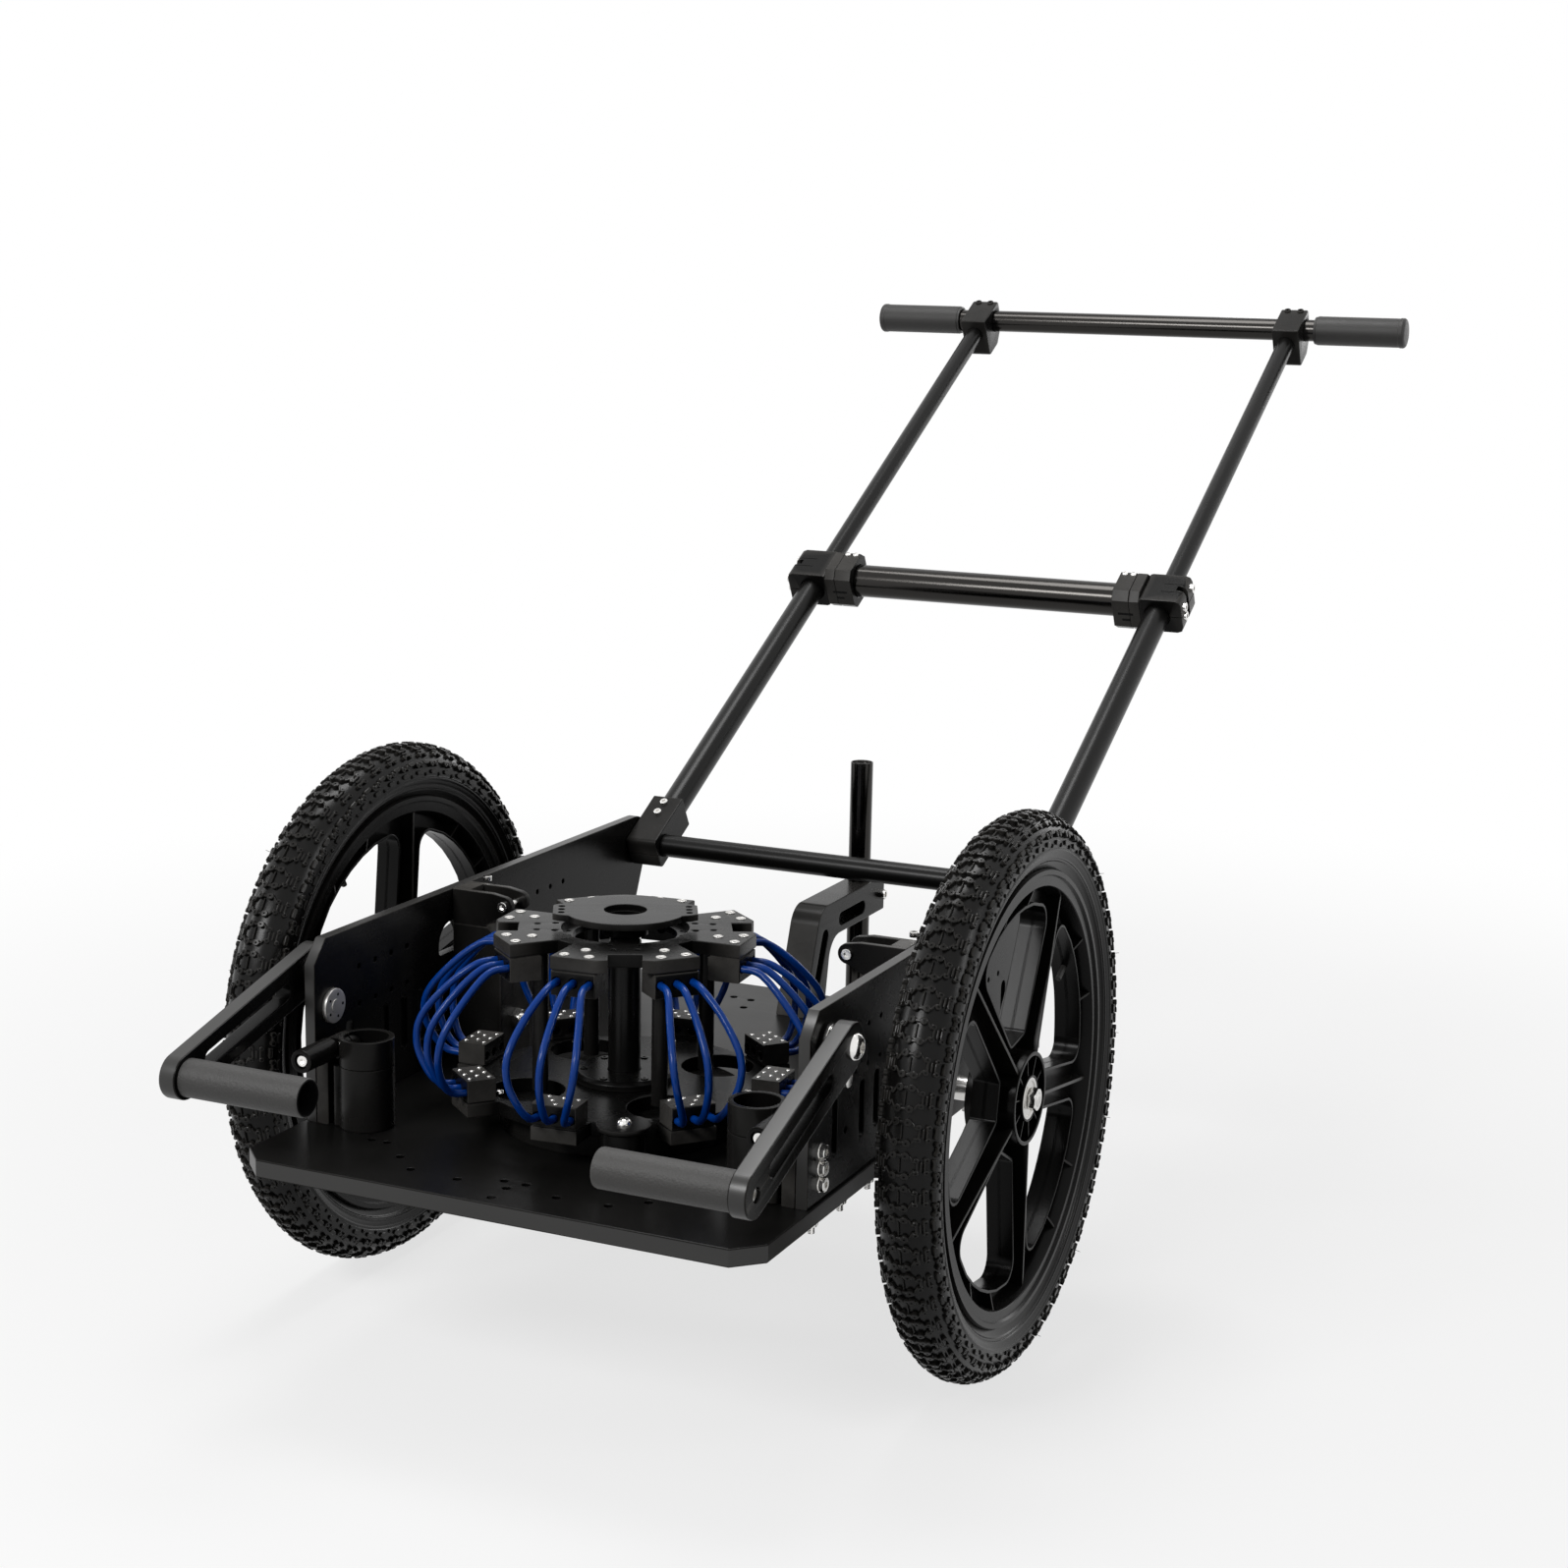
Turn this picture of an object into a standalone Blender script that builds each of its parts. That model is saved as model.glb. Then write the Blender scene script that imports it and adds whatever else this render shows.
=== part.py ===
"""Two-wheeled camera rickshaw with a wire-rope vibration isolator, built as its real pieces.

Units are metres and +Z is up. The cart faces -Y, its handle reaches back to +Y, and +X is the side
of the right wheel. Sizes are written from the wheel axle (y = 0) and from the ground (z = 0), and the
whole cart is then moved along Y so that the middle of its length lies over the origin.
"""
import math

import bmesh
import bpy
from mathutils import Matrix, Vector

# Clearances, the overshoot of cutting shapes and the overlap of joined ones
SEAT_GAP = 0.0003
RUN_GAP = 0.0004
CUT = 0.01
LAP = 0.001
FLAT_ANGLE = math.radians(0.2)
SIDES = (("left", -1), ("right", 1))

# Wheels, 20 x 2.125 inch
WHEEL_R = 0.255
TYRE_HALF_W = 0.027
HALF_TRACK = 0.3208
RIM_SEAT_R = 0.1965
RIM_LIP_R = RIM_SEAT_R + 0.008
RIM_INNER_R = RIM_SEAT_R - 0.0115
RIM_HALF_W = 0.0188
RIM_LIP_T = 0.0034
RIM_LEAN = 0.004
BEAD_T = 0.005
TYRE_WALL = 0.0125
TYRE_SHOULDER_DROP = 0.026
TYRE_CROWN_DROP = 0.006
TYRE_CROWN_IN = 0.009
SPOKES = 5
SPOKE_PHASE = math.radians(61.6)
SPOKE_HALF_W = 0.019
SPOKE_RIB_T = 0.0032
SPOKE_RIB_LAP = 0.002
WEB_T = 0.004
WINDOW_R = RIM_INNER_R - 0.014
WINDOW_WALL = 0.003
WINDOW_HALF_W = 0.0125
WINDOW_INNER_R = 0.058
WINDOW_ROUND = 0.016
HUB_R = 0.041
HUB_HALF_W = 0.0235
HUB_WALL = 0.003
BOSS_R = 0.0185
BEARING_R = 0.014
BEARING_T = 0.008
SPACER_STEP = 0.003
AXLE_R = 0.006
OUTER_NUT_T = 0.007
NUT_R = 0.0108
AXLE_END = 0.0315
WHEEL_STEPS = 28

# Deck
DECK_HALF_W = 0.2465
DECK_FRONT = -0.3623
DECK_REAR = 0.335
DECK_TOP = 0.2185
DECK_T = 0.016
DECK_CORNER = 0.023
DECK_EDGE = 0.0015
DECK_HOLE_R = 0.0036

# Side plates
PLATE_IN = 0.233
PLATE_T = 0.0107
PLATE_FRONT = -0.2577
PLATE_H = 0.165
PLATE_NOSE_Y = 0.018
PLATE_NOSE_Z = 0.021
PLATE_TAIL_RUN = 0.03
HOLE_PITCH = 0.0265
HOLE_R = 0.0025
HOLE_ROWS = (0.092, 0.127)
HOLE_FIRST = 0.108
HOLES_IN_ROW = 4
SLOT_R = 0.004
SLOT_FROM = 0.0335
SLOT_TO = 0.0815
SLOTS_Y = (0.055, 0.085, 0.1145, 0.146, 0.2035)
ARCH_Y = 0.041
ARCH_HALF_W = 0.0195
ARCH_FROM = 0.112
ARCH_TO = 0.143

# Corner blocks
BLOCK_T = 0.0125
BLOCK_LEN = 0.05
BLOCK_H = 0.0585
BLOCK_EDGE = 0.0015

# Axle housings and clevises on the side plates
HOUSING_LEN = 0.053
HOUSING_HALF_W = 0.028
HOUSING_H = 0.131
HOUSING_CHAMFER = 0.014
AXLE_Z = WHEEL_R
SHOULDER_R = 0.011
INNER_NUT_T = 0.008
AXLE_TAIL = 0.004
CLEVIS_Y = -0.0105
CLEVIS_HALF_W = 0.0175
CLEVIS_ARM_T = 0.006
CLEVIS_PIN_X = 0.177
CLEVIS_PIN_Z = 0.1535
CLEVIS_EAR_R = 0.0095
CLEVIS_PIN_R = 0.003
CLEVIS_HEAD_R = 0.005
CLEVIS_HEAD_T = 0.003
CLEVIS_HEAD_EDGE = 0.001
CLEVIS_FOOT_IN = 0.006
CLEVIS_SHOULDER = 0.012
CLEVIS_GAP_OUT = 0.017
CLEVIS_GAP_DEPTH = 0.014

# Rear bracket and support leg
BRACKET_HALF_W = 0.016
BRACKET_FOOT = (0.245, 0.298)
BRACKET_LEAN = 0.038
BRACKET_TOP = 0.1067
BRACKET_ARM_H = 0.0367
BRACKET_OUTER_R = 0.014
BRACKET_INNER_R = 0.026
BRACKET_SLOT_R = 0.007
BRACKET_SLOT_LOW = (0.2782, 0.0319)
BRACKET_SLOT_HIGH = (0.2959, 0.0746)
BRACKET_ARM_SLOT = (0.338, 0.393)
BRACKET_SLOT_DROP = 0.004
BRACKET_NECK_LEAN = 0.35
BRACKET_END_R = 0.002
LEG_Y = 0.42
LEG_R = 0.0119
LEG_TOP = 0.4545
LEG_WALL = 0.0215
LEG_SLIT = 0.002
LEG_TAP_R = 0.004
LEG_BOLT_R = 0.003
LEG_BOLT_HEAD_R = 0.005
LEG_BOLT_HEAD_T = 0.004
LEG_NUT_T = 0.007
LEG_TAP_DEPTH = 0.02
FOOT_R = 0.019
FOOT_H = 0.03
FOOT_FLOOR = 0.006
FOOT_EDGE = 0.008
FOOT_SHOULDER = 0.016
FOOT_WALL = 0.0035

# Handle frame
HINGE_Y = 0.3473
HINGE_Z = 0.3556
HANDLE_TILT = math.radians(28.95)
TUBE_X = 0.2149
CROSSBAR_R = 0.012
CROSSBAR_WALL = 0.0025
LOWER_R = 0.0145
LOWER_WALL = 0.0025
UPPER_R = 0.0112
UPPER_WALL = 0.002
MID_AT = 0.5035
MID_TUBE_R = 0.0192
MID_TUBE_WALL = 0.002
TOP_AT = 1.1216
TOP_BAR_R = 0.014
UPPER_OVERLAP = 0.07
TUBE_SOCKET = 0.016
LOWER_END = 0.004
MID_SPLIT = 0.0006
GRIP_END_T = 0.003
BASE_CLAMP_HALF_X = 0.0175
BASE_CLAMP_HALF_Z = 0.0185
BASE_CLAMP_BACK = 0.018
BASE_CLAMP_LEN = 0.058
BASE_CLAMP_CHAMFER = 0.006
MID_CLAMP_HALF_X = 0.0205
MID_CLAMP_HALF_L = 0.026
MID_CLAMP_HALF_Z = 0.022
MID_CLAMP_CHAMFER = 0.007
MID_CLAMP_LUG = 0.009
MID_LUG_GAP = 0.004
MID_LUG_DEPTH = 0.002
SLEEVE_LEN = 0.032
SLEEVE_WALL = 0.0074
SLEEVE_CHAMFER = 0.009
TOP_CLAMP_HALF_X = 0.0175
TOP_CLAMP_WALL = 0.0065
TOP_CLAMP_SOCKET = 0.017
TOP_CLAMP_CHAMFER = 0.006
TOP_CLAMP_LUG = 0.0125
TOP_CLAMP_HEEL = 0.004
TOP_CLAMP_FLOOR = 0.0032
TOP_BAR_WALL = 0.002
GRIP_R = 0.0185
GRIP_LEN = 0.118
GRIP_COLLAR = 0.001
GRIP_COLLAR_LEN = 0.006
GRIP_END_EDGE = 0.003
BAR_SHOWING = 0.0129
END_CAP_R = 0.017
END_CAP_T = 0.004

# Front arms
ARM_PIVOT_Y = -0.223
ARM_PIVOT_Z = 0.352
ARM_LENGTH = 0.197
ARM_HALF_W = 0.0205
ARM_END_R = 0.0195
ARM_OUT = 0.268
ARM_T = 0.016
ARM_DROP = {"left": math.radians(14.8), "right": math.radians(19.7)}
ARM_SLOT_FROM = 0.045
ARM_SLOT_TO = ARM_LENGTH - 0.025
ARM_SLOT_R = 0.007
ARM_EDGE = 0.0015
ARM_BOSS_R = 0.0175
ARM_END_BORE = 0.0065
ARM_END_RECESS = 0.006
PIVOT_R = 0.005
PIVOT_HEAD_R = 0.0115
PIVOT_HEAD_H = 0.0065
PIVOT_NUT_R = 0.011
PIVOT_NUT_T = 0.005
PIVOT_TAIL = 0.003
PIVOT_HEAD_RIM = 0.002
PIVOT_HEAD_FLAT = 0.6
STOP_R = 0.0065
STOP_PIN_R = 0.004
STOP_NUT_R = 0.0155
STOP_NUT_T = 0.004
STOP_SHORT = 0.004
FRONT_GRIP_R = 0.0165
FRONT_GRIP_BORE = 0.0125
FRONT_GRIP_IN = 0.1255
FRONT_GRIP_PLUG = 0.01

# Clamp sockets on the deck
SOCKET_X = 0.19
SOCKET_Y = -0.2415
SOCKET_R = 0.0245
SOCKET_BORE = 0.0195
SOCKET_FLOOR = 0.005
SOCKET_BODY_H = 0.0565
FLUTE_R = 0.005
FLUTE_TURNS = (-28, 0, 28)
FLUTE_FOOT = 0.001
FLUTE_DROP = 0.002
COLLAR_TO = 0.082
EAR_X = 0.0285
EAR_R = 0.0095
EAR_HALF_W = 0.012
EAR_SLIT = 0.002
EAR_RISE = 0.001
EAR_LAP = 0.003
KNOB_R = 0.0105
KNOB_LEN = 0.043
KNOB_RECESS_R = 0.0065
KNOB_RECESS = 0.005
KNOB_COLLAR_R = 0.006
KNOB_SPACER_T = 0.004
KNOB_BOLT_R = 0.003
KNOB_NUT_T = 0.004

# Vibration isolator, in its own frame on the deck
ISO_Y = -0.116
ISO_TURN = math.radians(27.8)
PETALS = 8
PETAL_HALF_W = 0.021
PETAL_STEP = 0.0002
PEDESTAL_R = 0.112
PEDESTAL_BORE = 0.05
PEDESTAL_H = 0.0242
BASE_T = 0.0125
BASE_PETAL_R = 0.155
BASE_VALLEY_R = 0.1285
BASE_HOLE_R = 0.033
BASE_HOLE_AT = 0.092
BASE_VALLEY_TURNS = (-12.4, 0, 12.4)
BASE_CENTRE_PLAY = 0.001
LOWER_BLOCK_T = 0.0205
LOWER_BLOCK_DEPTH = 0.027
ROPE_LOW = 0.0088
LACE_R = 0.1238
LACE_OVER = 0.005
TOP_PLATE_AT = 0.1645
TOP_PLATE_T = 0.012
TOP_PETAL_R = 0.116
TOP_NOTCH_R = 0.095
TOP_NOTCH_HALF_W = 0.0145
TOP_GAP_R = 0.074
TOP_GAP_TURNS = (38, 52)
TOP_SHOULDER = 0.003
TOP_EDGE = 0.001
TOP_HOLE_R = 0.0028
TOP_HOLE_AT = 0.062
TOP_HOLE_ACROSS = 0.013
UPPER_BLOCK_T = 0.0225
UPPER_BLOCK_DEPTH = 0.03
ROPE_HIGH = 0.0105
ROPE_R = 0.0033
ROPE_PITCH = 0.015
ROPE_FAN = 2.05
ROPES = 3
ROPE_POINTS = 6
ROPE_BULGE_R = 0.184
ROPE_SHOULDER = ((0.0497, 0.003), (0.026, 0.022), (0.005, 0.048), (0, 0.071))
ROPE_FOOT = ((0.006, 0.015), (0.0157, 0.0025))
COLUMN_R = 0.0072
COLUMN_AT = 0.08
CENTRE_R = 0.0145
CENTRE_END = 0.0285
COLUMN_END = 0.036
FLANGE_R = 0.045
FLANGE_T = 0.008
FLANGE_EDGE = 0.003
PUCK_AT = 0.154
PUCK_R = 0.0235
PUCK_H = 0.046
PUCK_WAIST = 0.004
PUCK_FOOT_H = 0.016
PUCK_FOOT_LEAN = 0.002
PUCK_LIP_H = 0.005
PUCK_BOLT_R = 0.006
PUCK_BOLT_H = 0.005
NECK_R = 0.026
NECK_H = 0.0095
NECK_FOOT = 0.004
NECK_FOOT_H = 0.003
PAYLOAD_R = 0.055
PAYLOAD_T = 0.006
PAYLOAD_BORE = 0.019
PAYLOAD_EDGE = 0.001
WING_REACH = 0.064
WING_HALF_W = 0.02
WING_BLEND = 0.003
WING_CORNER = (0.005, 0.004)
WING_HOLE_R = 0.0028
WING_HOLE_AT = 0.0565
WING_HOLE_ACROSS = 0.011

# Places that follow from the sizes above
PLATE_OUT = PLATE_IN + PLATE_T
PLATE_BOTTOM = DECK_TOP + SEAT_GAP
PLATE_TOP = DECK_TOP + PLATE_H
DECK_BOTTOM = DECK_TOP - DECK_T
ARM_IN = ARM_OUT - ARM_T
ARM_STOP_DROP = (ARM_HALF_W + STOP_R + SEAT_GAP) / math.cos(ARM_DROP["right"])
BASE_BOTTOM = PEDESTAL_H + 2 * SEAT_GAP
BASE_TOP = BASE_BOTTOM + BASE_T
TOP_PLATE_TOP = TOP_PLATE_AT + TOP_PLATE_T
COLUMN_TURNS = (22.5, 112.5, 202.5, 292.5)
TOP_CLAMP_REACH = TOP_BAR_R + TOP_CLAMP_WALL
TOP_BAR_HALF = TUBE_X + TOP_CLAMP_HALF_X + BAR_SHOWING + GRIP_LEN


def cart_length():
    """Foremost and rearmost points along Y, for the shift that centres the cart."""
    drop = min(ARM_DROP.values())
    front = ARM_PIVOT_Y - (ARM_LENGTH + ARM_END_R) * math.cos(drop)
    along = TOP_AT + TOP_CLAMP_REACH
    below = TOP_CLAMP_REACH - TOP_CLAMP_CHAMFER
    rear = HINGE_Y + along * math.cos(HANDLE_TILT) + below * math.sin(HANDLE_TILT)
    return front, rear


AXLE_Y = -sum(cart_length()) / 2


# Outlines

def arc(centre, radius, start, stop, steps):
    """Points on an arc, start and stop in degrees."""
    points = []
    for i in range(steps + 1):
        a = math.radians(start + (stop - start) * i / steps)
        points.append((centre[0] + radius * math.cos(a), centre[1] + radius * math.sin(a)))
    return points


def circle(centre, radius, steps, phase=0.0):
    return arc(centre, radius, phase, phase + 360 - 360 / steps, steps - 1)


def slot(a, b, radius, steps=3):
    """Outline of a slot whose end centres are a and b."""
    turn = math.degrees(math.atan2(b[1] - a[1], b[0] - a[0]))
    return arc(b, radius, turn - 90, turn + 90, steps) + arc(a, radius, turn + 90, turn + 270, steps)


def box(u0, u1, v0, v1):
    return [(u0, v0), (u1, v0), (u1, v1), (u0, v1)]


def rounded(corners, steps=3):
    """Outline through (u, v, radius) corners, with each corner rounded by its radius."""
    points = []
    count = len(corners)
    for i, (u, v, radius) in enumerate(corners):
        here = Vector((u, v))
        if radius <= 0:
            points.append((u, v))
            continue
        back = (Vector(corners[i - 1][:2]) - here).normalized()
        ahead = (Vector(corners[(i + 1) % count][:2]) - here).normalized()
        half = back.angle(ahead) / 2
        middle = here + (back + ahead).normalized() * (radius / math.sin(half))
        start = here + back * (radius / math.tan(half)) - middle
        stop = here + ahead * (radius / math.tan(half)) - middle
        sweep = start.angle_signed(stop)
        for k in range(steps + 1):
            a = -sweep * k / steps
            x = start.x * math.cos(a) - start.y * math.sin(a)
            y = start.x * math.sin(a) + start.y * math.cos(a)
            points.append((middle.x + x, middle.y + y))
    return points


def offset(outline, distance):
    """Outline moved outward by distance; the outline runs anticlockwise."""
    points = []
    count = len(outline)
    for i in range(count):
        here = Vector(outline[i])
        a = (here - Vector(outline[i - 1])).normalized()
        b = (Vector(outline[(i + 1) % count]) - here).normalized()
        na = Vector((a.y, -a.x))
        nb = Vector((b.y, -b.x))
        mitre = (na + nb) / (1 + na.dot(nb))
        points.append(tuple(here + mitre * distance))
    return points


def turned_outline(outline, degrees):
    c = math.cos(math.radians(degrees))
    s = math.sin(math.radians(degrees))
    return [(c * u - s * v, s * u + c * v) for u, v in outline]


def moved_outline(outline, du, dv):
    return [(u + du, v + dv) for u, v in outline]


# Solids in a bmesh

PLANES = {
    "xy": lambda u, v, h: Vector((u, v, h)),
    "yz": lambda u, v, h: Vector((h, u, v)),
    "zx": lambda u, v, h: Vector((v, h, u)),
}


def stack(bm, layers, plane):
    """Closed solid through (height, outline) layers; outlines run anticlockwise and heights rise."""
    place = PLANES[plane]
    rings = [[bm.verts.new(place(u, v, height)) for u, v in outline] for height, outline in layers]
    count = len(rings[0])
    for low, high in zip(rings, rings[1:]):
        for i in range(count):
            j = (i + 1) % count
            bm.faces.new((low[i], low[j], high[j], high[i]))
    bm.faces.new(list(reversed(rings[0])))
    bm.faces.new(rings[-1])


def slab(bm, outline, low, high, plane):
    stack(bm, [(low, outline), (high, outline)], plane)


def bar(bm, start, end, radius, axis, steps=20, across=(0, 0)):
    """Round bar along X, Y or Z; across gives its place on the two other axes."""
    plane = {"X": "yz", "Y": "zx", "Z": "xy"}[axis]
    centre = (across[1], across[0]) if axis == "Y" else across
    low, high = sorted((start, end))
    slab(bm, circle(centre, radius, steps), low, high, plane)


def turning(axis):
    """Matrix that lays (across, across, along) coordinates on an axis."""
    return {"X": Matrix(((0, 0, 1), (1, 0, 0), (0, 1, 0))),
            "Y": Matrix(((0, 1, 0), (0, 0, 1), (1, 0, 0))),
            "Z": Matrix.Identity(3)}[axis]


def ring(bm, profile, axis="X", centre=(0, 0, 0), steps=24, flats_from=None):
    """Turned ring from a closed (radius, along) profile; radii above flats_from become six-sided."""
    swap = turning(axis)
    middle = Vector(centre)
    rows = []
    for i in range(steps):
        a = 2 * math.pi * i / steps
        row = []
        for r, h in profile:
            if flats_from is not None and r > flats_from:
                r *= math.cos(math.pi / 6) / math.cos((a + math.pi / 6) % (math.pi / 3) - math.pi / 6)
            row.append(bm.verts.new(middle + swap @ Vector((r * math.cos(a), r * math.sin(a), h))))
        rows.append(row)
    count = len(profile)
    faces = []
    for i in range(steps):
        for k in range(count):
            quad = (rows[i][k], rows[i][(k + 1) % count],
                    rows[(i + 1) % steps][(k + 1) % count], rows[(i + 1) % steps][k])
            faces.append(bm.faces.new(quad))
    bmesh.ops.recalc_face_normals(bm, faces=faces)


def lathe(bm, profile, axis="X", centre=(0, 0, 0), steps=24):
    """Turned solid whose (radius, along) profile starts and ends on the axis."""
    swap = turning(axis)
    middle = Vector(centre)
    first = bm.verts.new(middle + swap @ Vector((0, 0, profile[0][1])))
    last = bm.verts.new(middle + swap @ Vector((0, 0, profile[-1][1])))
    rows = []
    for r, h in profile[1:-1]:
        row = []
        for i in range(steps):
            a = 2 * math.pi * i / steps
            row.append(bm.verts.new(middle + swap @ Vector((r * math.cos(a), r * math.sin(a), h))))
        rows.append(row)
    faces = []
    for i in range(steps):
        j = (i + 1) % steps
        faces.append(bm.faces.new((first, rows[0][i], rows[0][j])))
        faces.append(bm.faces.new((last, rows[-1][j], rows[-1][i])))
        for low, high in zip(rows, rows[1:]):
            faces.append(bm.faces.new((low[i], high[i], high[j], low[j])))
    bmesh.ops.recalc_face_normals(bm, faces=faces)


def tube(bm, start, end, radius, bore, axis, steps=20, across=(0, 0)):
    """Open pipe along X, Y or Z; across gives its place on the two other axes."""
    centre = {"X": (0, across[0], across[1]), "Y": (across[0], 0, across[1]),
              "Z": (across[0], across[1], 0)}[axis]
    profile = [(bore, start), (radius, start), (radius, end), (bore, end)]
    ring(bm, profile, axis, centre, steps)


# Objects

def paint(name, colour, roughness, metallic):
    mat = bpy.data.materials.new(name)
    mat.use_nodes = True
    shader = mat.node_tree.nodes["Principled BSDF"]
    shader.inputs["Base Color"].default_value = (*colour, 1)
    shader.inputs["Roughness"].default_value = roughness
    shader.inputs["Metallic"].default_value = metallic
    mat.diffuse_color = (*colour, 1)
    return mat


FINISHES = {
    "anodised": ((0.035, 0.034, 0.033), 0.42, 0.85),
    "gloss_tube": ((0.012, 0.012, 0.013), 0.18, 0.6),
    "moulded": ((0.022, 0.022, 0.022), 0.45, 0.0),
    "rubber": ((0.02, 0.019, 0.018), 0.7, 0.0),
    "steel": ((0.72, 0.72, 0.7), 0.25, 1.0),
    "foam": ((0.09, 0.085, 0.08), 0.8, 0.0),
    "rope": ((0.01, 0.05, 0.3), 0.25, 0.0),
}


def finish(obj, kind):
    colour, roughness, metallic = FINISHES[kind]
    obj.data.materials.append(paint(obj.name + "_finish", colour, roughness, metallic))


def smooth(mesh, degrees=32):
    mesh.shade_smooth()
    mesh.set_sharp_from_angle(angle=math.radians(degrees))


def make(name, bm, kind, parent):
    mesh = bpy.data.meshes.new(name)
    bm.to_mesh(mesh)
    bm.free()
    smooth(mesh)
    obj = bpy.data.objects.new(name, mesh)
    bpy.context.scene.collection.objects.link(obj)
    obj.parent = parent
    finish(obj, kind)
    return obj


def tool(obj, bm, operation="DIFFERENCE", overlapping=False):
    """Cuts or joins the shapes of bm with obj through a hidden tool object."""
    number = len(obj.modifiers)
    mesh = bpy.data.meshes.new(f"{obj.name}_tool_{number}")
    bm.to_mesh(mesh)
    bm.free()
    helper = bpy.data.objects.new(mesh.name, mesh)
    bpy.context.scene.collection.objects.link(helper)
    helper.parent = obj.parent
    helper.matrix_local = obj.matrix_local.copy()
    helper.hide_render = True
    helper.display_type = "WIRE"
    boolean = obj.modifiers.new(f"tool_{number}", "BOOLEAN")
    boolean.operation = operation
    boolean.solver = "EXACT"
    boolean.use_self = overlapping
    boolean.object = helper
    return helper


def merge_flat_faces():
    """Planar dissolve last on each cut or joined piece, so that its flat faces stay whole."""
    for obj in bpy.data.objects:
        if obj.modifiers and not obj.hide_render:
            flat = obj.modifiers.new("flat_faces", "DECIMATE")
            flat.decimate_type = "DISSOLVE"
            flat.angle_limit = FLAT_ANGLE


def empty(name, location, parent=None, rotation=(0, 0, 0)):
    obj = bpy.data.objects.new(name, None)
    bpy.context.scene.collection.objects.link(obj)
    obj.parent = parent
    obj.location = location
    obj.rotation_euler = rotation
    return obj


# Wheels, each in a frame on its axle with +X pointing out

def window_outline():
    """One opening between two spokes, in the wheel plane, about the direction midway between them."""
    half = math.pi / SPOKES
    wide = half - math.asin(SPOKE_HALF_W / WINDOW_R)
    outer = [(WINDOW_R * math.cos(a), WINDOW_R * math.sin(a)) for a in (-wide, 0, wide)]
    narrow = half - math.asin(SPOKE_HALF_W / WINDOW_INNER_R)
    x = WINDOW_INNER_R * math.cos(narrow)
    y = WINDOW_INNER_R * math.sin(narrow)
    corners = [(*outer[0], WINDOW_ROUND), (*outer[1], 0), (*outer[2], WINDOW_ROUND)]
    return rounded(corners + [(x, y, 0), (x, -y, 0)], 2)


def rim_profile():
    """Section of hub boss, web and rim as (radius, along axle), closed."""
    web = WEB_T / 2
    half = RIM_HALF_W
    left = [(BEARING_R + SEAT_GAP, -HUB_HALF_W), (BOSS_R, -HUB_HALF_W), (BOSS_R, -web),
            (RIM_INNER_R - 2 * RIM_LEAN, -web), (RIM_INNER_R - RIM_LEAN, -half), (RIM_LIP_R, -half),
            (RIM_LIP_R, -half + RIM_LIP_T), (RIM_SEAT_R, -half + RIM_LIP_T)]
    return left + [(r, -h) for r, h in reversed(left)]


def radial_plate(bm, profile, turn, thickness):
    """Thin plate along a radius of the wheel, from its (radius, along axle) profile."""
    out = Vector((0, math.cos(turn), math.sin(turn)))
    side = Vector((0, -math.sin(turn), math.cos(turn)))
    rows = []
    for shift in (-thickness / 2, thickness / 2):
        rows.append([bm.verts.new(out * r + side * shift + Vector((h, 0, 0))) for r, h in profile])
    faces = [bm.faces.new(rows[0]), bm.faces.new(list(reversed(rows[1])))]
    count = len(profile)
    for i in range(count):
        j = (i + 1) % count
        faces.append(bm.faces.new((rows[0][j], rows[0][i], rows[1][i], rows[1][j])))
    bmesh.ops.recalc_face_normals(bm, faces=faces)


def wheel(name, parent):
    """Moulded wheel: rim, web with lined openings, a rib on each spoke and a hub ring."""
    bm = bmesh.new()
    ring(bm, rim_profile(), "X", steps=WHEEL_STEPS)
    obj = make(name, bm, "moulded", parent)
    walls = bmesh.new()
    windows = bmesh.new()
    opening = window_outline()
    lined = offset(opening, WINDOW_WALL)
    ribs = bmesh.new()
    rib_end = RIM_INNER_R - RIM_LEAN
    rib_start = BOSS_R - SPOKE_RIB_LAP
    for i in range(SPOKES):
        turn = SPOKE_PHASE + i * 2 * math.pi / SPOKES
        between = math.degrees(turn) + 180 / SPOKES
        slab(walls, turned_outline(lined, between), -WINDOW_HALF_W, WINDOW_HALF_W, "yz")
        slab(windows, turned_outline(opening, between), -HUB_HALF_W, HUB_HALF_W, "yz")
        wide = HUB_HALF_W - SPOKE_RIB_LAP
        narrow = RIM_HALF_W - RIM_LEAN
        rib = [(rib_start, -wide), (rib_end, -narrow), (rib_end, narrow), (rib_start, wide)]
        radial_plate(ribs, rib, turn, SPOKE_RIB_T)
    tool(obj, walls, "UNION")
    tool(obj, ribs, "UNION")
    hub = bmesh.new()
    half = HUB_HALF_W
    inner = HUB_R - HUB_WALL
    ring(hub, [(inner, -half), (HUB_R, -half), (HUB_R, half), (inner, half)], "X", steps=20)
    tool(obj, hub, "UNION")
    tool(obj, windows)


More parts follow.
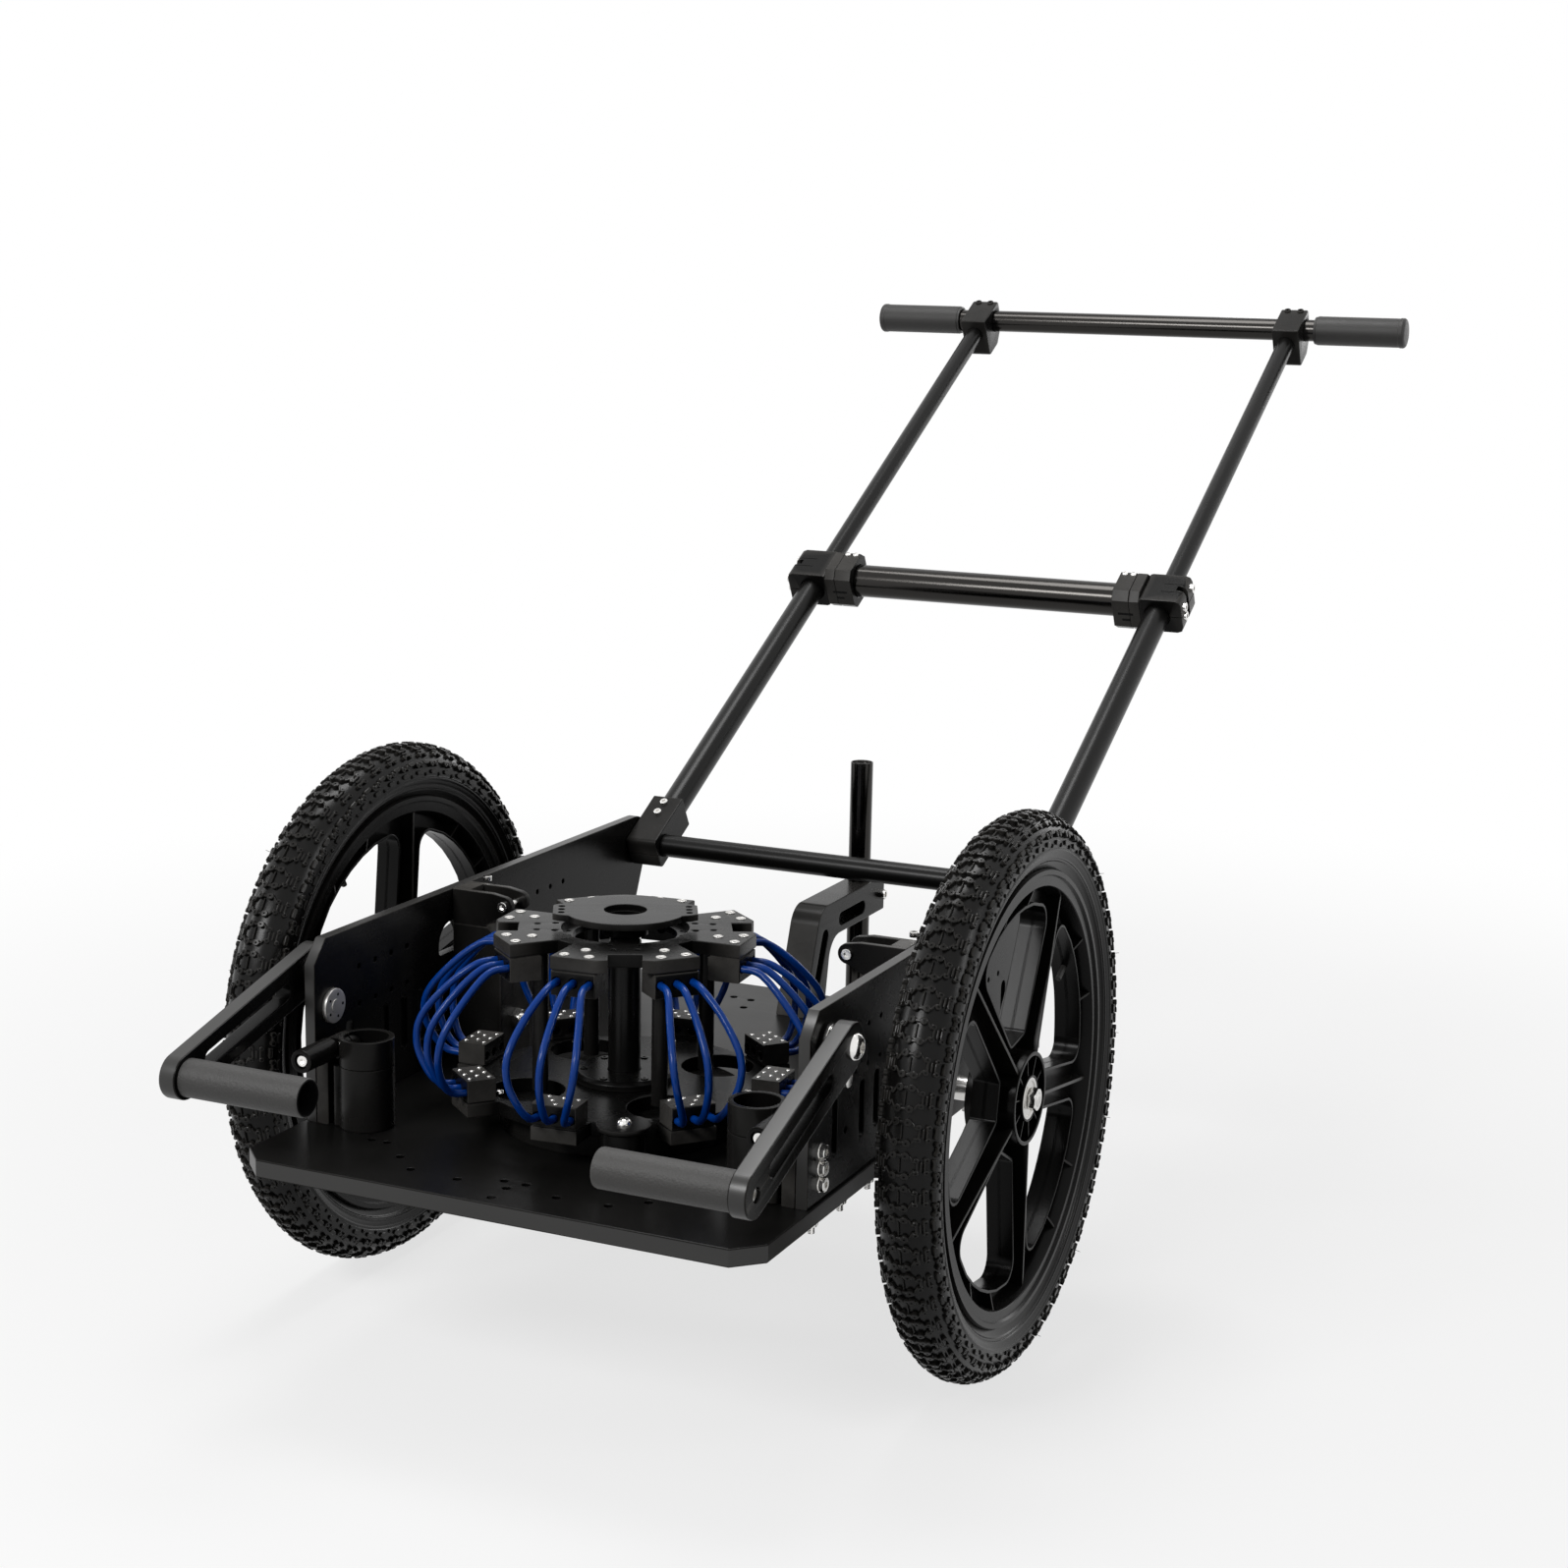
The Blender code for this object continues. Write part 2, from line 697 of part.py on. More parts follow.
def tyre_profile():
    """Section of the tyre as (radius, along axle), closed, with its beads between the rim lips."""
    bead = RIM_SEAT_R + SEAT_GAP
    lip = RIM_HALF_W - RIM_LIP_T - SEAT_GAP
    outer = [(bead, lip), (RIM_LIP_R + SEAT_GAP, lip), (WHEEL_R - TYRE_SHOULDER_DROP, TYRE_HALF_W),
             (WHEEL_R - TYRE_CROWN_DROP, TYRE_HALF_W - TYRE_CROWN_IN)]
    inner = [(WHEEL_R - TYRE_WALL, TYRE_HALF_W - TYRE_WALL), (bead, lip - BEAD_T)]
    right = outer + [(WHEEL_R, 0)]
    left = [(r, -h) for r, h in reversed(outer)]
    return right + left + [(r, -h) for r, h in reversed(inner)] + inner


def tyre(name, parent):
    bm = bmesh.new()
    ring(bm, tyre_profile(), "X", steps=WHEEL_STEPS)
    make(name, bm, "rubber", parent)


def hub_cartridge(name, parent):
    """Two bearings and the spacer between them, as they turn with the wheel."""
    bore = AXLE_R + RUN_GAP
    half = HUB_HALF_W
    waist = BEARING_R - SPACER_STEP
    profile = [(bore, -half), (BEARING_R, -half), (BEARING_R, BEARING_T - half), (waist, BEARING_T - half),
               (waist, half - BEARING_T), (BEARING_R, half - BEARING_T), (BEARING_R, half), (bore, half)]
    bm = bmesh.new()
    ring(bm, profile, "X", steps=12)
    make(name, bm, "steel", parent)


def wheels(root):
    for side, sign in SIDES:
        turn = 0 if sign > 0 else math.pi
        hub = empty(f"axle_{side}", (sign * HALF_TRACK, 0, AXLE_Z), root, (0, 0, turn))
        wheel(f"wheel_{side}", hub)
        tyre(f"tyre_{side}", hub)
        hub_cartridge(f"hub_cartridge_{side}", hub)


def axle(side, sign, root):
    """Fixed stub axle with its shoulder and inner nut, and the outer nut that keeps the wheel on."""
    inner_end = PLATE_IN - HOUSING_LEN - SEAT_GAP
    shoulder = (PLATE_OUT + SEAT_GAP, HALF_TRACK - HUB_HALF_W - RUN_GAP)
    nut_end = inner_end - INNER_NUT_T
    profile = [(0, nut_end - AXLE_TAIL), (AXLE_R, nut_end - AXLE_TAIL), (AXLE_R, nut_end),
               (NUT_R, nut_end), (NUT_R, inner_end),
               (AXLE_R, inner_end), (AXLE_R, shoulder[0]), (SHOULDER_R, shoulder[0]),
               (SHOULDER_R, shoulder[1]), (AXLE_R, shoulder[1]), (AXLE_R, HALF_TRACK + AXLE_END),
               (0, HALF_TRACK + AXLE_END)]
    bm = bmesh.new()
    lathe(bm, [(r, sign * h) for r, h in profile], "X", (0, 0, AXLE_Z), 12)
    make(f"stub_axle_{side}", bm, "steel", root)
    start = HALF_TRACK + HUB_HALF_W + RUN_GAP
    bore = AXLE_R + SEAT_GAP
    nut = [(bore, start), (NUT_R, start), (NUT_R, start + OUTER_NUT_T), (bore, start + OUTER_NUT_T)]
    bm = bmesh.new()
    ring(bm, [(r, sign * h) for r, h in nut], "X", (0, 0, AXLE_Z), 12, bore)
    make(f"axle_nut_{side}", bm, "steel", root)


# Deck and what stands on it

def deck_holes():
    """Bolt holes of the deck: a pattern at the front edge and a row along each front corner."""
    front = [(0, -0.3483), (0, -0.3233), (0.0105, -0.3090), (-0.0105, -0.3090),
             (0.0475, -0.3235), (-0.0475, -0.3235)]
    side = [(0.0946, -0.321), (0.1198, -0.2984), (0.1495, -0.2723), (0.165, -0.2725)]
    rear = [(0.0816, 0.283), (0.0607, 0.2805), (0.0557, 0.2522)]
    return front + side + [(-x, y) for x, y in side] + rear + [(-x, y) for x, y in rear]


def deck(root):
    c = DECK_CORNER
    w = DECK_HALF_W
    outline = [(-w, DECK_FRONT + c), (-w + c, DECK_FRONT), (w - c, DECK_FRONT), (w, DECK_FRONT + c),
               (w, DECK_REAR - c), (w - c, DECK_REAR), (-w + c, DECK_REAR), (-w, DECK_REAR - c)]
    bm = bmesh.new()
    stack(bm, [(DECK_BOTTOM, outline), (DECK_TOP - DECK_EDGE, outline),
               (DECK_TOP, offset(outline, -DECK_EDGE))], "xy")
    obj = make("deck", bm, "anodised", root)
    drills = bmesh.new()
    for place in deck_holes():
        bar(drills, DECK_BOTTOM - CUT, DECK_TOP + CUT, DECK_HOLE_R, "Z", 6, place)
    tool(obj, drills)


def plate_outline():
    tail_r = PLATE_TOP - HINGE_Z
    points = [(PLATE_FRONT, PLATE_BOTTOM), (HINGE_Y - PLATE_TAIL_RUN, PLATE_BOTTOM)]
    points += arc((HINGE_Y, HINGE_Z), tail_r, -24, 90, 5)
    points += [(PLATE_FRONT + PLATE_NOSE_Y, PLATE_TOP), (PLATE_FRONT, PLATE_TOP - PLATE_NOSE_Z)]
    return points


def plate_openings(bm, low, high):
    """Hole grid, upright slots and arch windows, alike ahead of and behind the axle."""
    for end in (-1, 1):
        for row in HOLE_ROWS:
            for i in range(HOLES_IN_ROW):
                place = (end * (HOLE_FIRST + i * HOLE_PITCH), DECK_TOP + row)
                bar(bm, low, high, HOLE_R, "X", 5, place)
        for y in SLOTS_Y:
            bottom = (end * y, DECK_TOP + SLOT_FROM + SLOT_R)
            top = (end * y, DECK_TOP + SLOT_TO - SLOT_R)
            slab(bm, slot(bottom, top, SLOT_R, 2), low, high, "yz")
        arch = [(end * ARCH_Y - ARCH_HALF_W, DECK_TOP + ARCH_FROM),
                (end * ARCH_Y + ARCH_HALF_W, DECK_TOP + ARCH_FROM)]
        arch += arc((end * ARCH_Y, DECK_TOP + ARCH_TO - ARCH_HALF_W), ARCH_HALF_W, 0, 180, 4)
        slab(bm, arch, low, high, "yz")


def side_plate(side, sign, root):
    low, high = sorted((sign * PLATE_IN, sign * PLATE_OUT))
    bm = bmesh.new()
    slab(bm, plate_outline(), low, high, "yz")
    obj = make(f"side_plate_{side}", bm, "anodised", root)
    boss = bmesh.new()
    bar(boss, sign * (PLATE_OUT - LAP), sign * (ARM_IN - SEAT_GAP), ARM_BOSS_R, "X", 12,
        (ARM_PIVOT_Y, ARM_PIVOT_Z))
    tool(obj, boss, "UNION")
    cuts = bmesh.new()
    plate_openings(cuts, low - CUT, high + CUT)
    bores = ((0, AXLE_Z, AXLE_R, 12), (HINGE_Y, HINGE_Z, CROSSBAR_R, 24),
             (ARM_PIVOT_Y, ARM_PIVOT_Z, PIVOT_R, 12),
             (ARM_PIVOT_Y, ARM_PIVOT_Z - ARM_STOP_DROP, STOP_PIN_R, 12))
    for y, z, radius, steps in bores:
        bar(cuts, low - CUT, high + CUT, radius + RUN_GAP, "X", steps, (y, z))
    tool(obj, cuts)


def corner_block(side, sign, root):
    """Square block in the front corner between deck and side plate."""
    outer = PLATE_IN - SEAT_GAP
    low, high = sorted((sign * outer, sign * (outer - BLOCK_T)))
    outline = box(PLATE_FRONT, PLATE_FRONT + BLOCK_LEN, PLATE_BOTTOM, PLATE_BOTTOM + BLOCK_H)
    small = offset(outline, -BLOCK_EDGE)
    layers = [(low, outline), (high - BLOCK_EDGE, outline), (high, small)]
    if sign > 0:
        layers = [(low, small), (low + BLOCK_EDGE, outline), (high, outline)]
    bm = bmesh.new()
    stack(bm, layers, "yz")
    make(f"corner_block_{side}", bm, "anodised", root)


def sided(section, sign):
    """Section given as (z, distance from the middle), turned into an anticlockwise (z, x) outline."""
    outline = [(z, sign * x) for z, x in section]
    area = sum(a[0] * b[1] - b[0] * a[1] for a, b in zip(outline, outline[1:] + outline[:1]))
    return outline if area > 0 else list(reversed(outline))


def axle_housing(side, sign, root):
    """Block that carries the stub axle inside the side plate."""
    inner = PLATE_IN - HOUSING_LEN
    outer = PLATE_IN - SEAT_GAP
    top = PLATE_BOTTOM + HOUSING_H
    section = [(PLATE_BOTTOM, inner), (PLATE_BOTTOM, outer), (top, outer), (top, inner + HOUSING_CHAMFER),
               (top - HOUSING_CHAMFER, inner)]
    bm = bmesh.new()
    slab(bm, sided(section, sign), -HOUSING_HALF_W, HOUSING_HALF_W, "zx")
    obj = make(f"axle_housing_{side}", bm, "anodised", root)
    bore = bmesh.new()
    bar(bore, sign * (inner - CUT), sign * (outer + CUT), AXLE_R + SEAT_GAP, "X", 12, (0, AXLE_Z))
    tool(obj, bore)


def clevis(side, sign, root):
    """Forked ears on top of the axle housing, with the pin that crosses them."""
    pin_z = DECK_TOP + CLEVIS_PIN_Z
    outer = PLATE_IN - SEAT_GAP
    bottom = PLATE_BOTTOM + HOUSING_H + SEAT_GAP
    foot = PLATE_IN - HOUSING_LEN + HOUSING_CHAMFER + CLEVIS_FOOT_IN
    near = CLEVIS_Y - CLEVIS_HALF_W
    far = CLEVIS_Y + CLEVIS_HALF_W
    half = CLEVIS_HALF_W - CLEVIS_ARM_T
    section = [(z, x) for x, z in arc((CLEVIS_PIN_X, pin_z), CLEVIS_EAR_R, 90, 270, 6)]
    section += [(bottom, foot), (bottom, outer), (PLATE_TOP, outer),
                (PLATE_TOP, CLEVIS_PIN_X + CLEVIS_SHOULDER)]
    bm = bmesh.new()
    slab(bm, sided(section, sign), near, far, "zx")
    obj = make(f"clevis_{side}", bm, "anodised", root)
    gap = bmesh.new()
    low, high = sorted((sign * (CLEVIS_PIN_X - CLEVIS_EAR_R - CUT), sign * (PLATE_IN - CLEVIS_GAP_OUT)))
    opening = box(CLEVIS_Y - half, CLEVIS_Y + half, pin_z - CLEVIS_GAP_DEPTH, PLATE_TOP + CUT)
    slab(gap, opening, low, high, "yz")
    tool(obj, gap)
    pin = bmesh.new()
    head = CLEVIS_HEAD_R
    start = near - CLEVIS_HEAD_T
    end = far + CLEVIS_HEAD_T
    profile = [(0, start), (head - CLEVIS_HEAD_EDGE, start), (head, start + CLEVIS_HEAD_EDGE),
               (head, near + LAP), (CLEVIS_PIN_R, near + LAP), (CLEVIS_PIN_R, far - LAP), (head, far - LAP),
               (head, end), (0, end)]
    lathe(pin, profile, "Y", (sign * CLEVIS_PIN_X, 0, pin_z), 8)
    tool(obj, pin, "UNION")


# Rear bracket and support leg

def rear_bracket(root):
    """Slotted bracket that stands on the deck and clamps the support leg at the end of its arm."""
    bottom = PLATE_BOTTOM
    top = DECK_TOP + BRACKET_TOP
    low = top - BRACKET_ARM_H
    end = LEG_Y + LEG_R + LEG_WALL
    front, rear = BRACKET_FOOT
    neck = rear + BRACKET_LEAN * BRACKET_NECK_LEAN
    shape = [(front, bottom, 0), (rear, bottom, 0), (neck, low, BRACKET_INNER_R), (end, low, BRACKET_END_R),
             (end, top, BRACKET_END_R), (front + BRACKET_LEAN, top, BRACKET_OUTER_R)]
    bm = bmesh.new()
    slab(bm, rounded(shape, 4), -BRACKET_HALF_W, BRACKET_HALF_W, "yz")
    obj = make("rear_bracket", bm, "anodised", root)
    cuts = bmesh.new()
    wide = BRACKET_HALF_W + CUT
    arm_z = (low + top) / 2
    lower = (BRACKET_SLOT_LOW[0], DECK_TOP + BRACKET_SLOT_LOW[1])
    upper = (BRACKET_SLOT_HIGH[0], DECK_TOP + BRACKET_SLOT_HIGH[1])
    slab(cuts, slot(lower, upper, BRACKET_SLOT_R, 4), -wide, wide, "yz")
    near, far = BRACKET_ARM_SLOT
    slot_z = arm_z - BRACKET_SLOT_DROP
    slab(cuts, slot((near, slot_z), (far, slot_z), BRACKET_SLOT_R, 4), -wide, wide, "yz")
    tool(obj, cuts)
    bore = bmesh.new()
    bar(bore, low - CUT, top + CUT, LEG_R + RUN_GAP, "Z", 14, (0, LEG_Y))
    tool(obj, bore)
    slit = bmesh.new()
    opening = box(-LEG_SLIT / 2, LEG_SLIT / 2, LEG_Y + LEG_R - LAP, end + CUT)
    slab(slit, opening, low - CUT, top + CUT, "xy")
    tool(obj, slit)
    bolt_y = LEG_Y + LEG_R + LEG_WALL / 2
    hole = bmesh.new()
    bar(hole, -wide, wide, LEG_BOLT_R + SEAT_GAP, "X", 10, (bolt_y, arm_z))
    tool(obj, hole)
    face = BRACKET_HALF_W + SEAT_GAP
    head = -face - LEG_BOLT_HEAD_T
    nut = face + LEG_NUT_T
    profile = [(0, head), (LEG_BOLT_HEAD_R, head), (LEG_BOLT_HEAD_R, -face), (LEG_BOLT_R, -face),
               (LEG_BOLT_R, face), (LEG_BOLT_HEAD_R, face), (LEG_BOLT_HEAD_R, nut), (0, nut)]
    bm = bmesh.new()
    lathe(bm, profile, "X", (0, bolt_y, arm_z), 10)
    make("leg_clamp_bolt", bm, "steel", root)


def support_leg(root):
    carrier = empty("leg_slide", (0, LEG_Y, 0), root)
    bm = bmesh.new()
    bar(bm, FOOT_FLOOR + SEAT_GAP, LEG_TOP, LEG_R, "Z", 14)
    obj = make("support_leg", bm, "gloss_tube", carrier)
    tap = bmesh.new()
    bar(tap, LEG_TOP - LEG_TAP_DEPTH, LEG_TOP + CUT, LEG_TAP_R, "Z", 12)
    tool(obj, tap)
    cup = LEG_R + FOOT_WALL
    bore = LEG_R + SEAT_GAP
    profile = [(0, 0), (FOOT_R, 0), (FOOT_R, FOOT_EDGE), (cup, FOOT_SHOULDER), (cup, FOOT_H),
               (bore, FOOT_H), (bore, FOOT_FLOOR), (0, FOOT_FLOOR)]
    bm = bmesh.new()
    lathe(bm, profile, "Z", steps=14)
    make("leg_foot", bm, "rubber", carrier)


# Handle, in a frame that lies on the hinge axis with +Y along the tubes

def crossbar(hinge):
    """Hinge tube through the side plates, with a cap at each end."""
    plate = PLATE_OUT + RUN_GAP
    bore = CROSSBAR_R - CROSSBAR_WALL
    end = plate + END_CAP_T
    right = [(CROSSBAR_R, plate), (END_CAP_R, plate), (END_CAP_R, end), (bore, end)]
    left = [(r, -h) for r, h in reversed(right)]
    bm = bmesh.new()
    ring(bm, left + right, "X", steps=12)
    make("crossbar", bm, "gloss_tube", hinge)


def base_clamp(side, sign, hinge):
    """Clamp that joins the lower tube to the crossbar."""
    z = BASE_CLAMP_HALF_Z
    c = BASE_CLAMP_CHAMFER
    x = sign * TUBE_X
    outline = [(-BASE_CLAMP_BACK + c, -z), (BASE_CLAMP_LEN, -z), (BASE_CLAMP_LEN, z),
               (-BASE_CLAMP_BACK + c, z), (-BASE_CLAMP_BACK, z - c), (-BASE_CLAMP_BACK, -z + c)]
    bm = bmesh.new()
    slab(bm, outline, x - BASE_CLAMP_HALF_X, x + BASE_CLAMP_HALF_X, "yz")
    obj = make(f"base_clamp_{side}", bm, "anodised", hinge)
    cross = bmesh.new()
    wide = BASE_CLAMP_HALF_X + CUT
    bar(cross, x - wide, x + wide, CROSSBAR_R + SEAT_GAP, "X", 12)
    tool(obj, cross)
    socket = bmesh.new()
    bar(socket, TUBE_SOCKET, BASE_CLAMP_LEN + CUT, LOWER_R + SEAT_GAP, "Y", 16, (x, 0))
    tool(obj, socket)


def lower_tube(side, sign, hinge):
    bm = bmesh.new()
    tube(bm, TUBE_SOCKET + SEAT_GAP, MID_AT + LOWER_END, LOWER_R, LOWER_R - LOWER_WALL, "Y", 16,
         (sign * TUBE_X, 0))
    make(f"lower_tube_{side}", bm, "gloss_tube", hinge)


def octagon(reach, corner):
    """Square of half width reach with cut corners."""
    points = []
    for turn in range(0, 360, 90):
        points += turned_outline([(reach, -reach + corner), (reach, reach - corner)], turn)
    return points


def mid_clamp(side, sign, hinge):
    """Split clamp that locks the telescoping tubes, with two bolt lugs and a sleeve for the cross tube."""
    x = sign * TUBE_X
    half_x = MID_CLAMP_HALF_X
    half_z = MID_CLAMP_HALF_Z
    c = MID_CLAMP_CHAMFER
    low = MID_AT - MID_CLAMP_HALF_L
    high = MID_AT + MID_CLAMP_HALF_L
    lug = half_x + MID_CLAMP_LUG
    section = [(half_z - c, -half_x), (half_z, -half_x + c), (half_z, lug - c), (half_z - c, lug)]
    section += [(-z, out) for z, out in reversed(section)]
    bm = bmesh.new()
    slab(bm, sided([(z, TUBE_X + out) for z, out in section], sign), low, high, "zx")
    obj = make(f"mid_clamp_{side}", bm, "anodised", hinge)
    between = bmesh.new()
    a, b = sorted((sign * (TUBE_X + half_x - MID_LUG_DEPTH), sign * (TUBE_X + lug + CUT)))
    slab(between, box(a, b, MID_AT - MID_LUG_GAP, MID_AT + MID_LUG_GAP), -half_z - CUT, half_z + CUT, "xy")
    tool(obj, between)
    sleeve = bmesh.new()
    sleeve_end = TUBE_X - half_x - SLEEVE_LEN
    a, b = sorted((sign * (TUBE_X - half_x + LAP), sign * sleeve_end))
    slab(sleeve, moved_outline(octagon(MID_TUBE_R + SLEEVE_WALL, SLEEVE_CHAMFER), MID_AT, 0), a, b, "yz")
    tool(obj, sleeve, "UNION")
    ream = bmesh.new()
    step = MID_AT + LOWER_END + SEAT_GAP
    profile = [(0, low - CUT), (LOWER_R + SEAT_GAP, low - CUT), (LOWER_R + SEAT_GAP, step),
               (UPPER_R + RUN_GAP, step), (UPPER_R + RUN_GAP, high + CUT), (0, high + CUT)]
    lathe(ream, profile, "Y", (x, 0, 0), 16)
    tool(obj, ream)
    socket = bmesh.new()
    bar(socket, sign * (sleeve_end - CUT), sign * (TUBE_X - half_x), MID_TUBE_R + SEAT_GAP, "X", 18,
        (MID_AT, 0))
    tool(obj, socket)
    split = bmesh.new()
    a, b = sorted((sign * (TUBE_X + UPPER_R - LAP), sign * (TUBE_X + lug + CUT)))
    slab(split, box(a, b, low - CUT, high + CUT), -MID_SPLIT, MID_SPLIT, "xy")
    tool(obj, split)


def mid_cross_tube(hinge):
    bm = bmesh.new()
    half = TUBE_X - MID_CLAMP_HALF_X - SEAT_GAP
    tube(bm, -half, half, MID_TUBE_R, MID_TUBE_R - MID_TUBE_WALL, "X", 18, (MID_AT, 0))
    make("mid_cross_tube", bm, "gloss_tube", hinge)


def upper_tube(side, sign, slide):
    bm = bmesh.new()
    start = MID_AT - UPPER_OVERLAP
    end = TOP_AT - TOP_BAR_R - TOP_CLAMP_FLOOR - SEAT_GAP
    tube(bm, start, end, UPPER_R, UPPER_R - UPPER_WALL, "Y", 16, (sign * TUBE_X, 0))
    make(f"upper_tube_{side}", bm, "gloss_tube", slide)


def top_clamp(side, sign, slide):
    """Chamfered clamp that joins the upper tube to the top bar, deeper under the bar for its bolts."""
    reach = TOP_CLAMP_REACH
    c = TOP_CLAMP_CHAMFER
    x = sign * TUBE_X
    front = TOP_AT - reach - TOP_CLAMP_SOCKET
    low = reach + TOP_CLAMP_LUG
    outline = [(front, -low + c), (front + c, -low), (TOP_AT - TOP_CLAMP_HEEL, -low),
               (TOP_AT + reach, -reach + c), (TOP_AT + reach, reach - c), (TOP_AT + reach - c, reach),
               (front + c, reach), (front, reach - c)]
    bm = bmesh.new()
    slab(bm, outline, x - TOP_CLAMP_HALF_X, x + TOP_CLAMP_HALF_X, "yz")
    obj = make(f"top_clamp_{side}", bm, "anodised", slide)
    cross = bmesh.new()
    wide = TOP_CLAMP_HALF_X + CUT
    bar(cross, x - wide, x + wide, TOP_BAR_R + SEAT_GAP, "X", 14, (TOP_AT, 0))
    tool(obj, cross)
    socket = bmesh.new()
    bar(socket, front - CUT, TOP_AT - TOP_BAR_R - TOP_CLAMP_FLOOR, UPPER_R + SEAT_GAP, "Y", 16, (x, 0))
    tool(obj, socket)


def top_bar(slide):
    bm = bmesh.new()
    half = TOP_BAR_HALF - GRIP_END_T - SEAT_GAP
    tube(bm, -half, half, TOP_BAR_R, TOP_BAR_R - TOP_BAR_WALL, "X", 14, (TOP_AT, 0))
    make("top_bar", bm, "gloss_tube", slide)


def handle_grip(side, sign, slide):
    """Rubber grip with a collar at its inner end and a closed outer end."""
    bore = TOP_BAR_R + SEAT_GAP
    end = TOP_BAR_HALF
    start = TOP_BAR_HALF - GRIP_LEN
    collar = GRIP_R + GRIP_COLLAR
    step = start + GRIP_COLLAR_LEN
    profile = [(0, end), (GRIP_R - GRIP_END_EDGE, end), (GRIP_R, end - GRIP_END_EDGE), (GRIP_R, step),
               (collar, step), (collar, start), (bore, start), (bore, end - GRIP_END_T),
               (0, end - GRIP_END_T)]
    bm = bmesh.new()
    lathe(bm, [(r, sign * h) for r, h in profile], "X", (0, TOP_AT, 0), 14)
    make(f"handle_grip_{side}", bm, "rubber", slide)


def handle(root):
    hinge = empty("handle_hinge", (0, HINGE_Y, HINGE_Z), root, (HANDLE_TILT, 0, 0))
    slide = empty("handle_slide", (0, 0, 0), hinge)
    crossbar(hinge)
    mid_cross_tube(hinge)
    top_bar(slide)
    for side, sign in SIDES:
        base_clamp(side, sign, hinge)
        lower_tube(side, sign, hinge)
        mid_clamp(side, sign, hinge)
        upper_tube(side, sign, slide)
        top_clamp(side, sign, slide)
        handle_grip(side, sign, slide)


# Front arms, each in a frame on its pivot with -Y along the arm

def arm_bar(side, sign, pivot):
    low, high = sorted((sign * ARM_IN, sign * ARM_OUT))
    outline = arc((0, 0), ARM_HALF_W, -90, 90, 6) + arc((-ARM_LENGTH, 0), ARM_END_R, 90, 270, 6)
    small = offset(outline, -ARM_EDGE)
    bm = bmesh.new()
    stack(bm, [(low, small), (low + ARM_EDGE, outline), (high - ARM_EDGE, outline), (high, small)], "yz")
    obj = make(f"front_arm_{side}", bm, "anodised", pivot)
    cuts = bmesh.new()
    ends = ((-ARM_SLOT_TO + ARM_SLOT_R, 0), (-ARM_SLOT_FROM - ARM_SLOT_R, 0))
    slab(cuts, slot(*ends, ARM_SLOT_R, 4), low - CUT, high + CUT, "yz")
    bar(cuts, low - CUT, high + CUT, PIVOT_R + RUN_GAP, "X", 12)
    bar(cuts, sign * (ARM_OUT - ARM_END_RECESS), sign * (ARM_OUT + CUT), ARM_END_BORE, "X", 12,
        (-ARM_LENGTH, 0))
    tool(obj, cuts)


def front_grip(side, sign, pivot):
    """Hollow grip at the end of the arm, open at its inner end."""
    outer = ARM_IN - SEAT_GAP
    floor = outer - FRONT_GRIP_PLUG
    profile = [(0, outer), (FRONT_GRIP_R, outer), (FRONT_GRIP_R, FRONT_GRIP_IN),
               (FRONT_GRIP_BORE, FRONT_GRIP_IN), (FRONT_GRIP_BORE, floor), (0, floor)]
    bm = bmesh.new()
    lathe(bm, [(r, sign * h) for r, h in profile], "X", (0, -ARM_LENGTH, 0), 16)
    make(f"front_grip_{side}", bm, "foam", pivot)


def arm_pivot_bolt(side, sign, root):
    """Button-head bolt through arm and side plate, with its nut inside the plate."""
    face = ARM_OUT + SEAT_GAP
    inner = PLATE_IN - SEAT_GAP
    nut = inner - PIVOT_NUT_T
    tip = nut - PIVOT_TAIL
    crown = face + PIVOT_HEAD_H
    profile = [(0, tip), (PIVOT_R, tip), (PIVOT_R, nut), (PIVOT_NUT_R, nut), (PIVOT_NUT_R, inner),
               (PIVOT_R, inner), (PIVOT_R, face), (PIVOT_HEAD_R, face),
               (PIVOT_HEAD_R, face + PIVOT_HEAD_RIM),
               (PIVOT_HEAD_R * PIVOT_HEAD_FLAT, crown), (0, crown)]
    bm = bmesh.new()
    lathe(bm, [(r, sign * h) for r, h in profile], "X", (0, ARM_PIVOT_Y, ARM_PIVOT_Z), 10)
    make(f"arm_pivot_bolt_{side}", bm, "steel", root)


def arm_stop(side, sign, root):
    """Stop bolt that the arm comes down on, with its round nut inside the plate."""
    inner = PLATE_IN - SEAT_GAP
    outside = PLATE_OUT + SEAT_GAP
    nut = inner - STOP_NUT_T
    end = ARM_OUT - STOP_SHORT
    profile = [(0, nut), (STOP_NUT_R, nut), (STOP_NUT_R, inner), (STOP_PIN_R, inner), (STOP_PIN_R, outside),
               (STOP_R, outside), (STOP_R, end), (0, end)]
    bm = bmesh.new()
    place = (0, ARM_PIVOT_Y, ARM_PIVOT_Z - ARM_STOP_DROP)
    lathe(bm, [(r, sign * h) for r, h in profile], "X", place, 12)
    make(f"arm_stop_{side}", bm, "steel", root)


def front_arm(side, sign, root):
    pivot = empty(f"arm_pivot_{side}", (0, ARM_PIVOT_Y, ARM_PIVOT_Z), root, (ARM_DROP[side], 0, 0))
    arm_bar(side, sign, pivot)
    front_grip(side, sign, pivot)
    arm_pivot_bolt(side, sign, root)
    arm_stop(side, sign, root)


# Clamp sockets at the front corners of the deck

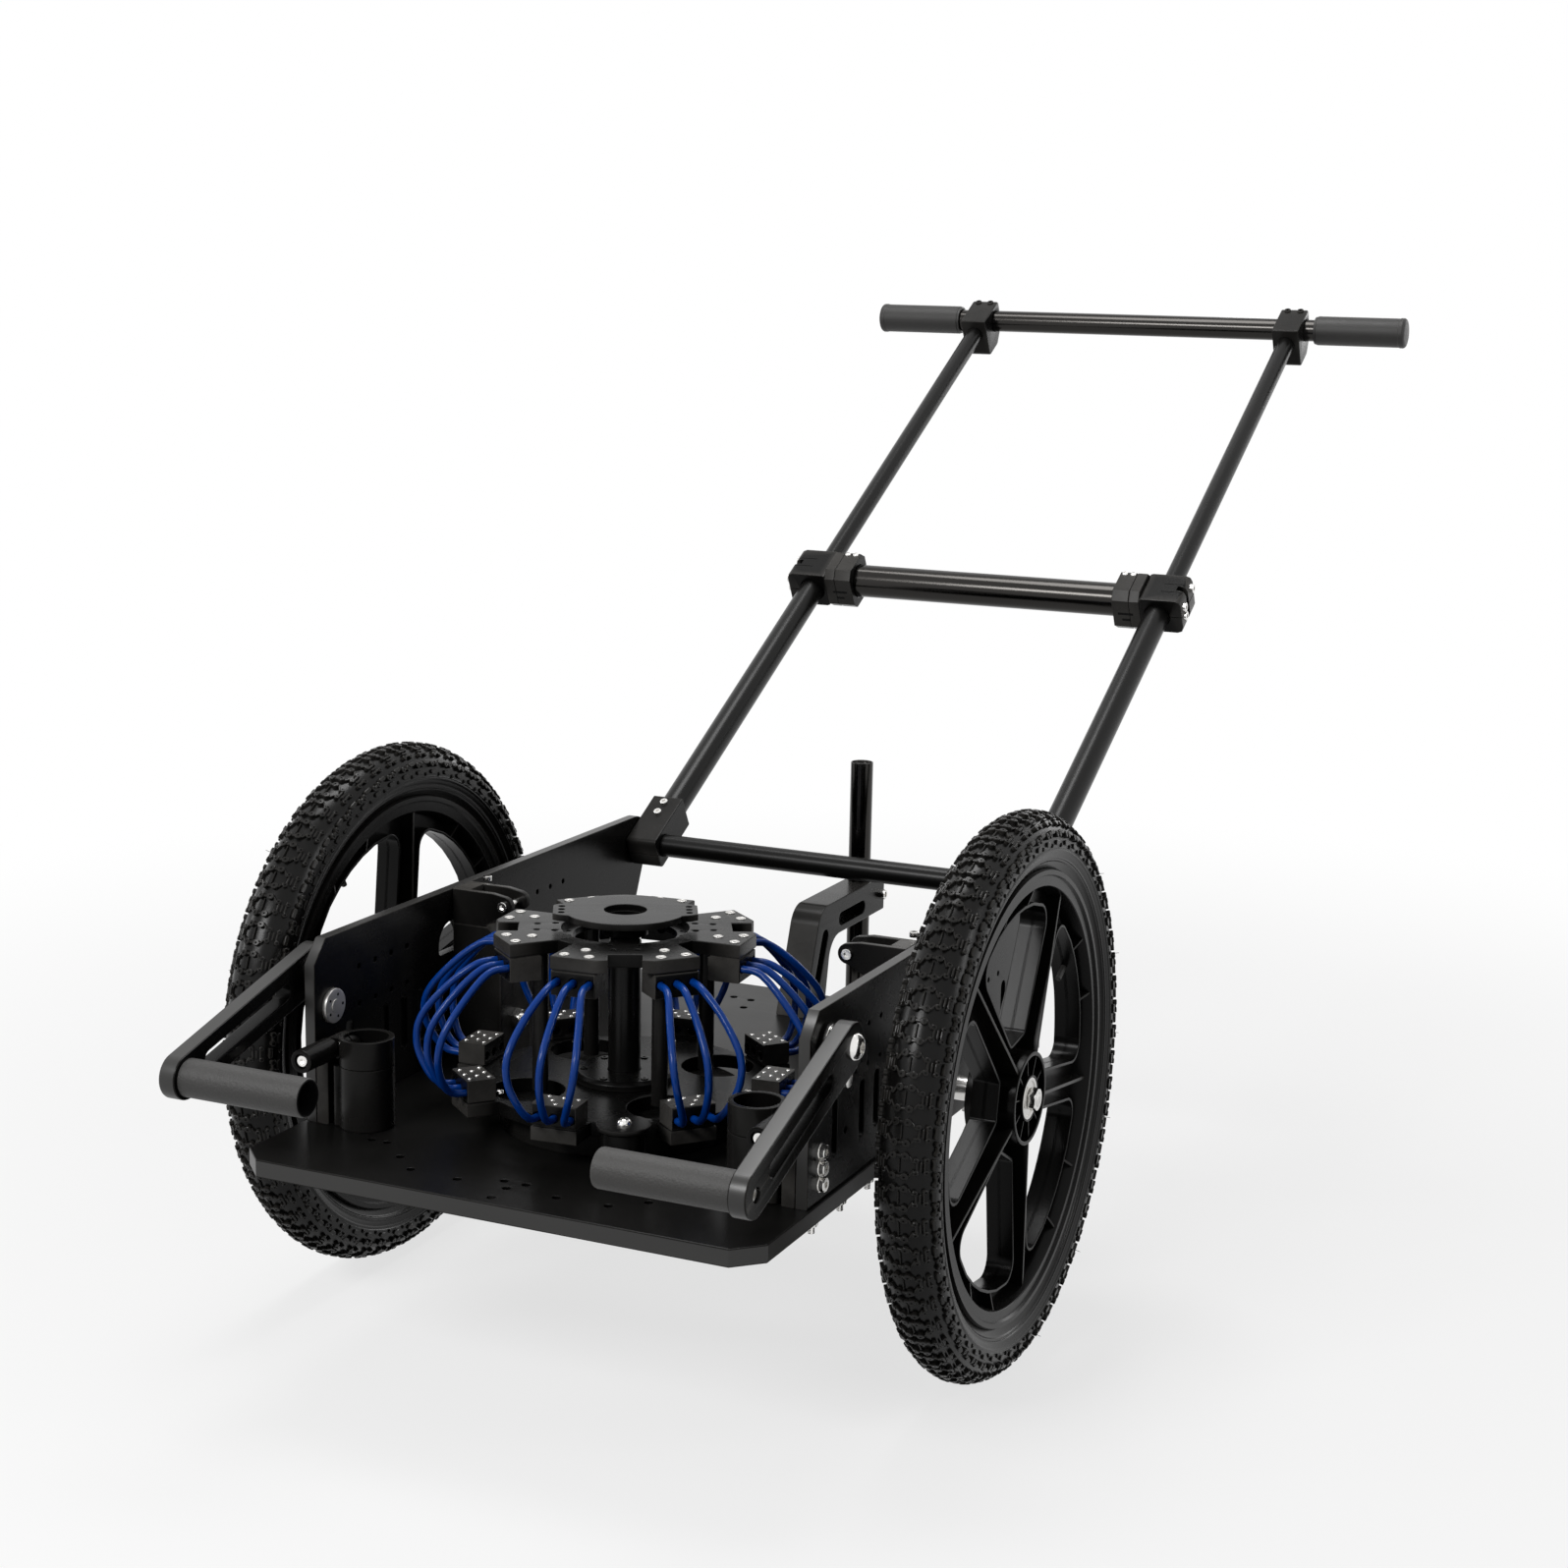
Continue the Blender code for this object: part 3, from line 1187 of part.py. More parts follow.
def socket_body(side, sign, root):
    """Round socket with three flutes on its outer side and a blind bore for a mounting rod."""
    top = DECK_TOP + SOCKET_BODY_H
    centre = (sign * SOCKET_X, SOCKET_Y)
    bm = bmesh.new()
    bar(bm, PLATE_BOTTOM, top, SOCKET_R, "Z", 16, centre)
    obj = make(f"socket_body_{side}", bm, "anodised", root)
    for turn in FLUTE_TURNS:
        a = math.radians(turn)
        place = (centre[0] + sign * SOCKET_R * math.cos(a), centre[1] + SOCKET_R * math.sin(a))
        flute = bmesh.new()
        bar(flute, PLATE_BOTTOM + FLUTE_FOOT, top - FLUTE_DROP, FLUTE_R, "Z", 6, place)
        tool(obj, flute, "UNION")
    bore = bmesh.new()
    bar(bore, DECK_TOP + SOCKET_FLOOR, top + CUT, SOCKET_BORE, "Z", 16, centre)
    tool(obj, bore)


def collar_heights():
    low = DECK_TOP + SOCKET_BODY_H + SEAT_GAP
    high = DECK_TOP + COLLAR_TO
    return low, high, (low + high) / 2 + EAR_RISE


def socket_collar(side, sign, root):
    """Split clamping collar on the socket, with the ear that its clamp bolt crosses."""
    low, high, bolt_z = collar_heights()
    near = SOCKET_Y - EAR_HALF_W
    far = SOCKET_Y + EAR_HALF_W
    centre = (sign * SOCKET_X, SOCKET_Y)
    x = sign * (SOCKET_X + EAR_X)
    bm = bmesh.new()
    bar(bm, low, high, SOCKET_R, "Z", 16, centre)
    obj = make(f"socket_collar_{side}", bm, "anodised", root)
    ear = bmesh.new()
    start = (bolt_z, sign * (SOCKET_X + SOCKET_BORE + EAR_LAP))
    slab(ear, slot(start, (bolt_z, x), EAR_R, 4), near, far, "zx")
    tool(obj, ear, "UNION")
    inside = bmesh.new()
    bar(inside, low - CUT, high + CUT, SOCKET_BORE, "Z", 16, centre)
    tool(obj, inside)
    slit = bmesh.new()
    a, b = sorted((sign * (SOCKET_X + SOCKET_BORE - LAP), sign * (SOCKET_X + EAR_X + EAR_R + CUT)))
    opening = box(a, b, SOCKET_Y - EAR_SLIT / 2, SOCKET_Y + EAR_SLIT / 2)
    slab(slit, opening, low - CUT, high + CUT, "xy")
    tool(obj, slit)
    bore = bmesh.new()
    bar(bore, near - CUT, far + CUT, KNOB_BOLT_R + RUN_GAP, "Y", 10, (x, bolt_z))
    tool(obj, bore)


def clamp_knob(side, sign, root):
    """Knob and bolt that tighten the collar; it turns about its own axis along Y."""
    bolt_z = collar_heights()[2]
    front = SOCKET_Y - EAR_HALF_W - RUN_GAP
    axis = empty(f"knob_axis_{side}", (sign * (SOCKET_X + EAR_X), front, bolt_z), root)
    back = 2 * EAR_HALF_W + 2 * RUN_GAP
    face = -KNOB_SPACER_T - KNOB_LEN
    profile = [(0, face + KNOB_RECESS), (KNOB_RECESS_R, face + KNOB_RECESS), (KNOB_RECESS_R, face),
               (KNOB_R, face), (KNOB_R, -KNOB_SPACER_T),
               (KNOB_COLLAR_R, -KNOB_SPACER_T), (KNOB_COLLAR_R, 0), (KNOB_BOLT_R, 0), (KNOB_BOLT_R, back),
               (KNOB_COLLAR_R, back), (KNOB_COLLAR_R, back + KNOB_NUT_T), (0, back + KNOB_NUT_T)]
    bm = bmesh.new()
    lathe(bm, profile, "Y", steps=10)
    make(f"clamp_knob_{side}", bm, "moulded", axis)


# Vibration isolator; its frame stands on the deck and -Y is the middle of the front lobe

def polar(radius, degrees, across=0.0):
    """Point at a radius in a direction counted from -Y towards +X, shifted sideways by across."""
    a = math.radians(degrees)
    return (radius * math.sin(a) + across * math.cos(a), -radius * math.cos(a) + across * math.sin(a))


def petal_turns():
    return [(i + 0.5) * 360 / PETALS for i in range(PETALS)]


def petal_corners(turn, outer, depth):
    half = PETAL_HALF_W - PETAL_STEP
    return [polar(outer, turn, -half), polar(outer, turn, half), polar(outer - depth, turn, half),
            polar(outer - depth, turn, -half)]


def base_plate_outline():
    points = []
    for turn in petal_turns():
        points += [polar(BASE_PETAL_R, turn, -PETAL_HALF_W), polar(BASE_PETAL_R, turn, PETAL_HALF_W)]
        points += [polar(BASE_VALLEY_R, turn + 180 / PETALS + shift) for shift in BASE_VALLEY_TURNS]
    return points


def top_plate_outline():
    """Four lobes of two petals: a square notch inside each lobe and a deep gap between lobes."""
    points = []
    shoulder = TOP_PETAL_R - TOP_SHOULDER
    for lobe in range(0, 360, 90):
        left = lobe - 180 / PETALS
        right = lobe + 180 / PETALS
        points += [polar(TOP_PETAL_R, left, -PETAL_HALF_W), polar(TOP_PETAL_R, left, PETAL_HALF_W)]
        points += [polar(shoulder, lobe, -TOP_NOTCH_HALF_W), polar(TOP_NOTCH_R, lobe, -TOP_NOTCH_HALF_W)]
        points += [polar(TOP_NOTCH_R, lobe, TOP_NOTCH_HALF_W), polar(shoulder, lobe, TOP_NOTCH_HALF_W)]
        points += [polar(TOP_PETAL_R, right, -PETAL_HALF_W), polar(TOP_PETAL_R, right, PETAL_HALF_W)]
        points += [polar(TOP_GAP_R, lobe + turn) for turn in TOP_GAP_TURNS]
    return points


def rope_lane(lane):
    return (lane - (ROPES - 1) / 2) * ROPE_PITCH


def rope_route(turn, lane):
    """Points that one rope loop bulges through, from the upper block out and down to the lower one."""
    high = TOP_PLATE_AT - ROPE_HIGH
    low = BASE_TOP + ROPE_LOW
    inner = TOP_PETAL_R + SEAT_GAP
    outer = BASE_PETAL_R + SEAT_GAP
    bulge = ROPE_BULGE_R
    keys = [(inner, high)]
    keys += [(bulge - back, high - drop) for back, drop in ROPE_SHOULDER]
    keys += [(bulge - back, low + rise) for back, rise in ROPE_FOOT]
    keys.append((outer, low))
    side = rope_lane(lane)
    points = []
    for r, z in keys:
        swell = 1 + (ROPE_FAN - 1) * math.sin(math.pi * (high - z) / (high - low))
        points.append(Vector((*polar(r, turn, side * swell), z)))
    return points


def smooth_route(points, count):
    """Evenly spread points read from a smooth curve through the given ones."""
    fine = []
    last = len(points) - 1
    for i in range(last):
        p0 = points[max(i - 1, 0)]
        p1 = points[i]
        p2 = points[i + 1]
        p3 = points[min(i + 2, last)]
        for k in range(8):
            t = k / 8
            fine.append(0.5 * (2 * p1 + (p2 - p0) * t + (2 * p0 - 5 * p1 + 4 * p2 - p3) * t ** 2
                               + (3 * p1 - p0 - 3 * p2 + p3) * t ** 3))
    fine.append(points[-1])
    lengths = [0.0]
    for a, b in zip(fine, fine[1:]):
        lengths.append(lengths[-1] + (b - a).length)
    spread = []
    for n in range(count - 1):
        want = lengths[-1] * n / (count - 1)
        k = max(i for i in range(len(lengths) - 1) if lengths[i] <= want)
        share = (want - lengths[k]) / (lengths[k + 1] - lengths[k])
        spread.append(fine[k].lerp(fine[k + 1], share))
    return spread + [fine[-1]]


def sweep(bm, points, radius, side, steps=6):
    """Round bar along a route whose every bend lies near the plane square to side."""
    rings = []
    last = len(points) - 1
    for i, point in enumerate(points):
        along = (points[min(i + 1, last)] - points[max(i - 1, 0)]).normalized()
        if i == 0 or i == last:
            along = Vector((along.x, along.y, 0)).normalized()
        over = side.cross(along).normalized()
        across = along.cross(over)
        ring_verts = []
        for k in range(steps):
            a = 2 * math.pi * (k + 0.5) / steps
            ring_verts.append(bm.verts.new(point + (across * math.cos(a) + over * math.sin(a)) * radius))
        rings.append(ring_verts)
    faces = [bm.faces.new(rings[0]), bm.faces.new(list(reversed(rings[-1])))]
    for a, b in zip(rings, rings[1:]):
        for k in range(steps):
            j = (k + 1) % steps
            faces.append(bm.faces.new((a[k], a[j], b[j], b[k])))
    bmesh.ops.recalc_face_normals(bm, faces=faces)


def petal_side(turn):
    return Vector((*polar(0, turn, 1), 0))


def wire_ropes(frame):
    """Rope loops between the blocks, laced together behind the lower blocks."""
    low = BASE_TOP + ROPE_LOW
    bm = bmesh.new()
    section = [(LACE_R + ROPE_R * math.cos(a), low + ROPE_R * math.sin(a))
               for a in [math.radians(60 * k) for k in range(6)]]
    ring(bm, section, "Z", steps=24)
    obj = make("wire_ropes", bm, "rope", frame)
    loops = bmesh.new()
    for turn in petal_turns():
        for lane in range(ROPES):
            points = smooth_route(rope_route(turn, lane), ROPE_POINTS)
            points.append(Vector((*polar(LACE_R, turn, rope_lane(lane)), low)))
            sweep(loops, points, ROPE_R, petal_side(turn))
    tool(obj, loops, "UNION")


def pedestal(frame):
    bm = bmesh.new()
    top = SEAT_GAP + PEDESTAL_H
    ring(bm, [(PEDESTAL_BORE, SEAT_GAP), (PEDESTAL_R, SEAT_GAP), (PEDESTAL_R, top), (PEDESTAL_BORE, top)],
         "Z", steps=24)
    make("isolator_pedestal", bm, "anodised", frame)


def base_plate(frame):
    """Eight-petalled plate with a drilled rope block on each petal."""
    bm = bmesh.new()
    slab(bm, base_plate_outline(), BASE_BOTTOM, BASE_TOP, "xy")
    obj = make("isolator_base_plate", bm, "anodised", frame)
    blocks = bmesh.new()
    bores = bmesh.new()
    top = BASE_TOP + LOWER_BLOCK_T
    rope_z = BASE_TOP + ROPE_LOW
    for turn in petal_turns():
        corners = petal_corners(turn, BASE_PETAL_R - PETAL_STEP, LOWER_BLOCK_DEPTH)
        small = offset(corners, -BLOCK_EDGE)
        stack(blocks, [(BASE_TOP - LAP, corners), (top - BLOCK_EDGE, corners), (top, small)], "xy")
        for lane in range(ROPES):
            side = rope_lane(lane)
            reach = (BASE_PETAL_R + CUT, LACE_R - LACE_OVER)
            ends = [Vector((*polar(r, turn, side), rope_z)) for r in reach]
            sweep(bores, ends, ROPE_R + SEAT_GAP, petal_side(turn))
    tool(obj, blocks, "UNION")
    tool(obj, bores)
    holes = bmesh.new()
    for turn in COLUMN_TURNS:
        bar(holes, BASE_BOTTOM - CUT, BASE_TOP + CUT, BASE_HOLE_R, "Z", 16, polar(BASE_HOLE_AT, turn))
    bar(holes, BASE_BOTTOM - CUT, BASE_TOP + CUT, CENTRE_R + BASE_CENTRE_PLAY, "Z", 20)
    tool(obj, holes)


def guide_flange(frame):
    low = BASE_TOP + SEAT_GAP
    bore = CENTRE_R + RUN_GAP
    top = low + FLANGE_T
    profile = [(bore, low), (FLANGE_R, low), (FLANGE_R, top - FLANGE_EDGE), (FLANGE_R - FLANGE_EDGE, top),
               (bore, top)]
    bm = bmesh.new()
    ring(bm, profile, "Z", steps=18)
    make("guide_flange", bm, "anodised", frame)


def hold_down(frame):
    """Round puck with a dome bolt at the front of the isolator."""
    waist = PUCK_R - PUCK_WAIST
    lip = PUCK_H - PUCK_LIP_H
    crown = PUCK_H + PUCK_BOLT_H
    step = PUCK_FOOT_H + PUCK_FOOT_LEAN
    profile = [(0, SEAT_GAP), (PUCK_R, SEAT_GAP), (PUCK_R, PUCK_FOOT_H), (waist, step),
               (waist, lip), (PUCK_R, lip + LAP), (PUCK_R, PUCK_H), (PUCK_BOLT_R, PUCK_H),
               (PUCK_BOLT_R - LAP, crown), (0, crown)]
    bm = bmesh.new()
    lathe(bm, profile, "Z", (*polar(PUCK_AT, 0), 0), 12)
    make("isolator_hold_down", bm, "anodised", frame)


def top_plate(lift):
    """Lobed plate with a rope block under each petal and four thin columns."""
    outline = top_plate_outline()
    bm = bmesh.new()
    stack(bm, [(TOP_PLATE_AT, outline), (TOP_PLATE_TOP - TOP_EDGE, outline),
               (TOP_PLATE_TOP, offset(outline, -TOP_EDGE))], "xy")
    obj = make("isolator_top_plate", bm, "anodised", lift)
    blocks = bmesh.new()
    bottom = TOP_PLATE_AT - UPPER_BLOCK_T
    for turn in petal_turns():
        corners = petal_corners(turn, TOP_PETAL_R - PETAL_STEP, UPPER_BLOCK_DEPTH)
        small = offset(corners, -BLOCK_EDGE)
        layers = [(bottom, small), (bottom + BLOCK_EDGE, corners), (TOP_PLATE_AT + LAP, corners)]
        stack(blocks, layers, "xy")
    tool(obj, blocks, "UNION")
    columns = bmesh.new()
    for turn in COLUMN_TURNS:
        bar(columns, COLUMN_END, TOP_PLATE_AT + LAP, COLUMN_R, "Z", 12, polar(COLUMN_AT, turn))
    tool(obj, columns, "UNION")
    holes = bmesh.new()
    for turn in range(0, 360, 90):
        for across in (-TOP_HOLE_ACROSS, TOP_HOLE_ACROSS):
            bar(holes, TOP_PLATE_AT - CUT, TOP_PLATE_TOP + CUT, TOP_HOLE_R, "Z", 6,
                polar(TOP_HOLE_AT, turn, across))
    tool(obj, holes)


def centre_column(lift):
    bm = bmesh.new()
    bar(bm, CENTRE_END, TOP_PLATE_AT - SEAT_GAP, CENTRE_R, "Z", 20)
    make("centre_column", bm, "gloss_tube", lift)


def payload_outline():
    """Round plate with two wings."""
    points = []
    meet = math.degrees(math.asin((WING_HALF_W + WING_BLEND) / PAYLOAD_R))
    back = WING_REACH - WING_CORNER[0]
    inset = WING_HALF_W - WING_CORNER[1]
    for turn in (90, 270):
        points += [polar(back, turn, -WING_HALF_W), polar(WING_REACH, turn, -inset),
                   polar(WING_REACH, turn, inset), polar(back, turn, WING_HALF_W)]
        points += [polar(PAYLOAD_R, turn + meet + (180 - 2 * meet) * k / 6) for k in range(7)]
    return points


def payload_plate(lift):
    """Winged plate with its neck, which takes the payload on top of the isolator."""
    low = TOP_PLATE_TOP + SEAT_GAP
    bottom = low + NECK_H
    top = bottom + PAYLOAD_T
    outline = payload_outline()
    bm = bmesh.new()
    small = offset(outline, -PAYLOAD_EDGE)
    stack(bm, [(bottom, outline), (top - PAYLOAD_EDGE, outline), (top, small)], "xy")
    obj = make("payload_plate", bm, "anodised", lift)
    neck = bmesh.new()
    foot = NECK_R + NECK_FOOT
    step = low + NECK_FOOT_H
    profile = [(0, low), (foot, low), (foot, step), (NECK_R, step), (NECK_R, bottom + LAP),
               (0, bottom + LAP)]
    lathe(neck, profile, "Z", steps=14)
    tool(obj, neck, "UNION")
    cuts = bmesh.new()
    bar(cuts, low - CUT, top + CUT, PAYLOAD_BORE, "Z", 14)
    for turn in (90, 270):
        for across in (-WING_HOLE_ACROSS, 0, WING_HOLE_ACROSS):
            bar(cuts, low - CUT, top + CUT, WING_HOLE_R, "Z", 6, polar(WING_HOLE_AT, turn, across))
    tool(obj, cuts)


def isolator(root):
    frame = empty("isolator_frame", (0, ISO_Y, DECK_TOP), root, (0, 0, ISO_TURN))
    pedestal(frame)
    base_plate(frame)
    guide_flange(frame)
    hold_down(frame)
    wire_ropes(frame)
    lift = empty("isolator_lift", (0, 0, 0), frame)
    top_plate(lift)
    centre_column(lift)
    payload_plate(lift)


def clear_scene():
    for obj in list(bpy.data.objects):
        bpy.data.objects.remove(obj, do_unlink=True)


def build():
    clear_scene()
    root = empty("cart_datum", (0, AXLE_Y, 0))
    deck(root)
    for side, sign in SIDES:
        side_plate(side, sign, root)
        corner_block(side, sign, root)
        axle_housing(side, sign, root)
        clevis(side, sign, root)
        axle(side, sign, root)
        front_arm(side, sign, root)
        socket_body(side, sign, root)
        socket_collar(side, sign, root)
        clamp_knob(side, sign, root)
    wheels(root)
    rear_bracket(root)
    support_leg(root)
    handle(root)
    isolator(root)
    merge_flat_faces()


build()
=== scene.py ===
"""Camera rickshaw, dressed: finer pieces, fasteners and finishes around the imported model.

Sizes repeat those of the part's source, in metres. They are written from the wheel axle (y = 0) and from the
ground (z = 0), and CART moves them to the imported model's frame.
"""
import math

import bmesh
import bpy
from mathutils import Matrix, Vector


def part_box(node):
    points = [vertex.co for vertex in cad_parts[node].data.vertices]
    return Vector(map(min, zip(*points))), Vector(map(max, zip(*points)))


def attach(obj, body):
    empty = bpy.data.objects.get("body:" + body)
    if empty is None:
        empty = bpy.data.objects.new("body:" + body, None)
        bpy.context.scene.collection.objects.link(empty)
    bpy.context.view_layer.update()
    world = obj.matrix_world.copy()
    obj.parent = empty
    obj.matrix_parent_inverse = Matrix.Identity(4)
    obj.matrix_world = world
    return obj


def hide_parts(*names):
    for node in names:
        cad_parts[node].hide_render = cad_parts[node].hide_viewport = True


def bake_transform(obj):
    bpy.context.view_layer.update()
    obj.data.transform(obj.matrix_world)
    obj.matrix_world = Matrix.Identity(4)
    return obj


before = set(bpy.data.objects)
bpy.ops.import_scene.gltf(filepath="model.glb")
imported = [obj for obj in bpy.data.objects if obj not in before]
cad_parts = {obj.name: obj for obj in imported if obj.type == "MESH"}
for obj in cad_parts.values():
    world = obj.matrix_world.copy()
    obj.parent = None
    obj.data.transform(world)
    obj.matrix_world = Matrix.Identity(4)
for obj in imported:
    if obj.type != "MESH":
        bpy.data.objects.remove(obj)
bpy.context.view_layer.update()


def middle(node):
    """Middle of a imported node's box."""
    low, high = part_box(node)
    return (Vector(low) + Vector(high)) / 2


# Shared sizes. LAP sinks a head into its seat, and GAP is the play between seated pieces.
AXLE_Y = middle("hub_cartridge_right").y
SIDES = (("left", -1), ("right", 1))
LAP = 0.0006
GAP = 0.0003
HAIR_EDGE = 0.0001
SEAM_EDGE = 0.0002
THIN_EDGE = 0.0003
LIGHT_EDGE = 0.0004
FINE_EDGE = 0.0005
EASED_EDGE = 0.0008
ROUND_EDGE = 0.001
SOFT_EDGE = 0.0012
BLOCK_CORNER = 0.0014
WIDE_EDGE = 0.0015
ROUND = 64
SHARP_ANGLE = math.radians(38)

AXLE_Z = 0.255
HALF_TRACK = 0.3208
DECK_TOP = 0.2185
DECK_T = 0.016
DECK_HALF_W = 0.2465
DECK_FRONT = -0.3623
DECK_REAR = 0.335
PLATE_IN = 0.233
PLATE_OUT = 0.2437
PLATE_FRONT = -0.2577
PLATE_TOP = DECK_TOP + 0.165
PLATE_BOTTOM = DECK_TOP + GAP
HINGE_Y = 0.3473
HINGE_Z = 0.3556
HANDLE_TILT = math.radians(28.95)
TUBE_X = 0.2149
MID_AT = 0.5035
TOP_AT = 1.1216
TOP_BAR_HALF = 0.3633
LEG_Y = 0.42
ARM_PIVOT_Y = -0.223
ARM_PIVOT_Z = 0.352
ARM_LENGTH = 0.197
ARM_IN = 0.252
ARM_OUT = 0.268
ARM_DROP = {"left": math.radians(14.8), "right": math.radians(19.7)}
SOCKET_X = 0.19
SOCKET_Y = -0.2415
ISO_Y = -0.116
ISO_TURN = math.radians(27.8)

CART = Matrix.Translation((0, AXLE_Y, 0))
HANDLE = CART @ Matrix.Translation((0, HINGE_Y, HINGE_Z)) @ Matrix.Rotation(HANDLE_TILT, 4, "X")
ISOLATOR = CART @ Matrix.Translation((0, ISO_Y, DECK_TOP)) @ Matrix.Rotation(ISO_TURN, 4, "Z")


def arm_place(side):
    """Frame on an arm's pivot, with -Y along the arm."""
    return (CART @ Matrix.Translation((0, ARM_PIVOT_Y, ARM_PIVOT_Z))
            @ Matrix.Rotation(ARM_DROP[side], 4, "X"))


def wheel_place(sign):
    """Frame on a wheel's axle, with +X pointing out."""
    turn = 0 if sign > 0 else math.pi
    return CART @ Matrix.Translation((sign * HALF_TRACK, 0, AXLE_Z)) @ Matrix.Rotation(turn, 4, "Z")


# Outlines, as (u, v) points that run anticlockwise

def arc(centre, radius, start, stop, steps):
    """Points on an arc, start and stop in degrees."""
    points = []
    for i in range(steps + 1):
        a = math.radians(start + (stop - start) * i / steps)
        points.append((centre[0] + radius * math.cos(a), centre[1] + radius * math.sin(a)))
    return points


def circle(centre, radius, steps=24):
    """Outline of a circle."""
    return arc(centre, radius, 0, 360 - 360 / steps, steps - 1)


def slot(a, b, radius, steps=8):
    """Outline of a slot whose end centres are a and b."""
    turn = math.degrees(math.atan2(b[1] - a[1], b[0] - a[0]))
    return arc(b, radius, turn - 90, turn + 90, steps) + arc(a, radius, turn + 90, turn + 270, steps)


def box(u0, u1, v0, v1):
    """Outline of a rectangle."""
    return [(u0, v0), (u1, v0), (u1, v1), (u0, v1)]


def rounded(corners, steps=8):
    """Outline through (u, v, radius) corners, with each corner rounded by its radius."""
    points = []
    count = len(corners)
    for i, (u, v, radius) in enumerate(corners):
        here = Vector((u, v))
        if radius <= 0:
            points.append((u, v))
            continue
        back = (Vector(corners[i - 1][:2]) - here).normalized()
        ahead = (Vector(corners[(i + 1) % count][:2]) - here).normalized()
        half = back.angle(ahead) / 2
        centre = here + (back + ahead).normalized() * (radius / math.sin(half))
        start = here + back * (radius / math.tan(half)) - centre
        stop = here + ahead * (radius / math.tan(half)) - centre
        sweep = start.angle_signed(stop)
        for k in range(steps + 1):
            a = -sweep * k / steps
            x = start.x * math.cos(a) - start.y * math.sin(a)
            y = start.x * math.sin(a) + start.y * math.cos(a)
            points.append((centre.x + x, centre.y + y))
    return points


def offset(outline, distance):
    """Outline moved outward by distance."""
    points = []
    count = len(outline)
    for i in range(count):
        here = Vector(outline[i])
        a = (here - Vector(outline[i - 1])).normalized()
        b = (Vector(outline[(i + 1) % count]) - here).normalized()
        na = Vector((a.y, -a.x))
        nb = Vector((b.y, -b.x))
        points.append(tuple(here + (na + nb) / (1 + na.dot(nb)) * distance))
    return points


def turned_outline(outline, degrees):
    """Outline turned about the origin."""
    c = math.cos(math.radians(degrees))
    s = math.sin(math.radians(degrees))
    return [(c * u - s * v, s * u + c * v) for u, v in outline]


def shifted(outline, du, dv):
    """Outline moved by (du, dv)."""
    return [(u + du, v + dv) for u, v in outline]


def softened(profile, radius, closed=False):
    """Profile whose corners are rounded by up to radius."""
    points = []
    count = len(profile)
    for i, here in enumerate(profile):
        if not closed and i in (0, count - 1):
            points.append(here)
            continue
        corner = Vector(here)
        back = Vector(profile[i - 1]) - corner
        ahead = Vector(profile[(i + 1) % count]) - corner
        reach = min(radius, back.length * 0.45, ahead.length * 0.45)
        if reach <= 0 or back.angle(ahead) > math.radians(160):
            points.append(here)
            continue
        start = corner + back.normalized() * reach
        stop = corner + ahead.normalized() * reach
        for t in (0, 0.5, 1):
            points.append(tuple(start.lerp(corner, t).lerp(corner.lerp(stop, t), t)))
    return points


# Shapes, each added to a bmesh

PLANES = {
    "xy": Matrix.Identity(4),
    "yz": Matrix(((0, 0, 1, 0), (1, 0, 0, 0), (0, 1, 0, 0), (0, 0, 0, 1))),
    "zx": Matrix(((0, 1, 0, 0), (0, 0, 1, 0), (1, 0, 0, 0), (0, 0, 0, 1))),
}
AXES = {"X": PLANES["yz"], "Y": PLANES["zx"], "Z": PLANES["xy"]}


def plate(bm, outline, low, high, plane="xy", holes=(), edge=FINE_EDGE, where=None):
    """Flat plate with holes and rounded edges between two heights over a plane."""
    low, high = sorted((low, high))
    curve = bpy.data.curves.new("outline", "CURVE")
    curve.dimensions = "2D"
    curve.fill_mode = "BOTH"
    curve.extrude = (high - low) / 2 - edge
    curve.bevel_depth = edge
    curve.bevel_resolution = 1
    curve.offset = -edge
    for loop in (outline, *holes):
        spline = curve.splines.new("POLY")
        spline.points.add(len(loop) - 1)
        for point, (u, v) in zip(spline.points, loop):
            point.co = (u, v, 0, 1)
        spline.use_cyclic_u = True
    holder = bpy.data.objects.new("outline", curve)
    mesh = bpy.data.meshes.new_from_object(holder)
    bpy.data.objects.remove(holder)
    bpy.data.curves.remove(curve)
    mesh.transform(Matrix.Translation((0, 0, (low + high) / 2)))
    mesh.transform(PLANES[plane])
    if where is not None:
        mesh.transform(where)
    start = len(bm.verts)
    bm.from_mesh(mesh)
    bpy.data.meshes.remove(mesh)
    bm.verts.ensure_lookup_table()
    bmesh.ops.remove_doubles(bm, verts=bm.verts[start:], dist=1e-6)


def prism(bm, outline, low, high, plane="xy"):
    """Plain sharp-edged prism, mostly for cutting."""
    low, high = sorted((low, high))
    swap = PLANES[plane]
    rows = [[bm.verts.new(swap @ Vector((u, v, h))) for u, v in outline] for h in (low, high)]
    count = len(outline)
    for i in range(count):
        j = (i + 1) % count
        bm.faces.new((rows[0][i], rows[0][j], rows[1][j], rows[1][i]))
    bm.faces.new(list(reversed(rows[0])))
    bm.faces.new(rows[1])


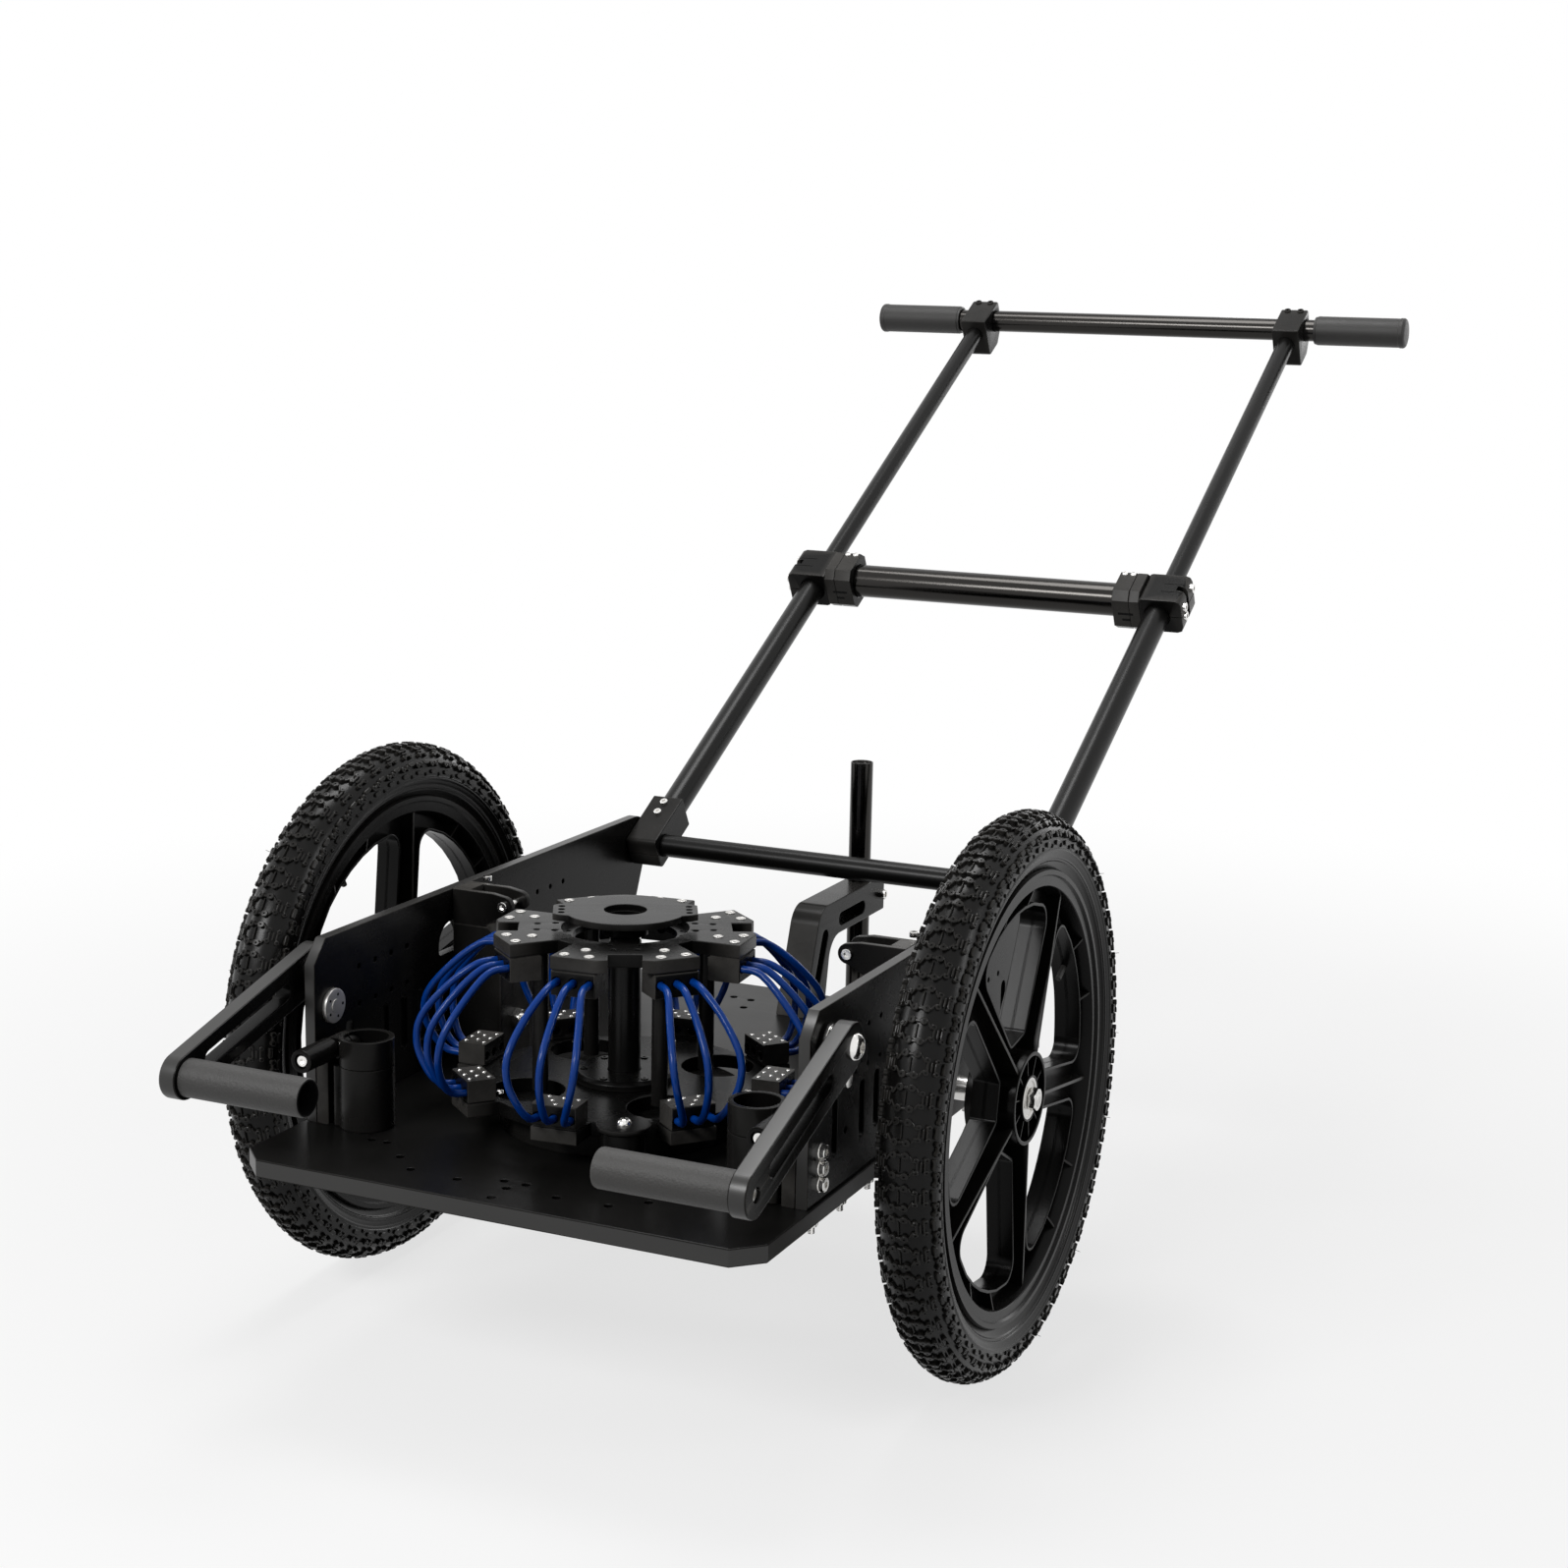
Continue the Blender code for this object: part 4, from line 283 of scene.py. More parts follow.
def turned(bm, profile, axis="Z", centre=(0, 0, 0), steps=ROUND, closed=False, six=None, where=None):
    """Turned solid from (radius, along) points: open profiles end on the axis, closed ones make rings.

    Radii inside the range six are six-sided, for nuts and hexagon sockets.
    """
    swap = AXES[axis]
    start = Vector(centre)
    place = where if where is not None else Matrix.Identity(4)

    def spot(r, h, a):
        if six and six[0] < r < six[1]:
            r *= math.cos(math.pi / 6) / math.cos((a + math.pi / 6) % (math.pi / 3) - math.pi / 6)
        return bm.verts.new(place @ (start + swap @ Vector((r * math.cos(a), r * math.sin(a), h))))

    ring_points = profile if closed else profile[1:-1]
    rows = [[spot(r, h, 2 * math.pi * i / steps) for i in range(steps)] for r, h in ring_points]
    faces = []
    pairs = list(zip(rows, rows[1:]))
    if closed:
        pairs.append((rows[-1], rows[0]))
    for low, high in pairs:
        for i in range(steps):
            j = (i + 1) % steps
            faces.append(bm.faces.new((low[i], low[j], high[j], high[i])))
    if not closed:
        first = spot(0, profile[0][1], 0)
        last = spot(0, profile[-1][1], 0)
        for i in range(steps):
            j = (i + 1) % steps
            faces.append(bm.faces.new((first, rows[0][j], rows[0][i])))
            faces.append(bm.faces.new((last, rows[-1][i], rows[-1][j])))
    bmesh.ops.recalc_face_normals(bm, faces=faces)


def rod(bm, start, stop, radius, axis="Z", centre=(0, 0, 0), edge=FINE_EDGE, steps=ROUND):
    """Solid round bar with rounded ends."""
    profile = [(0, start), (radius, start), (radius, stop), (0, stop)]
    turned(bm, softened(profile, edge), axis, centre, steps)


def pipe(bm, start, stop, radius, bore, axis="Z", centre=(0, 0, 0), edge=FINE_EDGE, steps=ROUND):
    """Open pipe with rounded rims."""
    profile = [(bore, start), (radius, start), (radius, stop), (bore, stop)]
    turned(bm, softened(profile, edge, True), axis, centre, steps, closed=True)


def carved(bm, cutter):
    """bm with the shapes of cutter taken away."""
    objects = []
    for part in (bm, cutter):
        mesh = bpy.data.meshes.new("carving")
        part.to_mesh(mesh)
        part.free()
        obj = bpy.data.objects.new("carving", mesh)
        bpy.context.scene.collection.objects.link(obj)
        objects.append(obj)
    boolean = objects[0].modifiers.new("carve", "BOOLEAN")
    boolean.operation = "DIFFERENCE"
    boolean.solver = "EXACT"
    boolean.use_self = True
    boolean.object = objects[1]
    graph = bpy.context.evaluated_depsgraph_get()
    mesh = bpy.data.meshes.new_from_object(objects[0].evaluated_get(graph))
    result = bmesh.new()
    result.from_mesh(mesh)
    bpy.data.meshes.remove(mesh)
    for obj in objects:
        data = obj.data
        bpy.data.objects.remove(obj)
        bpy.data.meshes.remove(data)
    return result


def aim(place, direction):
    """Matrix that stands a shape's +Z on a place, along a direction."""
    return Matrix.Translation(place) @ Vector(direction).to_track_quat("Z", "Y").to_matrix().to_4x4()


def screw_head(bm, place, direction, socket, profile):
    """Turned head whose socket is a hexagon."""
    turned(bm, profile, steps=24, six=(0, socket * 1.02), where=aim(place, direction))


def button_screw(bm, place, direction, radius, height):
    """Button head with a hexagon socket."""
    socket = radius * 0.46
    screw_head(bm, place, direction, socket,
               [(0, height * 0.3), (socket, height * 0.3), (socket, height), (radius * 0.62, height * 0.95),
                (radius * 0.86, height * 0.68), (radius, height * 0.2), (radius, -LAP), (0, -LAP)])


def cap_screw(bm, place, direction, radius, height):
    """Straight-sided head with a hexagon socket."""
    socket = radius * 0.5
    edge = min(radius, height) * 0.12
    screw_head(bm, place, direction, socket,
               [(0, height * 0.35), (socket, height * 0.35), (socket, height), (radius - edge, height),
                (radius, height - edge), (radius, -LAP), (0, -LAP)])


def flush_screw(bm, place, direction, radius):
    """Countersunk head with a dished face inside a raised rim."""
    socket = radius * 0.42
    floor = -0.001
    rim = 0.0009
    screw_head(bm, place, direction, socket,
               [(0, floor), (socket, floor), (socket, 0.0001), (radius * 0.8, 0.0004), (radius * 0.9, rim),
                (radius, 0.0006), (radius, -LAP), (0, -LAP * 2)])


def hexagon_nut(bm, place, direction, radius, height, bore):
    """Nut standing on a place, with the corners of its outer face eased."""
    profile = [(bore, 0), (radius, 0), (radius, height * 0.85), (radius * 0.9, height), (bore, height)]
    turned(bm, profile, steps=24, closed=True, six=(radius * 0.95, radius * 1.05),
           where=aim(place, direction))


def mark_edge_faces(bm, axis, outside):
    """Marks the outer edge faces of a plate, which is thick along axis, for its second finish: a lighter tone
    that is partly a milled finish and partly painted light on the edge faces.
    """
    bm.normal_update()
    for face in bm.faces:
        if abs(face.normal[axis]) < 0.3 and outside(face.calc_center_median()):
            face.material_index = 1


def lathe(profile, edge, axis="Z", centre=(0, 0, 0), closed=False):
    """New bmesh with one turned solid whose corners are rounded by edge."""
    bm = bmesh.new()
    turned(bm, softened(profile, edge, closed), axis, centre, closed=closed)
    return bm


def piece(name, bm, finish, body, where=CART, nodes=(), trim=None):
    """Turns a bmesh into a finished object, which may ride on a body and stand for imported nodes."""
    mesh = bpy.data.meshes.new(name)
    bm.to_mesh(mesh)
    bm.free()
    mesh.transform(where)
    mesh.shade_smooth()
    mesh.set_sharp_from_angle(angle=SHARP_ANGLE)
    obj = bpy.data.objects.new(name, mesh)
    bpy.context.scene.collection.objects.link(obj)
    mesh.materials.append(FINISHES[finish])
    if trim:
        mesh.materials.append(FINISHES[trim])
    shading = obj.modifiers.new("shading", "WEIGHTED_NORMAL")
    shading.keep_sharp = True
    if body:
        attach(obj, body)
    if nodes:
        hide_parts(*nodes)
    return obj


# Shader groups

BROAD_GRAIN = 0.02
DUST_COLOUR = (0.32, 0.3, 0.28)
UNEVEN = 0.15


def group_tree(name, inputs, outputs):
    """Empty shader node group of plain values; inputs are (name, default) and outputs are names."""
    tree = bpy.data.node_groups.new(name, "ShaderNodeTree")
    for label, default in inputs:
        socket = tree.interface.new_socket(name=label, in_out="INPUT", socket_type="NodeSocketFloat")
        socket.default_value = default
    for label in outputs:
        tree.interface.new_socket(name=label, in_out="OUTPUT", socket_type="NodeSocketFloat")
    return tree, tree.nodes.new("NodeGroupInput"), tree.nodes.new("NodeGroupOutput")


def node(tree, kind, **values):
    """New node; values are its settings, or its input sockets where the name starts with in_."""
    made = tree.nodes.new(kind)
    for key, value in values.items():
        if key.startswith("in_"):
            made.inputs[key[3:].replace("_", " ")].default_value = value
        else:
            setattr(made, key, value)
    return made


def math_node(tree, operation, a, b):
    """Output of a math node over two numbers or sockets."""
    made = tree.nodes.new("ShaderNodeMath")
    made.operation = operation
    for socket, value in zip(made.inputs, (a, b)):
        if isinstance(value, (int, float)):
            socket.default_value = value
        else:
            tree.links.new(value, socket)
    return made.outputs[0]


def noise(tree, scale, **values):
    """Noise over a piece's own coordinates, at a linked scale."""
    place = node(tree, "ShaderNodeTexCoord")
    made = node(tree, "ShaderNodeTexNoise", **values)
    tree.links.new(place.outputs["Object"], made.inputs["Vector"])
    tree.links.new(scale, made.inputs["Scale"])
    return made.outputs["Fac"]


def grain_group():
    """Fine surface grain: a height for bump and an even tone round one half."""
    tree, start, end = group_tree("surface_grain", (("Scale", 900.0),), ("Height", "Tone"))
    fine = noise(tree, start.outputs["Scale"], in_Detail=3.0, in_Roughness=0.6)
    tree.links.new(fine, end.inputs["Height"])
    broad_scale = math_node(tree, "MULTIPLY", start.outputs["Scale"], BROAD_GRAIN)
    broad = noise(tree, broad_scale, in_Detail=4.0, in_Roughness=0.55)
    tree.links.new(broad, end.inputs["Tone"])
    return tree


def wear_and_sheen_group():
    """Mask of rubbed edges, broken up by noise; on the anodised finishes its lighter tone is also a painted
    edge highlight.
    """
    tree, start, end = group_tree("edge_wear_and_sheen", (("Reach", 0.5), ("Patchiness", 30.0)), ("Mask",))
    shape = node(tree, "ShaderNodeNewGeometry")
    edge = node(tree, "ShaderNodeMapRange", clamp=True, in_From_Max=0.62, in_To_Max=1.0)
    tree.links.new(shape.outputs["Pointiness"], edge.inputs["Value"])
    tree.links.new(start.outputs["Reach"], edge.inputs["From Min"])
    patches = noise(tree, start.outputs["Patchiness"], in_Detail=5.0)
    tree.links.new(math_node(tree, "MULTIPLY", edge.outputs[0], patches), end.inputs["Mask"])
    return tree


def dust_group():
    """Mask of dust that settles on faces that look up."""
    tree, start, end = group_tree("settled_dust", (("Amount", 0.3), ("Scale", 40.0)), ("Mask",))
    shape = node(tree, "ShaderNodeNewGeometry")
    parts = node(tree, "ShaderNodeSeparateXYZ")
    tree.links.new(shape.outputs["Normal"], parts.inputs[0])
    up = node(tree, "ShaderNodeMapRange", clamp=True, in_From_Min=0.5, in_From_Max=1.0)
    tree.links.new(parts.outputs["Z"], up.inputs["Value"])
    patches = noise(tree, start.outputs["Scale"], in_Detail=6.0, in_Roughness=0.7)
    spread = math_node(tree, "MULTIPLY", up.outputs[0], patches)
    tree.links.new(math_node(tree, "MULTIPLY", spread, start.outputs["Amount"]), end.inputs["Mask"])
    return tree


GRAIN = grain_group()
WEAR_AND_SHEEN = wear_and_sheen_group()
DUST = dust_group()


# Finishes

def mixed(tree, low, high, factor):
    """Colour between low and high by a factor socket; either end may be a colour or a socket."""
    blend = node(tree, "ShaderNodeMix", data_type="RGBA")
    for socket, value in zip((blend.inputs[6], blend.inputs[7]), (low, high)):
        if isinstance(value, tuple):
            socket.default_value = (*value, 1)
        else:
            tree.links.new(value, socket)
    tree.links.new(factor, blend.inputs[0])
    return blend.outputs[2]


def principled(name):
    """New material, with its node tree and its shader."""
    material = bpy.data.materials.new(name)
    material.use_nodes = True
    return material, material.node_tree, material.node_tree.nodes["Principled BSDF"]


def placed_group(tree, source, **values):
    """Shader group set in a material, with its inputs."""
    made = tree.nodes.new("ShaderNodeGroup")
    made.node_tree = source
    for label, value in values.items():
        made.inputs[label].default_value = value
    return made


def finish(name, dark, light, rough, metal=0.0, grain=900.0, depth=0.02, edge_tone=None, wear=0.5, dust=0.0,
           specular=0.5, bump=0.0002):
    """Principled finish with tone variation, fine grain, and where asked lighter rubbed edges, which on the
    anodised finishes also stand for a painted edge highlight, and dust.
    """
    material, tree, shader = principled(name)
    grain_node = placed_group(tree, GRAIN, Scale=grain)
    colour = mixed(tree, dark, light, grain_node.outputs["Tone"])
    # Lighter tone on pointed edges: rubbed wear, and on the anodised finishes a painted edge highlight.
    if edge_tone:
        wear_and_sheen_mask = placed_group(tree, WEAR_AND_SHEEN, Reach=wear)
        colour = mixed(tree, colour, edge_tone, wear_and_sheen_mask.outputs["Mask"])
    if dust:
        settled = placed_group(tree, DUST, Amount=dust)
        colour = mixed(tree, colour, DUST_COLOUR, settled.outputs["Mask"])
    tree.links.new(colour, shader.inputs["Base Color"])
    spread = node(tree, "ShaderNodeMapRange", in_To_Min=rough * (1 - UNEVEN), in_To_Max=rough * (1 + UNEVEN))
    tree.links.new(grain_node.outputs["Tone"], spread.inputs["Value"])
    tree.links.new(spread.outputs[0], shader.inputs["Roughness"])
    relief = node(tree, "ShaderNodeBump", in_Strength=depth, in_Distance=bump)
    tree.links.new(grain_node.outputs["Height"], relief.inputs["Height"])
    tree.links.new(relief.outputs[0], shader.inputs["Normal"])
    shader.inputs["Metallic"].default_value = metal
    shader.inputs["Specular IOR Level"].default_value = specular
    return material


def sleeve_finish(name):
    """Glossy blue sleeve with painted shade in the grooves between the strands under it, darker where the
    surface is less pointed.
    """
    material, tree, shader = principled(name)
    shape = node(tree, "ShaderNodeNewGeometry")
    shade_in_grooves = node(tree, "ShaderNodeMapRange", clamp=True, in_From_Min=0.46, in_From_Max=0.54)
    tree.links.new(shape.outputs["Pointiness"], shade_in_grooves.inputs["Value"])
    # Painted shade: the blue is darker in the grooves between strands and keeps its own colour on the ridges.
    tree.links.new(mixed(tree, BLUE_GROOVE_SHADE, BLUE_ON_RIDGES, shade_in_grooves.outputs[0]), shader.inputs["Base Color"])
    shader.inputs["Roughness"].default_value = 0.3
    shader.inputs["Specular IOR Level"].default_value = 0.1
    shader.inputs["Coat Weight"].default_value = 0.18
    shader.inputs["Coat Roughness"].default_value = 0.05
    return material


BLACK = (0.0036, 0.0035, 0.0033)
BLACK_LIGHT = (0.0062, 0.0060, 0.0057)
# Lighter edge tone of the anodised parts: rubbed wear and a painted edge highlight.
RUBBED_AND_SHEEN = (0.12, 0.114, 0.106)
# Blue of the sleeve: the darker one is painted shade in the grooves, the lighter one its colour on the
# ridges.
BLUE_GROOVE_SHADE = (0.0005, 0.014, 0.1)
BLUE_ON_RIDGES = (0.001, 0.056, 0.34)

# Each finish with the record's slot, its dark and light tones, its roughness and its other settings
LOOKS = {
    "black_anodised": ("anodised", BLACK, BLACK_LIGHT, 0.27,
                       {"grain": 1400.0, "depth": 0.1, "edge_tone": RUBBED_AND_SHEEN, "wear": 0.53, "specular": 0.1}),
    "deck_anodised": ("anodised", BLACK, BLACK_LIGHT, 0.31,
                      {"depth": 0.16, "edge_tone": RUBBED_AND_SHEEN, "wear": 0.53, "dust": 0.01, "specular": 0.1}),
    # Lighter edge faces: partly a milled finish, partly painted light on edges that face the lamps.
    "milled_and_lit_edge": ("anodised", (0.012, 0.0116, 0.011), (0.032, 0.031, 0.0295), 0.36,
                    {"grain": 260.0, "depth": 0.12}),
    "satin_black_tube": ("gloss_tube", BLACK, BLACK_LIGHT, 0.28, {"grain": 500.0, "specular": 0.18}),
    "gloss_black_tube": ("gloss_tube", (0.03, 0.0287, 0.027), (0.04, 0.0382, 0.0365), 0.16,
                         {"metal": 1.0, "grain": 60.0, "depth": 0.0}),
    "moulded_black": ("moulded", (0.003, 0.0029, 0.0028), (0.005, 0.0048, 0.0046), 0.25,
                      {"grain": 700.0, "depth": 0.16, "edge_tone": (0.06, 0.057, 0.053), "wear": 0.53,
                       "specular": 0.11}),
    "tyre_rubber": ("tyre", (0.0035, 0.0033, 0.0031), (0.0075, 0.0072, 0.0068), 0.25,
                    {"grain": 1100.0, "depth": 0.2, "edge_tone": (0.05, 0.047, 0.043), "wear": 0.52,
                     "dust": 0.015, "specular": 0.16}),
    "grip_rubber": ("rubber", (0.016, 0.0152, 0.0145), (0.026, 0.025, 0.0238), 0.5,
                    {"grain": 2200.0, "depth": 0.5, "specular": 0.45}),
    "grip_foam": ("moulded", (0.0025, 0.0024, 0.0022), (0.04, 0.038, 0.0355), 0.55,
                  {"grain": 420.0, "depth": 1.0, "specular": 0.6, "bump": 0.0006}),
    "turned_steel": ("steel", (0.62, 0.61, 0.59), (0.78, 0.77, 0.75), 0.2,
                     {"metal": 1.0, "grain": 500.0, "depth": 0.1}),
    "satin_steel": ("steel", (0.5, 0.49, 0.475), (0.66, 0.65, 0.63), 0.42,
                    {"metal": 1.0, "grain": 500.0, "depth": 0.1}),
    "bright_screw": ("steel", (0.72, 0.71, 0.69), (0.9, 0.89, 0.87), 0.16, {"metal": 1.0, "depth": 0.06}),
    # Near-black finish of painted shade, laid where holes, notches and bores would be dark inside.
    "painted_bore_shade": ("moulded", (0.0015, 0.0015, 0.0015), (0.0025, 0.0025, 0.0025), 0.6,
                  {"depth": 0.1, "specular": 0.1}),
}
FINISHES = {name: finish(name, *look[1:4], **look[4]) for name, look in LOOKS.items()}
FINISHES["blue_sleeve"] = sleeve_finish("blue_sleeve")
SLOTS = {name: look[0] for name, look in LOOKS.items()}
SLOTS["blue_sleeve"] = "rope"


# Wheels, each in a frame on its axle with +X pointing out

TYRE_MID_R = 0.2262
TYRE_RISE = 0.0253
TYRE_HALF_W = 0.0262
CROWN_ARC = 0.0258
PITCHES = 58
PITCH = 2 * math.pi * (TYRE_MID_R + TYRE_RISE) / PITCHES
RIM_R = 0.2045
RIM_IN_R = 0.184
RIM_HALF_W = 0.019
SPOKES = 5
FIRST_SPOKE = {"left": 24.0, "right": 61.6}
SPOKE_HALF_W = 0.019
SPOKE_RIB_T = 0.0032
WEB_T = 0.004
WINDOW_R = 0.171
WINDOW_INNER_R = 0.058
WINDOW_ROUND = 0.016
WINDOW_WALL = 0.003
WINDOW_HALF_W = 0.0125
HUB_R = 0.042
HUB_HALF_W = 0.0235
HUB_WALL = 0.004
BOSS_R = 0.0208
RACE_R = 0.0188
AXLE_R = 0.006
AXLE_END = 0.0315
WHISKERS = 14
HUB_RIBS = 10
VALVE_AT = {"left": -31.0, "right": -61.7}
RIM_LIP_R = RIM_IN_R + 0.005
SPOKE_RIB_HUB = 0.0215
SPOKE_RIB_RIM = 0.0148
GUSSET_LEAN = 10
GUSSET_HALF_T = 0.0012
VANE_HALF_T = 0.0007
NUT_R = 0.0108
SHOULDER_R = 0.011
HUB_PLAY = 0.0004
BLOCK_EDGE = 0.0005
PIT_DEPTH = 0.0012
BAR_RISE = 0.0028
STUD_RISE = 0.0032
SHOULDER_RISE = 0.0034
CROWN_RISE = 0.0035


def on_tyre(s, t, h):
    """Point at s along the tyre, t across its crown and h above its carcass."""
    lean = t / CROWN_ARC
    r = TYRE_MID_R + (TYRE_RISE + h) * math.cos(lean)
    a = s / (TYRE_MID_R + TYRE_RISE)
    return Vector(((TYRE_HALF_W + h) * math.sin(lean), r * math.cos(a), r * math.sin(a)))


def rubber_block(bm, outline, height, pit=0.0):
    """Moulded block on the tyre over an outline of (along, across) points, with an optional pin hole."""
    rings = [(-0.001, outline), (height - BLOCK_EDGE, outline), (height, offset(outline, -BLOCK_EDGE))]
    if pit:
        middle_s = sum(s for s, t in outline) / len(outline)
        middle_t = sum(t for s, t in outline) / len(outline)
        hole = circle((middle_s, middle_t), pit, len(outline))
        rings += [(height, hole), (height - PIT_DEPTH, hole)]
    rows = [[bm.verts.new(on_tyre(s, t, h)) for s, t in loop] for h, loop in rings]
    count = len(outline)
    faces = [bm.faces.new(list(reversed(rows[0]))), bm.faces.new(rows[-1])]
    for low, high in zip(rows, rows[1:]):
        for i in range(count):
            j = (i + 1) % count
            faces.append(bm.faces.new((low[i], low[j], high[j], high[i])))
    bmesh.ops.recalc_face_normals(bm, faces=faces)


def shoulder_blocks():
    """Blocks of one repeat beside the crown, as (outline, height, pin hole)."""
    row = 0.19 * PITCH
    half = PITCH / 2
    blocks = []
    for way in (-1, 1):
        stud_s = half + way * 0.0052
        blocks += [(slot((way * row, 0.0078), (way * 2 * row, 0.0112), 0.0008, 2), 0.0024, 0),
                   (circle((stud_s, 0.0128), 0.0023, 10), STUD_RISE, 0.0007),
                   (circle((stud_s, 0.0212), 0.0023, 10), STUD_RISE, 0.0007),
                   (circle((way * 0.0042, 0.0312), 0.0028, 10), SHOULDER_RISE, 0.0008)]
    for t in (0.0138, 0.0170, 0.0202):
        blocks.append((slot((half - 0.0032, t), (half + 0.0032, t), 0.0009, 2), BAR_RISE, 0))
    blocks += [(slot((-0.003, 0.0312), (0.003, 0.0312), 0.0011, 2), BAR_RISE, 0),
               (slot((-0.0032, 0.0385), (0.0032, 0.0385), 0.0022, 3), 0.0018, 0),
               (circle((half, 0.0408), 0.0018, 8), 0.0014, 0.0006),
               (slot((half - 0.0035, 0.029), (half + 0.0035, 0.029), 0.0018, 3), BAR_RISE, 0)]
    return blocks


def tread_pitch(bm):
    """One repeat of the tread: stud pairs on the crown, fingers beside them, studs on the shoulders."""
    row = 0.19 * PITCH
    for s in (-row, row):
        rubber_block(bm, slot((s, -0.004), (s, 0.004), 0.0011, 3), BAR_RISE)
        for t in (-0.0046, 0.0046):
            rubber_block(bm, circle((s, t), 0.0031, 12), CROWN_RISE, 0.0008)
    rubber_block(bm, slot((0.3 * PITCH, 0), (0.7 * PITCH, 0), 0.0006, 2), 0.0022)
    for outline, height, pit in shoulder_blocks():
        rubber_block(bm, [(s, -t) for s, t in reversed(outline)], height, pit)
        rubber_block(bm, outline, height, pit)


def tyre_section():
    """Closed section of the carcass with fine rings on its sidewalls."""
    rings = (96, 101, 118, 123)
    outer = []
    for lean in range(-130, 131, 2):
        rise = 0.0006 if any(abs(abs(lean) - ring) < 1.5 for ring in rings) else 0
        a = math.radians(lean)
        outer.append((TYRE_MID_R + (TYRE_RISE + rise) * math.cos(a), (TYRE_HALF_W + rise) * math.sin(a)))
    foot = RIM_R + 0.0004
    return [(foot, -0.0176)] + outer + [(foot, 0.0176)]


def whisker(bm, k, sign):
    """Thin moulding hair on the sidewall; its place, lean and length vary along the tyre."""
    a = k * 2 * math.pi / WHISKERS + 0.11 * math.sin(5 * k)
    lean = math.radians(72 + 9 * math.sin(3 * k + sign))
    out = Vector((math.sin(lean), math.cos(lean) * math.cos(a), math.cos(lean) * math.sin(a)))
    r = TYRE_MID_R + TYRE_RISE * math.cos(lean)
    root = Vector((TYRE_HALF_W * math.sin(lean), r * math.cos(a), r * math.sin(a)))
    length = 0.006 + 0.002 * math.sin(7 * k)
    profile = [(0, -0.001), (0.00035, -0.001), (0.0002, length), (0, length)]
    turned(bm, profile, steps=5, where=aim(root, out))


def tyre(side, sign):
    """Carcass with its tread all round and a few whiskers."""
    bm = bmesh.new()
    tread_pitch(bm)
    whole = bm.verts[:] + bm.edges[:] + bm.faces[:]
    bmesh.ops.spin(bm, geom=whole, cent=(0, 0, 0), axis=(1, 0, 0), steps=PITCHES - 1,
                   angle=2 * math.pi * (PITCHES - 1) / PITCHES, use_duplicate=True)
    turned(bm, tyre_section(), "X", steps=2 * PITCHES, closed=True)
    for k in range(WHISKERS):
        whisker(bm, k, sign)
    piece(f"tyre_tread_{side}", bm, "tyre_rubber", f"road_wheel_{side}", wheel_place(sign), [f"tyre_{side}"])


def window_outline():
    """One opening between two spokes, about the direction midway between them."""
    half = math.pi / SPOKES
    wide = half - math.asin(SPOKE_HALF_W / WINDOW_R)
    rim_side = [(WINDOW_R * math.cos(a), WINDOW_R * math.sin(a)) for a in
                [wide * k / 4 for k in range(-4, 5)]]
    narrow = half - math.asin(SPOKE_HALF_W / WINDOW_INNER_R)
    x = WINDOW_INNER_R * math.cos(narrow)
    y = WINDOW_INNER_R * math.sin(narrow)
    corners = [(*rim_side[0], WINDOW_ROUND)] + [(u, v, 0) for u, v in rim_side[2:-2]]
    corners += [(*rim_side[-1], WINDOW_ROUND), (x, y, 0.004), (x, -y, 0.004)]
    return rounded(corners, 8)


def rim_section():
    """Closed section of the rim, with a raised lip at both edges and a ridge inside."""
    half = RIM_HALF_W
    edge = [(RIM_IN_R + 0.004, -half + 0.001), (RIM_LIP_R, -half), (0.1975, -half),
            (0.199, -half - 0.0022), (0.2032, -half - 0.0022), (RIM_R, -half + 0.001)]
    return edge + [(r, -h) for r, h in reversed(edge)] + [(RIM_IN_R, 0.002), (RIM_IN_R, -0.002)]


